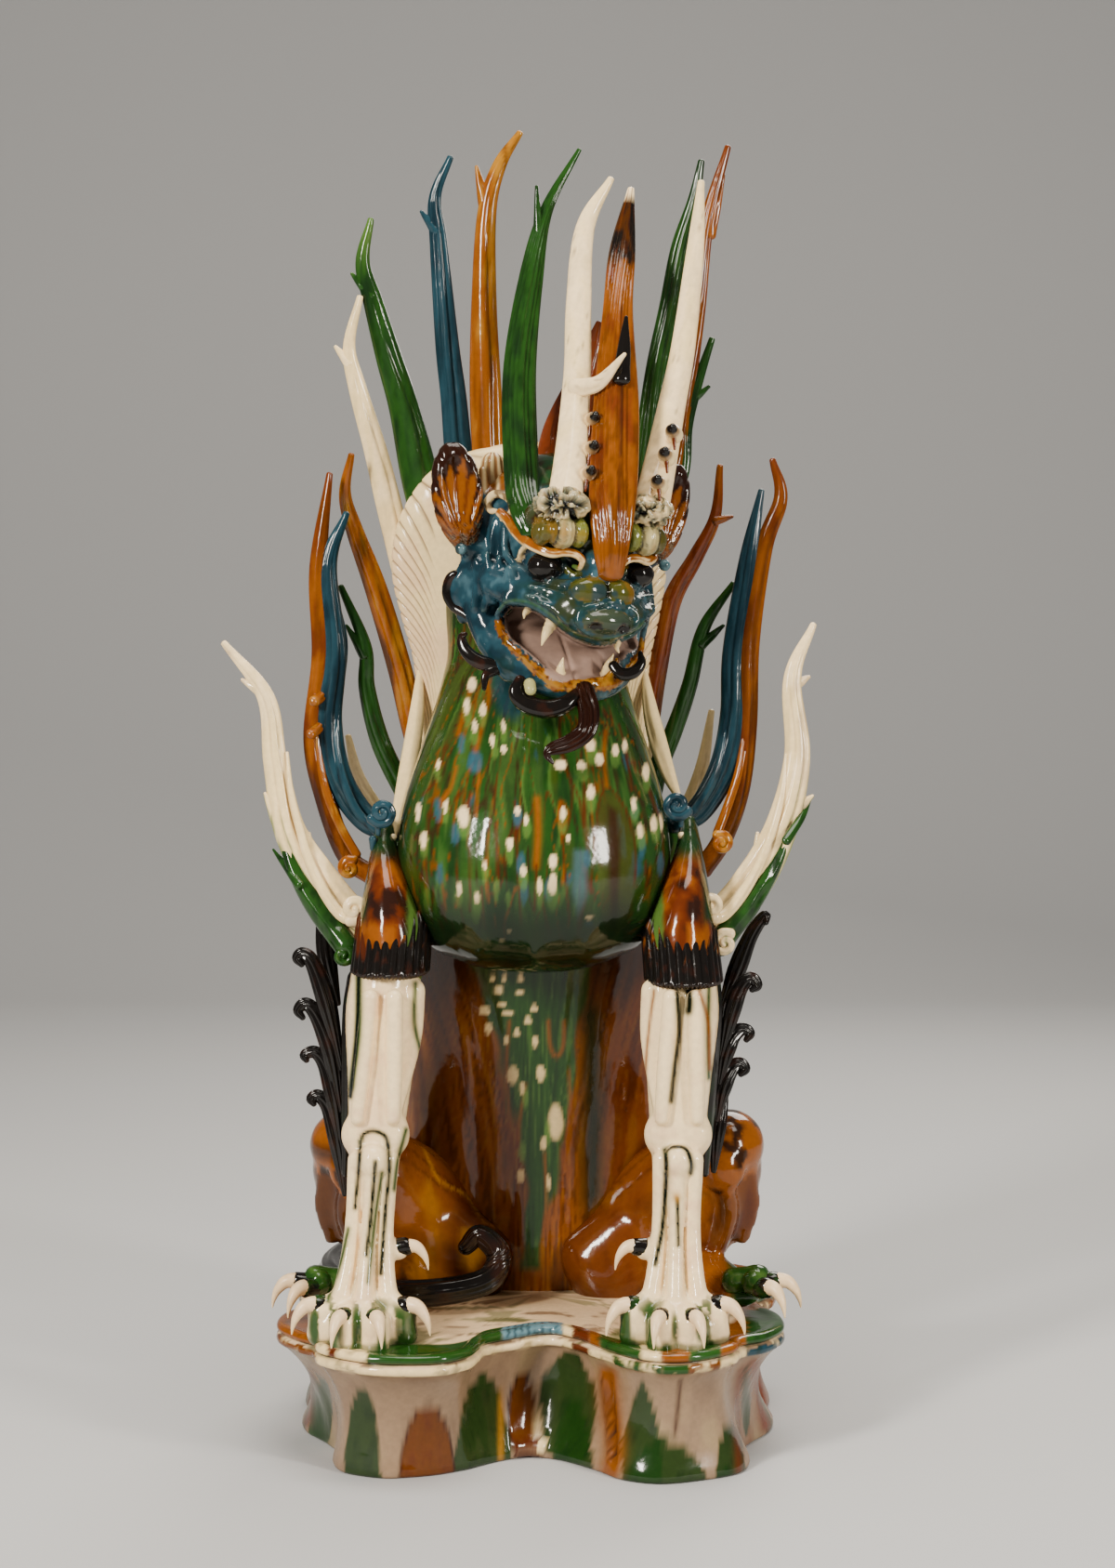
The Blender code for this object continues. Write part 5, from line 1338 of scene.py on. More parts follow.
# Flames and horns. A station is x, y, z, half width, and each is FLAME_DEPTH times as deep as it is wide.
FLAME_DEPTH = 0.62
TIP = 0.0022
FLAMES = {
    "cream crown": (
        (-0.094, 0.045, 0.6, 0.009), (-0.107, 0.042, 0.656, 0.009), (-0.117, 0.039, 0.696, 0.008),
        (-0.13, 0.036, 0.742, 0.0062), (-0.135, 0.033, 0.771, 0.0042), (-0.127, 0.03, 0.805, TIP),
    ),
    "left green crown": (
        (-0.076, 0.036, 0.64, 0.013), (-0.085, 0.038, 0.679, 0.013), (-0.096, 0.038, 0.726, 0.0105),
        (-0.107, 0.036, 0.762, 0.009), (-0.118, 0.034, 0.802, 0.0068), (-0.125, 0.032, 0.83, 0.005),
        (-0.119, 0.03, 0.86, TIP),
    ),
    "blue crown": (
        (-0.05, 0.03, 0.65, 0.01), (-0.056, 0.034, 0.69, 0.0098), (-0.06, 0.034, 0.732, 0.009),
        (-0.065, 0.034, 0.772, 0.0082), (-0.071, 0.034, 0.845, 0.006), (-0.073, 0.032, 0.876, 0.0042),
        (-0.062, 0.03, 0.904, TIP),
    ),
    "amber crown": (
        (-0.032, 0.018, 0.65, 0.0105), (-0.036, 0.02, 0.725, 0.0112), (-0.038, 0.02, 0.797, 0.0088),
        (-0.036, 0.02, 0.862, 0.0066), (-0.027, 0.02, 0.896, 0.0048), (-0.012, 0.02, 0.92, TIP),
    ),
    "middle green crown": (
        (-0.003, -0.104, 0.634, 0.007), (-0.007, -0.098, 0.65, 0.01), (-0.01, -0.08, 0.674, 0.0115),
        (-0.012, -0.05, 0.745, 0.011), (-0.004, -0.026, 0.812, 0.0082), (0.007, -0.007, 0.862, 0.0044),
        (0.03, 0.0, 0.905, TIP * 0.7),
    ),
    "crest": (
        (0.05, -0.121, 0.606, 0.0085), (0.051, -0.122, 0.63, 0.0125), (0.052, -0.113, 0.662, 0.0155),
        (0.054, -0.085, 0.72, 0.015), (0.056, -0.058, 0.786, 0.01), (0.06, -0.033, 0.831, 0.0086),
        (0.066, -0.02, 0.875, TIP),
    ),
    "crest ridge": (
        (0.031, -0.016, 0.644, 0.033), (0.03, -0.008, 0.703, 0.026), (0.035, -0.003, 0.743, 0.013),
        (0.044, 0.0, 0.784, TIP),
    ),
    "left horn": (
        (0.019, -0.118, 0.652, 0.0112), (0.024, -0.098, 0.688, 0.0104), (0.028, -0.068, 0.743, 0.009),
        (0.029, -0.048, 0.792, 0.0084), (0.034, -0.027, 0.847, 0.0064), (0.052, -0.02, 0.882, TIP),
    ),
    "right horn": (
        (0.078, -0.098, 0.65, 0.0118), (0.084, -0.078, 0.676, 0.011), (0.093, -0.058, 0.721, 0.0092),
        (0.102, -0.042, 0.766, 0.008), (0.111, -0.026, 0.833, 0.0058), (0.115, -0.02, 0.88, TIP),
    ),
    "right green crown": (
        (0.074, 0.014, 0.65, 0.01), (0.078, 0.01, 0.681, 0.01), (0.085, 0.008, 0.747, 0.0082),
        (0.094, 0.006, 0.796, 0.0072), (0.101, 0.004, 0.836, 0.0062), (0.111, 0.002, 0.87, 0.0042),
        (0.116, 0.0, 0.897, TIP),
    ),
    "back amber crown": (
        (0.08, 0.03, 0.64, 0.01), (0.097, 0.04, 0.686, 0.0095), (0.105, 0.04, 0.739, 0.0085),
        (0.114, 0.04, 0.799, 0.007), (0.122, 0.04, 0.859, 0.005), (0.137, 0.04, 0.913, TIP),
    ),
    "small green crown": (
        (0.088, 0.034, 0.64, 0.006), (0.104, 0.04, 0.679, 0.0055), (0.107, 0.04, 0.713, 0.005),
        (0.114, 0.04, 0.739, 0.004), (0.126, 0.04, 0.776, TIP),
    ),
    "left neck amber": (
        (-0.08, 0.048, 0.46, 0.0085), (-0.09, 0.046, 0.495, 0.0085), (-0.1, 0.044, 0.538, 0.0085),
        (-0.117, 0.038, 0.596, 0.0078), (-0.132, 0.032, 0.639, 0.006), (-0.138, 0.026, 0.665, 0.0042),
        (-0.133, 0.02, 0.692, TIP),
    ),
    "left neck green": (
        (-0.085, 0.03, 0.43, 0.007), (-0.098, 0.03, 0.453, 0.007), (-0.114, 0.028, 0.487, 0.0068),
        (-0.123, 0.025, 0.525, 0.0058), (-0.124, 0.022, 0.556, 0.0045), (-0.141, 0.02, 0.598, TIP),
    ),
    "right neck amber": (
        (0.08, 0.044, 0.49, 0.0075), (0.087, 0.04, 0.537, 0.0072), (0.097, 0.035, 0.587, 0.0068),
        (0.114, 0.03, 0.619, 0.0055), (0.128, 0.025, 0.648, 0.004), (0.131, 0.02, 0.684, TIP),
    ),
    "right neck green": (
        (0.08, 0.03, 0.43, 0.007), (0.087, 0.03, 0.464, 0.007), (0.099, 0.028, 0.495, 0.0062),
        (0.11, 0.025, 0.528, 0.0055), (0.12, 0.022, 0.568, 0.0045), (0.141, 0.02, 0.6, TIP),
    ),
    "left blue": (
        (-0.1, 0.0, 0.425, 0.008), (-0.122, 0.001, 0.432, 0.009), (-0.142, 0.003, 0.462, 0.0095),
        (-0.149, 0.005, 0.502, 0.009), (-0.145, 0.007, 0.552, 0.0082), (-0.149, 0.008, 0.612, 0.0062),
        (-0.136, 0.01, 0.65, TIP),
    ),
    "left amber": (
        (-0.118, -0.004, 0.392, 0.007), (-0.136, 0.0, 0.406, 0.007), (-0.151, 0.003, 0.445, 0.0072),
        (-0.16, 0.005, 0.489, 0.0072), (-0.154, 0.007, 0.549, 0.007), (-0.156, 0.009, 0.612, 0.0062),
        (-0.148, 0.011, 0.678, TIP),
    ),
    "right blue": (
        (0.096, 0.0, 0.43, 0.008), (0.116, 0.001, 0.438, 0.009), (0.133, 0.003, 0.468, 0.0098),
        (0.14, 0.005, 0.506, 0.0092), (0.141, 0.007, 0.552, 0.0082), (0.151, 0.008, 0.618, 0.0062),
        (0.16, 0.01, 0.666, TIP),
    ),
    "right amber": (
        (0.118, -0.004, 0.396, 0.007), (0.133, 0.0, 0.418, 0.007), (0.145, 0.003, 0.453, 0.007),
        (0.15, 0.005, 0.499, 0.007), (0.152, 0.007, 0.559, 0.0068), (0.162, 0.009, 0.625, 0.006),
        (0.174, 0.01, 0.661, 0.0048), (0.168, 0.011, 0.688, TIP),
    ),
    "left small white": (
        (-0.088, 0.018, 0.404, 0.007), (-0.112, 0.028, 0.43, 0.0062), (-0.129, 0.03, 0.459, 0.0045),
        (-0.137, 0.03, 0.49, TIP),
    ),
    "right small white": (
        (0.096, 0.028, 0.41, 0.0065), (0.11, 0.03, 0.44, 0.0058), (0.12, 0.03, 0.471, 0.0045),
        (0.126, 0.03, 0.508, TIP),
    ),
    "left white": (
        (-0.11, -0.045, 0.35, 0.01), (-0.13, -0.037, 0.366, 0.0125), (-0.153, -0.03, 0.39, 0.0135),
        (-0.175, -0.025, 0.426, 0.0108), (-0.185, -0.02, 0.474, 0.0082), (-0.192, -0.015, 0.52, 0.006),
        (-0.222, -0.01, 0.558, TIP),
    ),
    "right white": (
        (0.108, -0.045, 0.346, 0.01), (0.127, -0.037, 0.362, 0.0125), (0.15, -0.03, 0.386, 0.0135),
        (0.172, -0.025, 0.427, 0.0112), (0.184, -0.02, 0.478, 0.0088), (0.181, -0.015, 0.533, 0.006),
        (0.196, -0.01, 0.571, TIP),
    ),
}

# Short side tongues of the flames: root, tip and half width at the root.
TONGUES = (
    ((-0.135, 0.034, 0.758), (-0.145, 0.033, 0.77), 0.004),
    ((-0.119, 0.033, 0.806), (-0.133, 0.033, 0.822), 0.0045),
    ((-0.072, 0.033, 0.852), (-0.083, 0.032, 0.866), 0.0042),
    ((-0.037, 0.02, 0.868), (-0.043, 0.02, 0.896), 0.0045),
    ((0.001, -0.014, 0.84), (0.0, -0.01, 0.878), 0.0034),
    ((0.026, -0.078, 0.732), (0.06, -0.1, 0.754), 0.0066),
    ((0.058, -0.088, 0.738), (0.0615, -0.076, 0.781), 0.006),
    ((0.124, 0.04, 0.85), (0.134, 0.042, 0.893), 0.0045),
    ((0.112, 0.04, 0.732), (0.124, 0.04, 0.742), 0.0032),
    ((-0.124, 0.022, 0.548), (-0.137, 0.02, 0.57), 0.004),
    ((0.118, 0.022, 0.556), (0.134, 0.02, 0.57), 0.004),
    ((0.128, 0.024, 0.645), (0.14, 0.022, 0.648), 0.0035),
    ((-0.195, -0.014, 0.524), (-0.209, -0.012, 0.532), 0.0045),
    ((-0.182, -0.024, 0.43), (-0.192, -0.024, 0.452), 0.005),
    ((-0.16, -0.028, 0.404), (-0.161, -0.026, 0.424), 0.0045),
    ((0.182, -0.014, 0.528), (0.193, -0.012, 0.534), 0.0045),
    ((0.182, -0.022, 0.44), (0.195, -0.022, 0.45), 0.005),
    ((0.156, -0.028, 0.402), (0.156, -0.026, 0.424), 0.0045),
)

# The glaze of each flame: its own colour, the colour it turns to in patches, and the colour of its tip.
FLAME_GLAZES = {
    "cream crown": (CREAM, PALE, CREAM),
    "left green crown": (GREEN, DEEP_GREEN, LEAF_GREEN),
    "blue crown": (TEAL * 0.9, DEEP_BLUE, TEAL),
    "amber crown": (AMBER, HONEY, HONEY),
    "middle green crown": (GREEN * 0.85, DEEP_GREEN, GREEN),
    "crest": (AMBER * 0.9, RUST * 1.2, BLACK),
    "crest ridge": (RUST * 1.3, BROWN * 2, BLACK),
    "left horn": (PALE * 0.95, CREAM, CREAM),
    "right horn": (PALE * 0.95, CREAM, CREAM),
    "right green crown": (GREEN * 0.8, DEEP_GREEN, DEEP_GREEN),
    "back amber crown": (AMBER, RUST, RUST),
    "small green crown": (GREEN, DEEP_GREEN, GREEN),
    "left neck amber": (AMBER * 1.1, HONEY, AMBER),
    "left neck green": (GREEN * 0.9, DEEP_GREEN, GREEN),
    "right neck amber": (RUST * 1.3, AMBER, AMBER),
    "right neck green": (GREEN * 0.9, DEEP_GREEN, GREEN),
    "left blue": (TEAL * 0.9, DEEP_BLUE, TEAL),
    "left amber": (AMBER, RUST, RUST * 1.2),
    "right blue": (TEAL * 0.9, DEEP_BLUE, TEAL),
    "right amber": (AMBER, RUST, RUST * 1.2),
    "left small white": (CREAM, PALE, CREAM),
    "right small white": (CREAM, PALE, CREAM),
    "left white": (CREAM, PALE, PALE),
    "right white": (CREAM, PALE, PALE),
}
SIDE_FLAMES = ("left blue", "left amber", "right blue", "right amber", "left small white",
    "right small white")
SIDE_FLAMES += ("left white", "right white", "left neck amber", "left neck green", "right neck amber")
SIDE_FLAMES += ("right neck green",)


def dent(turns, where, width, depth):
    """How a section shrinks at a groove that runs along it."""
    gap = np.abs((turns - where + math.pi) % (2 * math.pi) - math.pi)
    return depth * np.exp(-((gap / width) ** 2))


def flame_form(grooves):
    def form(along, turns):
        share = 1.0 + 0.05 * np.cos(turns * 4) + 0.03 * np.sin(turns * 3 + 9 * along)
        fade = min(1.0, 6 * along, 4 * (1 - along))
        sway = 0.25 * math.sin(7 * along + 3 * grooves[0][0] if grooves else 0)
        for where, width, depth in grooves:
            where = where + sway
            share = share - fade * (dent(turns, where, width, depth) + dent(turns, -where, width, depth))
        return share

    return form


ONE_GROOVE = ((math.pi / 2 + 0.35, 0.14, 0.34),)
TWO_GROOVES = ((math.pi / 2 - 0.5, 0.13, 0.26), (math.pi / 2 + 0.5, 0.13, 0.26))
MANY_GROOVES = tuple((math.pi / 2 + turn, 0.11, 0.2) for turn in (-1.0, -0.6, -0.2, 0.25, 0.7, 1.05))
RIDGES = tuple((math.pi / 2 + turn, 0.12, 0.22) for turn in (-1.1, -0.8, -0.5, -0.2, 0.1, 0.4, 0.7, 1.0))
GROOVES = {"middle green crown": MANY_GROOVES, "crest": RIDGES, "crest ridge": MANY_GROOVES}
GROOVES |= {"left white": TWO_GROOVES, "right white": TWO_GROOVES}
GROOVES |= {"left horn": (), "right horn": (), "blue crown": TWO_GROOVES + ONE_GROOVE,
    "left blue": TWO_GROOVES}
GROOVES |= {"right blue": TWO_GROOVES, "right green crown": TWO_GROOVES, "back amber crown": TWO_GROOVES}


def streak_of(made, seed):
    return rough_lumps(made.co, (0.004, 0.004, 0.06), seed + 90)


def glaze_flame(made, name, seed):
    made.measure()
    base, patch, tip = FLAME_GLAZES[name]
    made.colour[:] = base
    mottle = rough_lumps(made.co, (0.009, 0.009, 0.03), seed)
    made.paint(ramp(mottle, 0.0, 0.45) * 0.85, patch)
    made.paint(ramp(-mottle, 0.2, 0.6) * 0.3, base * 1.35)
    if name == "crest":
        made.paint(ramp(made.co[:, 2] + 0.01 * mottle, 0.818, 0.824), BLACK)
        made.paint(ramp(made.co[:, 2], 0.866, 0.87), PALE)
        made.paint(near(made.turn, 0.3, 0.035) * ramp(made.co[:, 2], 0.63, 0.66) * ramp(mottle, -0.4,
            0) * 0.85, BROWN)
        made.paint(near(made.turn, 0.12, 0.05) * ramp(mottle, -0.2, 0.2) * 0.7, RUST)
    else:
        made.paint(ramp(made.along, 0.72, 0.97) * 0.8, tip)
    if name == "blue crown":
        made.paint(near(made.turn, 0.52, 0.07) * ramp(made.along, 0.15, 0.25) * ramp(0.8 - made.along, 0,
            0.1), AMBER)
    if "white" in name and "small" not in name:
        side = 1 if made.co[0, 0] > 0 else -1
        outer = ramp(side * made.normal[:, 0] - 0.6 * made.normal[:, 2], 0.62, 0.85)
        made.paint(outer * ramp(0.47 - made.co[:, 2] + 0.02 * mottle, 0, 0.02) * 0.8, LEAF_GREEN)
        thin = ramp(rough_lumps(made.co, (0.02, 0.02, 0.05), 61), 0.25, 0.4)
        made.paint(thin * ramp(made.co[:, 2], 0.4, 0.44) * 0.4, RAW_CLAY)
    if "amber" in name:
        made.paint(near(made.turn, 0.34, 0.05) * ramp(streak_of(made, seed), -0.3, 0.1) * 0.7, BROWN)
    if "horn" in name:
        made.paint(ramp(0.685 - made.co[:, 2] + 0.01 * mottle, 0, 0.02) * ramp(mottle, -0.1, 0.2) * 0.5,
            HONEY)
        made.paint(ramp(rough_lumps(made.co, 0.003, 71), 0.42, 0.5) * 0.5, BROWN)
    streak = streak_of(made, seed)
    made.paint(ramp(streak, 0.15, 0.5) * 0.5, patch)
    made.paint(ramp(-streak, 0.05, 0.4) * (0.2 if base[0] > 0.5 else 0.6), base * 0.4)
    edge = PALE if base[0] > 0.5 else base * 1.6 + 0.015
    pooled(made, 0.85, 0.35, 0.00012, edge)


def flames(names):
    made = []
    for seed, name in enumerate(names):
        stations = [(*s, s[3] * FLAME_DEPTH) for s in FLAMES[name]]
        form = flame_form(GROOVES.get(name, ONE_GROOVE))
        sides, steps = (48, 12) if name in GROOVES and GROOVES[name] else (28, 11)
        sides = 72 if name in ("crest", "middle green crown") else sides
        one = strand(stations, sides=sides, steps=steps, form=form)
        glaze_flame(one, name, seed)
        made.append(one)
    for seed, (root, tip, half) in enumerate(TONGUES):
        owner = min(FLAMES, key=lambda n: min((Vector(s[:3]) - Vector(root)).length for s in dense(n)))
        if owner not in names:
            continue
        middle = [0.5 * (a + b) for a, b in zip(root, tip)]
        middle[2] -= 0.007 if half > 0.006 else 0
        stations = [(*root, half, half * 0.7), (*middle, half * 0.72, half * 0.5), (*tip, 0.0012, 0.001)]
        one = strand(stations, sides=18, steps=8, form=flame_form(ONE_GROOVE))
        glaze_flame(one, owner, seed + 40)
        if owner == "crest":
            one.colour[:] = BLACK
        made.append(one)
    return made


def dense(name):
    return smooth_route(FLAMES[name], 5)


def scroll(at, y, radius, start, turns, half, colours, spin=1):
    """A rolled end: a strand that winds in to its own middle, at a place in the picture."""
    centre = np.array(spot(*at, y))
    stations = []
    for share in np.linspace(0, 1, 13):
        angle = math.radians(start) + spin * share * turns * 2 * math.pi
        reach = radius * (1 - 0.85 * share)
        place = centre + reach * np.array([math.cos(angle), 0, math.sin(angle)]) + np.array([0,
            -0.003 * share, 0])
        size = half * (1 - 0.45 * share)
        stations.append((*place, size, size * 0.9))
    made = strand(stations, sides=18, steps=5, form=flame_form(ONE_GROOVE))
    made.measure()
    mottle = rough_lumps(made.co, 0.008, 7)
    made.colour[:] = colours[0]
    made.paint(ramp(mottle, 0, 0.4) * 0.8, colours[1])
    pooled(made, 0.7, 0.3, 0.0002, colours[0] * 1.4)
    return made


def ribbed(count, depth):
    return lambda along, turns: 1 - depth * (0.5 + 0.5 * np.cos(turns * count + 2.0 * along))


def hair(route, y, halves, colour=BLACK, ribs=7, depth=0.22, sides=28, steps=8, edge=None):
    """A ribbed lock through places in the picture, its half widths given in millimetres."""
    depths = y if isinstance(y, (list, tuple)) else [y] * len(route)
    widths = np.interp(np.linspace(0, 1, len(route)), np.linspace(0, 1, len(halves)), halves) / 1000
    stations = [(*spot(*at, d), w, w * 0.8) for at, d, w in zip(route, depths, widths)]
    made = strand(stations, sides=sides, steps=steps, form=ribbed(ribs, depth))
    made.measure()
    made.colour[:] = colour
    made.paint(ramp(rough_lumps(made.co, 0.008, 3), 0.1, 0.5) * 0.6, BROWN if edge is None else edge)
    pooled(made, 0.6, 0.4, 0.0002, colour * 2.2 + 0.015)
    return made


def locks():
    """Curling black hair down the back of each front leg."""
    made = []
    left = (
        ((364, 1080), (352, 1030), (349, 985), (352, 955), (344, 939), (336, 946)),
        ((368, 1150), (352, 1080), (337, 1037), (326, 1026), (320, 1031), (325, 1038)),
        ((367, 1195), (356, 1130), (341, 1092), (329, 1080), (321, 1087), (326, 1095)),
        ((368, 1240), (360, 1180), (350, 1145), (339, 1132), (328, 1135), (330, 1141)),
        ((371, 1285), (364, 1228), (354, 1192), (343, 1179), (335, 1182), (338, 1188)),
    )
    right = (
        ((776, 1085), (792, 1045), (806, 1010), (817, 992), (824, 985), (824, 993)),
        ((776, 1135), (786, 1090), (797, 1062), (808, 1052), (815, 1060), (809, 1065)),
        ((774, 1165), (781, 1130), (790, 1113), (800, 1107), (807, 1112), (803, 1119)),
        ((771, 1205), (777, 1170), (787, 1150), (796, 1144), (802, 1150), (797, 1156)),
        ((768, 1260), (772, 1215), (777, 1190), (781, 1175)),
    )
    for route in left + right:
        deep = 0.03 if route in (left[0], right[0]) else 0.0
        depths = [y + deep for y in (-0.06, -0.056, -0.052, -0.05, -0.05, -0.052)[: len(route)]]
        made.append(hair(route, depths, (2, 7.0, 5.8, 4.8, 3.8, 2.2), ribs=9, depth=0.26, sides=42, steps=6))
    for side in (-1, 1):
        strip = [(leg_middle(side, z) + side * 0.021, -0.062 + 0.2 * (0.3 - z) * -0.3, z) for z in (0.325,
            0.3, 0.25, 0.19)]
        one = strand([(*s, w, w * 1.5) for s, w in zip(strip, (0.007, 0.009, 0.007, 0.003))], sides=28,
            steps=8, form=ribbed(8, 0.16))
        one.colour[:] = BLACK
        one.paint(ramp(rough_lumps(one.co, 0.01, 3), 0.1, 0.4) * 0.7, GREEN * 0.5)
        made.append(one)
    return made


def cuffs():
    """A thin fluted band under each brown shoulder, its top running up in points and its foot scalloped."""
    made = []
    columns, rows = 240, 26
    turns = 2 * math.pi * np.arange(columns) / columns
    for side in (-1, 1):
        lift = 0.0 if side < 0 else -0.006
        count = 26
        share = (turns / (2 * math.pi) * count) % 1.0
        rank = np.floor(turns / (2 * math.pi) * count)
        height = 0.5 + 0.5 * lumps(np.stack([rank * 1.7, rank * 0, rank * 0], 1), 1.0, 5 + side)
        top = 0.362 + lift + 0.012 * height + 0.006 * np.cos(share * 2 * math.pi)
        foot = 0.329 + lift + 0.0016 * np.cos(share * 2 * math.pi) ** 2
        flute = np.exp(-(((share - 0.5) / 0.16) ** 2))
        rings = []
        for row in range(rows):
            part = row / (rows - 1)
            z = foot + (top - foot) * part
            arm = (0.385 - z) / 0.033
            middle_x = side * (0.0975 + 0.0025 * arm)
            middle_y = -0.046 - 0.016 * arm
            edge = min(1.0, part / 0.08) ** 0.5
            thick = -0.0035 + 0.0062 * edge * (1 - 0.35 * part) - 0.0016 * flute * min(1, part * 6)
            thick = np.where(part > 0.86, thick - (part - 0.86) * 0.025, thick)
            wide = 0.0266 - 0.0009 * arm + thick
            deep = 0.0365 - 0.0014 * arm + thick
            x = middle_x + wide * np.cos(turns)
            rings.append(np.stack([x, middle_y + deep * np.sin(turns), z], 1))
        one = loft(rings)
        one.measure()
        one.colour[:] = BLACK
        fine = rough_lumps(one.co, (0.003, 0.003, 0.012), 5)
        one.paint(ramp(fine, 0.15, 0.45) * 0.6, BROWN)
        one.paint(ramp(fine, 0.2, 0.4) * ramp(one.along, 0.45, 0.75) * 0.8, AMBER)
        one.paint(ramp(lumps(one.co, 0.012, 9), 0.3, 0.5) * ramp(one.along, 0.3, 0.5) * 0.6, RUST)
        pooled(one, 0.6, 0.3, 0.0002, BROWN * 2)
        made.append(one)
    return made


TAIL = (
    (0.0, 0.15, 0.128, 0.014, 0.014),
    (-0.06, 0.148, 0.11, 0.013, 0.013),
    (-0.126, 0.108, 0.102, 0.011, 0.011),
    (-0.15, 0.04, 0.101, 0.01, 0.01),
    (-0.14, -0.016, 0.101, 0.01, 0.01),
    (-0.112, -0.048, 0.101, 0.01, 0.01),
    (-0.072, -0.058, 0.103, 0.01, 0.01),
    (-0.036, -0.052, 0.11, 0.0095, 0.0095),
    (-0.027, -0.046, 0.127, 0.009, 0.009),
    (-0.04, -0.042, 0.14, 0.008, 0.008),
    (-0.05, -0.042, 0.132, 0.006, 0.006),
)


def tail():
    made = strand(TAIL, facing=UP, sides=40, steps=14, form=ribbed(9, 0.13))
    made.measure()
    made.colour[:] = BLACK
    made.paint(ramp(rough_lumps(made.co, 0.02, 5), 0.2, 0.5) * 0.5, BROWN)
    pooled(made, 0.5, 0.4, 0.0002, BROWN * 1.6)
    return [made]


def whiskers():
    """Black curls round the jaw and a ribbed beard."""
    made = [
        hair(((627, 742), (634, 765), (630, 787), (612, 800), (594, 806), (589, 813), (595, 821)),
             (-0.09, -0.098, -0.105, -0.109, -0.111, -0.112, -0.112), (7.5, 7.6, 7.0, 6.0, 4.6, 2.6, 1.0),
                 BROWN * 0.55, 11, 0.3, 66),
        hair(((512, 626), (497, 619), (486, 622), (483, 638), (489, 652), (500, 660), (508, 668)),
             (-0.06, -0.06, -0.058, -0.056, -0.058, -0.062, -0.066), (2, 3.6, 4.6, 5.2, 4.2, 3.2, 1.5),
                 BLACK, 4, 0.1),
        hair(((548, 716), (530, 716), (512, 710), (500, 698), (497, 686), (501, 682)),
             (-0.078, -0.082, -0.082, -0.08, -0.078, -0.078), (3.5, 5.4, 5.4, 4.4, 3.2, 1.6), BLACK, 4, 0.1),
        hair(((548, 720), (532, 722), (523, 727), (521, 741)), (-0.08, -0.084, -0.086, -0.088),
            (3, 3.6, 3.2, 1.6), BLACK, 3, 0.1),
        hair(((560, 732), (556, 745), (566, 757), (588, 763), (608, 758), (622, 746)),
             (-0.094, -0.096, -0.097, -0.098, -0.097, -0.092), (4.5, 6.2, 7.0, 7.0, 6.2, 4.5), BLACK, 4,
                 0.12),
        hair(((660, 716), (669, 725), (681, 724), (690, 714), (689, 702)),
             (-0.08, -0.082, -0.082, -0.08, -0.078), (4.0, 4.8, 4.6, 3.6, 1.6), BLACK, 4, 0.1),
    ]
    collar = hair(((530, 497), (530, 512), (533, 530)), -0.04, (8.5, 9.5, 9.0), CREAM * 0.75, 10, 0.14, 60,
        edge=AMBER)
    collar.paint(ramp(np.cos(collar.turn * 2 * math.pi * 10), 0.0, 0.6) * 0.8, AMBER)
    made.append(collar)
    bead = strand([(*spot(570, 736, -0.101), 0.0042), (*spot(571, 742, -0.103), 0.004)], sides=14, steps=4)
    bead.colour[:] = LEAF_GREEN * 0.7 + CREAM * 0.35
    return made + [bead]


def knobs():
    """Dark-tipped knobs down the inner side of each horn, glaze running from under them."""
    made = []
    places = ((640, 450, -0.088), (639, 481, -0.1), (636, 508, -0.11), (723, 463, -0.082), (715, 488, -0.091))
    for across, down, y in places + ((707, 518, -0.1),):
        out = 6 if across < 680 else -3
        stations = [(*spot(across - out, down + 5, y + 0.005), 0.006),
            (*spot(across - 0.3 * out, down + 1, y - 0.001), 0.0052)]
        stations += [(*spot(across, down - 1, y - 0.006), 0.004),
            (*spot(across + 1, down - 4, y - 0.009), 0.0024)]
        one = strand(stations, sides=18, steps=5)
        one.colour[:] = CREAM
        one.paint(ramp(one.along, 0.3, 0.5) * 0.7, RUST)
        one.paint(ramp(one.along, 0.55, 0.7), BLACK)
        made.append(one)
        drip = [(*spot(across - 0.7 * out, down + 6, y - 0.0018), 0.0016),
            (*spot(across - out, down + 20, y - 0.003), 0.0009)]
        one = strand(drip, sides=10, steps=5)
        one.colour[:] = RUST
        made.append(one)
    return made


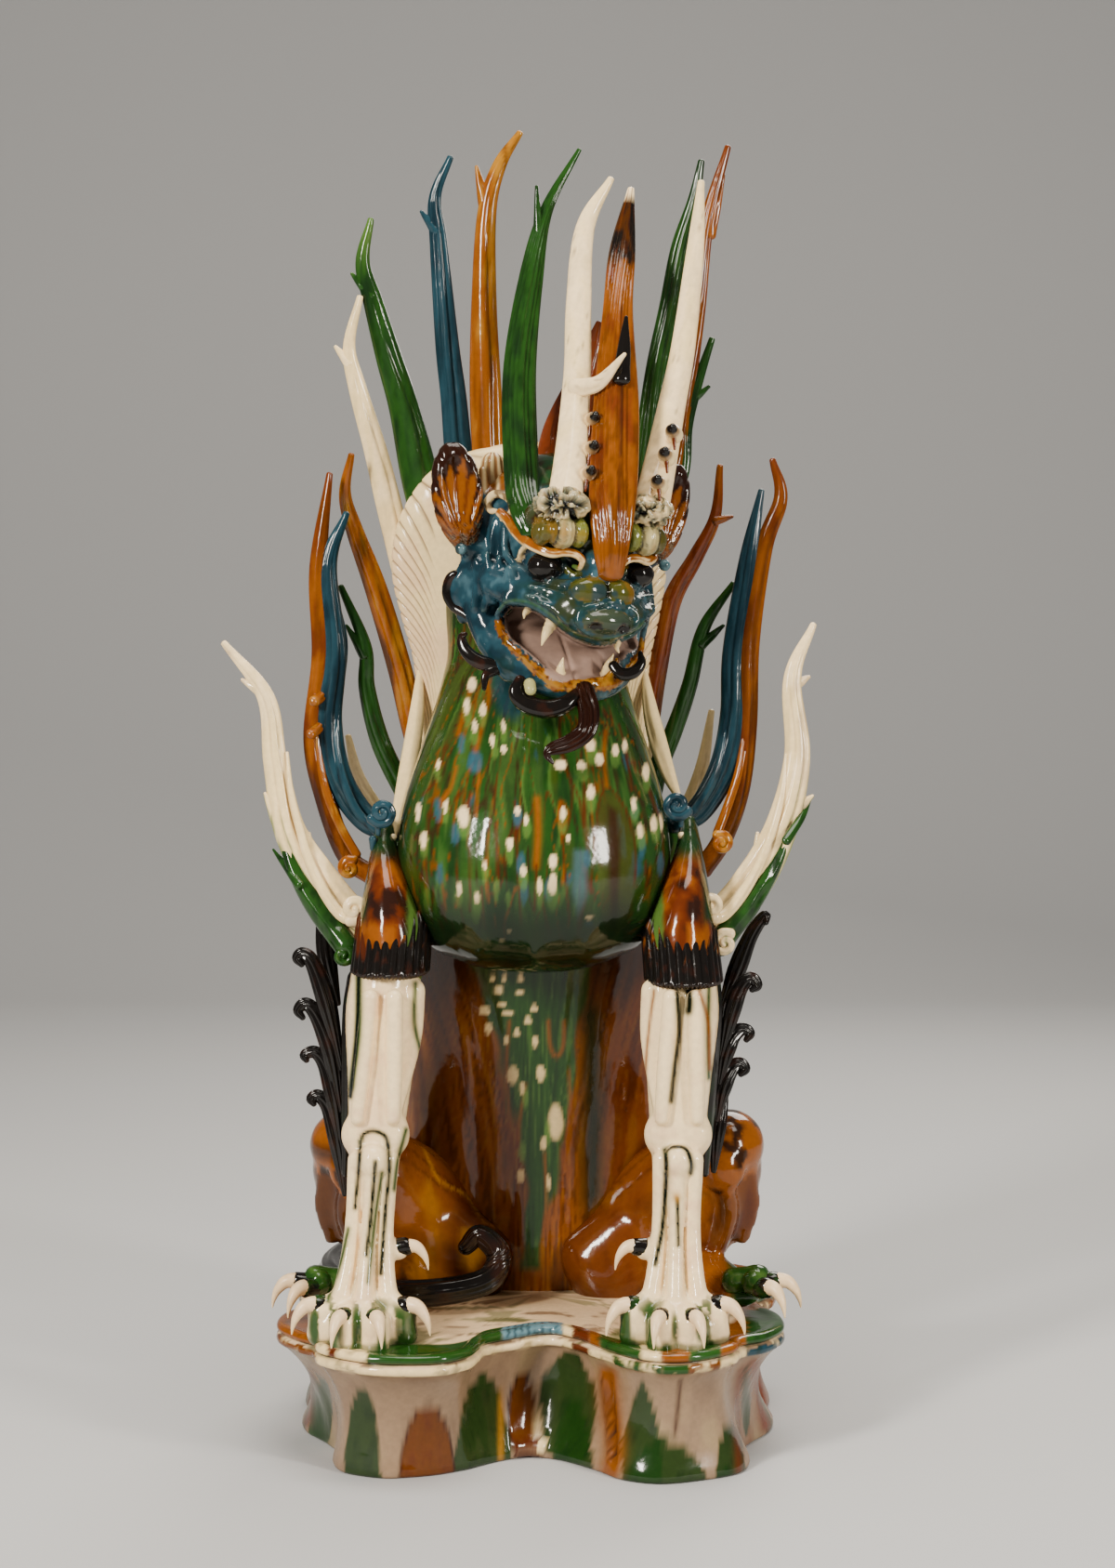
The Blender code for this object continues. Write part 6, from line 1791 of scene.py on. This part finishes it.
# Bands that run beside the shoulder flames: colours, half width in millimetres, depth, places in the picture.
SIDE_BANDS = (
    ((GREEN, DEEP_GREEN), 8.2, -0.05, (372, 1018), (359, 1000), (342, 978), (327, 954), (315, 928),
        (307, 902), (303, 876)),
    ((GREEN, DEEP_GREEN), 3.4, -0.042, (322, 952), (308, 932), (294, 914)),
    ((CREAM, PALE), 4.2, -0.053, (384, 990), (368, 985), (350, 962), (334, 930), (322, 890), (313, 850),
        (309, 810)),
    ((GREEN, DEEP_GREEN), 8.2, -0.05, (772, 1018), (786, 1000), (804, 977), (820, 952), (835, 924),
        (846, 895), (854, 864)),
    ((GREEN, DEEP_GREEN), 3.4, -0.042, (846, 905), (862, 880), (873, 858)),
    ((CREAM, PALE), 4.2, -0.053, (764, 990), (780, 984), (799, 962), (817, 930), (832, 892), (842, 852),
        (846, 812)),
    ((PALE, LEAF_GREEN), 2.4, -0.04, (424, 900), (414, 915), (405, 940), (399, 968), (392, 996)),
    ((PALE, LEAF_GREEN), 2.4, -0.04, (733, 898), (742, 918), (750, 945), (756, 975), (760, 1000)),
    ((AMBER, HONEY), 3.2, -0.012, (384, 920), (366, 888), (350, 848), (342, 800), (346, 755), (356, 716),
        (357, 680)),
    ((TEAL, DEEP_BLUE), 3.2, -0.013, (404, 893), (384, 872), (368, 834), (361, 790), (367, 740), (372, 690),
        (362, 640)),
    ((AMBER, RUST), 3.2, -0.012, (772, 896), (783, 868), (795, 830), (801, 790), (805, 730), (808, 680),
        (815, 620)),
    ((TEAL, DEEP_BLUE), 3.2, -0.013, (737, 884), (755, 862), (772, 830), (781, 790), (786, 740), (788, 690),
        (800, 640)),
    ((AMBER, HONEY), 4.0, -0.006, (338, 755), (347, 748), (354, 735), (350, 724)),
    ((AMBER, HONEY), 3.8, -0.008, (335, 790), (344, 782), (352, 768), (348, 758)),
)


# Cream strips between the chest and the hood: places in the picture.
NECK_STRIPS = (
    ((452, 722), (449, 760), (444, 800), (437, 838), (429, 872), (423, 905)),
    ((694, 725), (700, 765), (709, 800), (720, 835), (732, 862)),
)

NECK_STRIP_HALF = 0.0062


def rolled_ends():
    blue, amber = (TEAL, DEEP_BLUE), (AMBER, HONEY)
    white, green = (PALE, CREAM), (GREEN, LEAF_GREEN)
    made = [
        scroll((381, 978), -0.058, 0.0082, 250, 1.4, 0.0046, white, 1),
        scroll((369, 1028), -0.053, 0.0066, 90, 1.3, 0.0036, green, -1),
        scroll((411, 874), -0.056, 0.0086, 210, 1.6, 0.0036, blue, 1),
        scroll((376, 934), -0.04, 0.0064, 60, 1.5, 0.0034, amber, 1),
        scroll((766, 975), -0.058, 0.0082, 290, 1.4, 0.0046, white, -1),
        scroll((780, 1015), -0.053, 0.0078, 60, 1.4, 0.0038, (PALE, LEAF_GREEN), 1),
        scroll((729, 866), -0.056, 0.0086, 330, 1.6, 0.0036, blue, -1),
        scroll((776, 907), -0.04, 0.0064, 120, 1.5, 0.0034, amber, -1),
    ]
    for colours, half, depth, *route in SIDE_BANDS:
        stations = []
        for i, at in enumerate(route):
            share = i / (len(route) - 1)
            width = half * (1 - 0.75 * share**2) / 1000
            stations.append((*spot(*at, depth + 0.03 * share), width, width * 0.8))
        one = strand(stations, sides=18, steps=7, form=flame_form(ONE_GROOVE))
        one.measure()
        one.colour[:] = colours[0]
        one.paint(ramp(rough_lumps(one.co, (0.006, 0.006, 0.02), 7), 0, 0.4) * 0.8, colours[1])
        pooled(one, 0.8, 0.3, 0.00014, colours[0] * 1.4 + 0.01)
        made.append(one)
    for route in NECK_STRIPS:
        stations = []
        for i, at in enumerate(route):
            share = i / (len(route) - 1)
            width = NECK_STRIP_HALF * math.sin(math.pi * (0.12 + 0.8 * share))
            stations.append((*spot(*at, 0.03 - 0.05 * share), width, width * 0.8))
        one = strand(stations, sides=18, steps=7, form=flame_form(ONE_GROOVE))
        one.measure()
        one.colour[:] = CREAM
        pooled(one, 0.8, 0.3, 0.00014, LEAF_GREEN)
        made.append(one)
    for across, down, half in ((407, 893, 2.6), (401, 909, 2.8), (733, 884, 2.4)):
        leaf = [(*spot(across, down - 6, -0.05), half / 1000),
            (*spot(across, down + 4, -0.049), 0.7 * half / 1000)]
        one = strand(leaf, sides=12, steps=4)
        one.colour[:] = TEAL
        made.append(one)
    return made


# The hood behind the head, its edge combed with incised lines. A station is x, y, z, half width, half depth.
HOOD = (
    (-0.003, 0.052, 0.38, 0.092, 0.026),
    (-0.003, 0.052, 0.415, 0.092, 0.026),
    (-0.003, 0.046, 0.46, 0.09, 0.022),
    (-0.004, 0.04, 0.508, 0.084, 0.02),
    (-0.004, 0.034, 0.545, 0.086, 0.019),
    (-0.005, 0.03, 0.575, 0.093, 0.018),
    (-0.006, 0.028, 0.61, 0.099, 0.018),
    (-0.006, 0.026, 0.645, 0.094, 0.019),
    (-0.004, 0.022, 0.675, 0.078, 0.018),
    (-0.002, 0.019, 0.69, 0.058, 0.014),
    (0.0, 0.018, 0.698, 0.034, 0.009),
    (0.0, 0.018, 0.701, 0.01, 0.003),
)
COMB_SPACING = 0.0093
COMB_SWEEP = 0.046


def hood():
    """Rows of the mesh follow the incised lines, which leave the edge and sweep down towards the middle."""
    route = np.array(smooth_route(HOOD, 10))
    order = np.argsort(route[:, 2])
    heights = route[order, 2]

    def at(z, part):
        return np.interp(z, heights, route[order, part])

    turns = 2 * math.pi * np.arange(140) / 140
    side = np.sign(np.cos(turns)) * np.abs(np.cos(turns)) ** 0.8
    front = np.sign(np.sin(turns)) * np.abs(np.sin(turns)) ** 0.8
    rings, cuts = [], []
    top = HOOD[-1][2] - 0.0002
    for row in range(30):
        for phase in (0.0, 0.08, 0.17, 0.33, 0.5, 0.67, 0.83, 0.92):
            start = top - (row + phase) * COMB_SPACING
            z = np.full(len(turns), start)
            for _ in range(4):
                inset = at(z, 3) * (1 - np.abs(side))
                reach = np.interp(z, (0.46, 0.52, 0.557, 0.607), (0.017, 0.021, 0.03, 0.048))
                left = np.maximum(1 - inset / reach, 0.3)
                z = start + COMB_SWEEP * np.log(left) * ramp(top - start, 0.0, 0.06)
                z = np.clip(z, HOOD[0][2], None)
            gap = min(phase, 1 - phase) * COMB_SPACING
            cut = math.exp(-((gap / 0.0008) ** 2)) * ramp(left, 0.31, 0.5) * ramp(top - start, 0.004, 0.012)
            x = at(z, 0) + side * (at(z, 3) - 0.0011 * cut)
            y = at(z, 1) - front * (at(z, 4) - 0.0011 * cut)
            rings.append(np.stack([x, y, z], 1))
            cuts.append(cut)
    made = loft(rings)
    made.measure()
    made.colour[:] = CREAM * 0.98
    mottle = rough_lumps(made.co, 0.03, 5)
    made.paint(ramp(mottle, 0, 0.5) * 0.5, PINK_CLAY)
    made.paint(ramp(-mottle, 0.1, 0.6) * 0.4, PALE)
    drips = rough_lumps(made.co, (0.008, 0.008, 0.08), 6)
    made.paint(ramp(0.475 - made.co[:, 2] + 0.03 * drips, 0, 0.02) * ramp(np.abs(made.co[:, 0]), 0.089,
        0.082), GREEN)
    made.paint(ramp(0.6 - made.co[:, 2] + 0.09 * drips, 0, 0.03) * ramp(made.co[:, 1], 0.035, 0.05), GREEN)
    made.paint(np.append(np.concatenate(cuts), (0, 0)) * 0.75, BROWN * 2.2)
    made.dry[:] = 0.12
    return made


# The plinth: two smooth closed outlines, of its rim and of its foot, point for point.
RIM = (
    (0.008, -0.101), (0.026, -0.114), (0.041, -0.137), (0.062, -0.165), (0.086, -0.178), (0.111, -0.173),
    (0.133, -0.154), (0.141, -0.134), (0.158, -0.121), (0.171, -0.096), (0.171, -0.064), (0.16, -0.036),
    (0.158, -0.016), (0.171, 0.008), (0.175, 0.042), (0.165, 0.078), (0.14, 0.1), (0.122, 0.112),
    (0.11, 0.138), (0.082, 0.162), (0.048, 0.169), (0.018, 0.16), (0.0, 0.148), (-0.018, 0.16),
    (-0.048, 0.169), (-0.082, 0.162), (-0.11, 0.138), (-0.122, 0.112), (-0.14, 0.1), (-0.165, 0.078),
    (-0.175, 0.042), (-0.171, 0.008), (-0.158, -0.016), (-0.164, -0.036), (-0.179, -0.062), (-0.179, -0.094),
    (-0.164, -0.12), (-0.152, -0.133), (-0.145, -0.156), (-0.118, -0.177), (-0.09, -0.184), (-0.062, -0.181),
    (-0.044, -0.165), (-0.038, -0.148), (-0.033, -0.13), (-0.014, -0.114),
)
FOOT = (
    (-0.002, -0.11), (0.017, -0.118), (0.04, -0.141), (0.057, -0.162), (0.083, -0.172), (0.113, -0.163),
    (0.137, -0.148), (0.146, -0.124), (0.142, -0.1), (0.15, -0.076), (0.164, -0.05), (0.169, -0.024),
    (0.163, -0.004), (0.168, 0.014), (0.17, 0.042), (0.16, 0.076), (0.136, 0.096), (0.118, 0.108),
    (0.106, 0.134), (0.08, 0.156), (0.048, 0.163), (0.018, 0.154), (0.0, 0.142), (-0.018, 0.154),
    (-0.048, 0.163), (-0.08, 0.156), (-0.106, 0.134), (-0.118, 0.108), (-0.136, 0.096), (-0.16, 0.076),
    (-0.17, 0.042), (-0.168, 0.014), (-0.162, -0.004), (-0.168, -0.024), (-0.163, -0.05), (-0.148, -0.076),
    (-0.138, -0.1), (-0.139, -0.124), (-0.13, -0.146), (-0.104, -0.159), (-0.084, -0.157), (-0.066, -0.151),
    (-0.048, -0.14), (-0.036, -0.129), (-0.024, -0.119), (-0.012, -0.112),
)
# Height, how far the outline has gone from the foot's to the rim's, and its offset outwards.
PLINTH_PROFILE = (
    (0.0, 0.0, -0.002), (0.0008, 0.0, -0.0006), (0.0025, 0.0, 0.0), (0.006, 0.0, -0.0006),
    (0.01, 0.05, -0.0022), (0.015, 0.12, -0.0044), (0.021, 0.2, -0.0066), (0.028, 0.3, -0.0086),
    (0.036, 0.42, -0.0104), (0.044, 0.54, -0.0114), (0.052, 0.66, -0.0116), (0.059, 0.77, -0.0108),
    (0.065, 0.86, -0.0092), (0.07, 0.93, -0.007), (0.0735, 0.98, -0.0048), (0.075, 1.0, -0.0034),
    (0.0758, 1.0, -0.0018), (0.0768, 1.0, -0.0006), (0.0785, 1.0, 0.0), (0.0803, 1.0, -0.0003),
    (0.0817, 1.0, -0.0012), (0.0826, 1.0, -0.0034), (0.0831, 1.0, -0.004), (0.0836, 1.0, -0.0034),
    (0.0843, 1.0, -0.0014), (0.0856, 1.0, -0.0004), (0.0872, 1.0, -0.0003), (0.0887, 1.0, -0.0014),
    (0.0896, 1.0, -0.003), (0.09, 1.0, -0.0052), (0.0898, 1.0, -0.0075), (0.089, 1.0, -0.0095),
)
TOP_RINGS = 26


def closed_route(points, steps):
    """A smooth closed curve through the points."""
    line = np.array(points)
    a, b, c, d = np.roll(line, 1, 0), line, np.roll(line, -1, 0), np.roll(line, -2, 0)
    route = []
    for t in np.arange(steps) / steps:
        bend = (2 * a - 5 * b + 4 * c - d) * t**2 + (3 * b - a - 3 * c + d) * t**3
        route.append(0.5 * (2 * b + (c - a) * t + bend))
    return np.stack(route, 1).reshape(-1, 2)


def outward(ring):
    along = np.roll(ring, -2, 0) - np.roll(ring, 2, 0)
    aside = np.stack([along[:, 1], -along[:, 0]], 1)
    return aside / np.linalg.norm(aside, axis=1)[:, None]


def blot(skin, left, right, top, foot, seed, wander=0.3, power=2.4):
    """A patch of run glaze on the front, between these edges in the picture, its own edge wandering."""
    sway = rough_lumps(np.stack([skin.px / 14, skin.py / 30, skin.px * 0], 1), 1.0, seed)
    across = (skin.px - 0.5 * (left + right)) / (0.5 * (right - left))
    down = (skin.py - 0.5 * (top + foot)) / (0.5 * (foot - top))
    gap = np.abs(across) ** power + np.abs(down) ** power
    return ramp(1 - gap + wander * sway, -0.05, 0.09) * ramp(skin.facing, -0.35,
        -0.15) * (skin.co[:, 1] < 0.01)


def plinth():
    steps = 12
    rim, foot = closed_route(RIM, steps), closed_route(FOOT, steps)
    rings = []
    for z, share, offset in PLINTH_PROFILE:
        ring = foot + share * (rim - foot)
        ring = ring + offset * outward(ring)
        rings.append(np.column_stack([ring, np.full(len(ring), z)]))
    last = rings[-1][:, :2]
    heading = 2 * math.pi * np.arange(len(last)) / len(last) - math.pi / 2
    core = np.stack([0.05 * np.cos(heading), 0.045 * np.sin(heading)], 1)
    for share in np.linspace(0.03, 1, TOP_RINGS):
        ring = last + share * (core - last)
        rings.append(np.column_stack([ring, np.full(len(ring), 0.0884)]))
    made = loft(rings)
    made.measure()
    sculpt_plinth(made)
    made.measure()
    glaze_plinth(made)
    return made


def sculpt_plinth(made):
    z = made.co[:, 2]
    wall = ramp(z, 0.004, 0.012) * ramp(z, 0.074, 0.068)
    made.push(wall * 0.0012 * rough_lumps(made.co, (0.02, 0.02, 0.05), 8))
    lip = near(z, 0.0775, 0.004)
    made.push(lip * -0.0022 * ramp(rough_lumps(made.co, (0.009, 0.009, 0.02), 17), 0.05, 0.3))
    made.push(wall * 0.003 * made.line(4.0, (649, 1484), (655, 1520), (657, 1560), (652, 1588)))
    made.push(wall * 0.0022 * made.line(2.5, (662, 1484), (667, 1530), (668, 1570)))
    made.push(wall * -0.0018 * made.line(2.0, (657, 1490), (662, 1530), (663, 1572)))
    made.push(ramp(z, 0.001, 0.004) * 0.004 * blot(made, 550, 588, 1546, 1570, 3, 0.1))
    made.push(wall * 0.001 * made.line(3.0, (743, 1495), (741, 1530), (735, 1560)))
    for left, right, top, foot in ((447, 490, 1510, 1600), (546, 578, 1478, 1560), (370, 412, 1490, 1600)):
        made.push(wall * 0.0006 * blot(made, left, right, top, foot, 3))


def glaze_plinth(made):
    x, y, z = made.co.T
    px, py = made.px, made.py
    mottle = rough_lumps(made.co, (0.02, 0.02, 0.03), 2)
    fine = rough_lumps(made.co, 0.006, 9)
    # The wall's clay is painted dark: partly its own pinkish clay, partly painted shade of the upright wall,
    # which the light from above leaves in shade.
    made.colour[:] = PINK_CLAY * 0.3 + CREAM * 0.06
    made.paint(ramp(mottle, 0, 0.5) * 0.6, PINK_CLAY * 0.26)
    made.paint(ramp(-mottle, 0.1, 0.5) * 0.35, CREAM * 0.48)
    made.dry[:] = 0.25
    wall = ramp(z, 0.075, 0.072)

    # Runs of glaze on the sides and the back, which the front's patches carry on
    runs = rough_lumps(np.stack([made.turn * 46, z / 0.12, z * 0], 1), 1.0, 3)
    unseen = wall * ramp(y, -0.1, -0.06)
    made.paint(unseen * ramp(runs, 0.08, 0.16), GREEN * 0.9)
    made.paint(unseen * ramp(-runs, 0.12, 0.2), AMBER * 0.8)

    green = (
        (370, 411, 1490, 1720), (488, 552, 1478, 1720), (581, 642, 1452, 1580), (592, 640, 1500, 1720),
        (668, 713, 1490, 1720), (664, 770, 1548, 1720), (758, 806, 1580, 1700), (771, 803, 1531, 1640),
        (798, 808, 1468, 1545), (334, 358, 1482, 1560),
    )
    for seed, edges in enumerate(green):
        share = blot(made, *edges, seed, 0.22, 1.9) * wall
        # The wall's green patches are painted darker than the green glaze: partly their own colour, partly
        # painted shade of the wall.
        made.paint(share * 0.95, GREEN * 0.6)
        made.paint(share * ramp(fine, 0.1, 0.5) * 0.5, DEEP_GREEN)
        made.dry[:] = made.dry * (1 - share)
    brown = ((428, 491, 1510, 1690), (546, 578, 1477, 1572))
    for seed, edges in enumerate(brown):
        share = blot(made, *edges, seed + 20, 0.12, 2.0) * wall
        made.paint(share, BROWN * 1.3)
        left, right, top, foot = edges
        share = blot(made, left + 2.5, right - 2.5, top + 3.5, foot, seed + 20, 0.12, 2.0) * wall
        made.paint(share, AMBER * 0.55)
        made.paint(share * ramp(fine, 0, 0.4) * 0.5, RUST)
        made.dry[:] = made.dry * (1 - share)
    made.paint(wall * near(px, 539, 6) * ramp(py, 1490, 1510) * ramp(made.facing, 0, 0.2) * 0.8, HONEY)
    made.paint(wall * near(px, 578, 8) * ramp(py, 1500, 1540) * near(py, 1530, 40) * 0.7, CREAM)
    lump = blot(made, 550, 586, 1546, 1571, 3, 0.1)
    made.paint(lump, RUST * 0.8)
    made.paint(blot(made, 577, 588, 1549, 1566, 3, 0.1), CREAM)
    fold = made.line(11.0, (654, 1480), (658, 1520), (661, 1560), (654, 1590)) * wall
    made.paint(fold * 1.3, AMBER)
    made.paint(made.line(1.8, (657, 1490), (662, 1530), (663, 1572)) * wall, BROWN)
    made.paint(made.line(2.0, (648, 1486), (653, 1530), (655, 1570)) * wall * 0.7, BROWN)
    made.paint(made.line(2.4, (732, 1486), (730, 1510), (727, 1537)) * wall * 0.9, BROWN * 1.5)
    made.paint(made.line(5.0, (798, 1475), (793, 1510), (796, 1590)) * wall * 0.8, RUST * 1.2)
    made.paint(made.line(8.0, (812, 1468), (818, 1500), (824, 1535)) * wall, RUST * 1.5)
    made.paint(made.line(6.0, (334, 1478), (330, 1530)) * wall, RUST)

    # Rim: its two rolls change colour from lobe to lobe
    rows = TOP_RINGS + len(PLINTH_PROFILE) - 1
    border = ramp(z, 0.0825, 0.0835) * (made.along < (len(PLINTH_PROFILE) + 5) / rows)
    lower = ramp(z, 0.0752, 0.0765) * ramp(z, 0.0832, 0.0822)
    around = rough_lumps(np.stack([made.turn * 60, z * 0, z * 0], 1), 1.0, 12)
    both = np.maximum(border, lower)
    made.paint(both * ramp(around + 0.3 * fine, 0.0, 0.15) * ramp(y, -0.11, -0.08), GREEN * 0.9)
    made.paint(both * ramp(-around + 0.3 * fine, 0.05, 0.2) * ramp(y, -0.11, -0.08), AMBER)
    front = ramp(made.facing, -0.6, -0.2) * (y < -0.05)
    bands = (
        (290, 340, AMBER, AMBER * 0.7), (340, 352, CREAM, CREAM), (352, 362, RUST, CREAM),
            (362, 395, CREAM, CREAM),
        (395, 516, GREEN, CREAM), (516, 540, GREEN, CREAM), (540, 606, PALE_BLUE, PALE),
            (606, 616, CREAM, CREAM),
        (616, 634, RUST, RUST), (634, 646, AMBER, CREAM), (646, 690, GREEN, GREEN), (690, 712, CREAM, GREEN),
        (712, 742, AMBER, GREEN), (742, 776, GREEN * 1.3, AMBER * 0.7), (776, 803, AMBER * 1.1, CREAM),
        (803, 850, GREEN, TEAL),
    )
    for left, right, above, below in bands:
        share = front * ramp(px + 2 * fine, left - 1.5, left + 1.5) * ramp(right - px - 2 * fine, -1.5, 1.5)
        made.paint(share * border, above)
        made.paint(share * lower, below)
    stripes = front * border * ramp(px, 540, 546) * ramp(606 - px, 0, 6)
    made.paint(stripes * ramp(np.cos(px * 0.85) + fine, 0.2, 0.8) * 0.8, TEAL)
    made.paint(near(z, 0.0831, 0.0009) * (made.hollow > 0) * 0.85, BLACK)
    made.paint(both * ramp(fine, 0.25, 0.5) * 0.5, DEEP_GREEN)
    made.dry[:] = made.dry * (1 - 0.9 * both)
    chips = lower * ramp(rough_lumps(made.co, (0.009, 0.009, 0.02), 17), 0.05, 0.3)
    made.paint(chips, CREAM)

    # The top is pale with smears of brown and green
    top = (made.normal[:, 2] > 0.8) & (border < 0.5)
    made.paint(top * 1.0, PALE * 0.55 + PINK_CLAY * 0.42)
    smear = rough_lumps(made.co, (0.03, 0.01, 0.02), 33)
    made.paint(top * ramp(smear, 0.12, 0.3) * 0.7, BROWN * 2.6)
    smear = rough_lumps(made.co, (0.04, 0.012, 0.02), 37)
    made.paint(top * ramp(smear, 0.15, 0.3) * 0.6, LEAF_GREEN * 0.6)
    for side, reach in ((-1, -0.1145), (1, 0.0945)):
        pool = np.hypot((x - reach) / 0.047, (y + 0.128) / 0.04)
        made.paint(top * ramp(1 - pool + 0.3 * fine, -0.05, 0.12) * 0.7, GREEN * (1.0 if side < 0 else 1.6))
    pooled(made, 0.25, 0.2, 0.0004)


def studio():
    """A pale floor and backdrop, soft lights and the camera."""
    pale = bpy.data.materials.new("pale_floor")
    pale.use_nodes = True
    shader = pale.node_tree.nodes["Principled BSDF"]
    shader.inputs["Base Color"].default_value = (0.46, 0.46, 0.46, 1)
    shader.inputs["Roughness"].default_value = 0.75
    mesh = bpy.data.meshes.new("floor")
    rows = [(-4.0, 0.0), (2.2, 0.0)]
    rows += [(2.2 + 1.2 * math.sin(a), 1.2 - 1.2 * math.cos(a)) for a in np.linspace(0.1, math.pi / 2, 12)]
    rows += [(3.4, 5.0)]
    points = [(x, y, z) for y, z in rows for x in (-6.0, 6.0)]
    faces = [(2 * i, 2 * i + 1, 2 * i + 3, 2 * i + 2) for i in range(len(rows) - 1)]
    mesh.from_pydata(points, [], faces)
    mesh.materials.append(pale)
    mesh.shade_smooth()
    floor = bpy.data.objects.new("floor", mesh)
    bpy.context.scene.collection.objects.link(floor)
    world = bpy.data.worlds.new("studio")
    world.use_nodes = True
    world.node_tree.nodes["Background"].inputs["Color"].default_value = (0.86, 0.86, 0.86, 1)
    world.node_tree.nodes["Background"].inputs["Strength"].default_value = 0.16
    bpy.context.scene.world = world
    softboxes = (
        ("key", (-1.5, -1.9, 1.5), (0, 0, 0.45), 0.34, 104),
        ("fill", (1.8, -1.6, 1.1), (0, 0, 0.45), 0.3, 54),
        ("top", (0.1, -0.2, 2.4), (0, 0, 0.4), 1.3, 50),
        ("back", (0.6, 1.6, 1.6), (0, 0, 0.5), 1.0, 28),
    )
    for name, place, aim, size, power in softboxes:
        light = bpy.data.lights.new(name, "AREA")
        light.shape = "RECTANGLE"
        light.size = size
        light.size_y = max(0.8, size)
        light.energy = power
        light.color = (1.0, 0.94, 0.85)
        lamp = bpy.data.objects.new(name, light)
        lamp.location = place
        lamp.rotation_euler = (Vector(aim) - Vector(place)).to_track_quat("-Z", "Y").to_euler()
        bpy.context.scene.collection.objects.link(lamp)
    lens = bpy.data.cameras.new("camera")
    lens.sensor_width = 36.0
    lens.lens = DOTS_PER_LENGTH * 36.0 / PICTURE[1]
    camera = bpy.data.objects.new("camera", lens)
    camera.location = CAMERA_PLACE
    camera.rotation_euler = (math.pi / 2 - CAMERA_DIP, 0, 0)
    bpy.context.scene.collection.objects.link(camera)
    bpy.context.scene.camera = camera


def build():
    coat = glaze()
    trunk = torso()
    trunk.measure()
    trunk.relax(2, 0.5)
    trunk.measure()
    glaze_torso(trunk)
    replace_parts(piece("torso", trunk, coat), "tomb_guardian_beast")
    piece("chest", chest(), coat)
    piece("belly", belly(), coat)

    legs = front_legs()
    legs.measure()
    legs.relax(2, 0.5)
    legs.measure()
    glaze_legs(legs)
    piece("front_legs", legs, coat)

    face, rolls = head()
    face.measure()
    sculpt_head(face)
    face.measure()
    glaze_head(face)
    piece("head", face, coat)
    piece("brows_and_teeth", joined(rolls), coat)

    piece("hood", hood(), coat)
    piece("crown", joined(flames([n for n in FLAMES if n not in SIDE_FLAMES]) + knobs()), coat)
    piece("side_flames", joined(flames(SIDE_FLAMES) + rolled_ends()), coat)
    piece("claws", joined(claws()), coat)
    piece("cuffs", joined(cuffs()), coat)
    piece("locks", joined(locks() + tail() + whiskers()), coat)
    piece("plinth", plinth(), coat)


build()
studio()
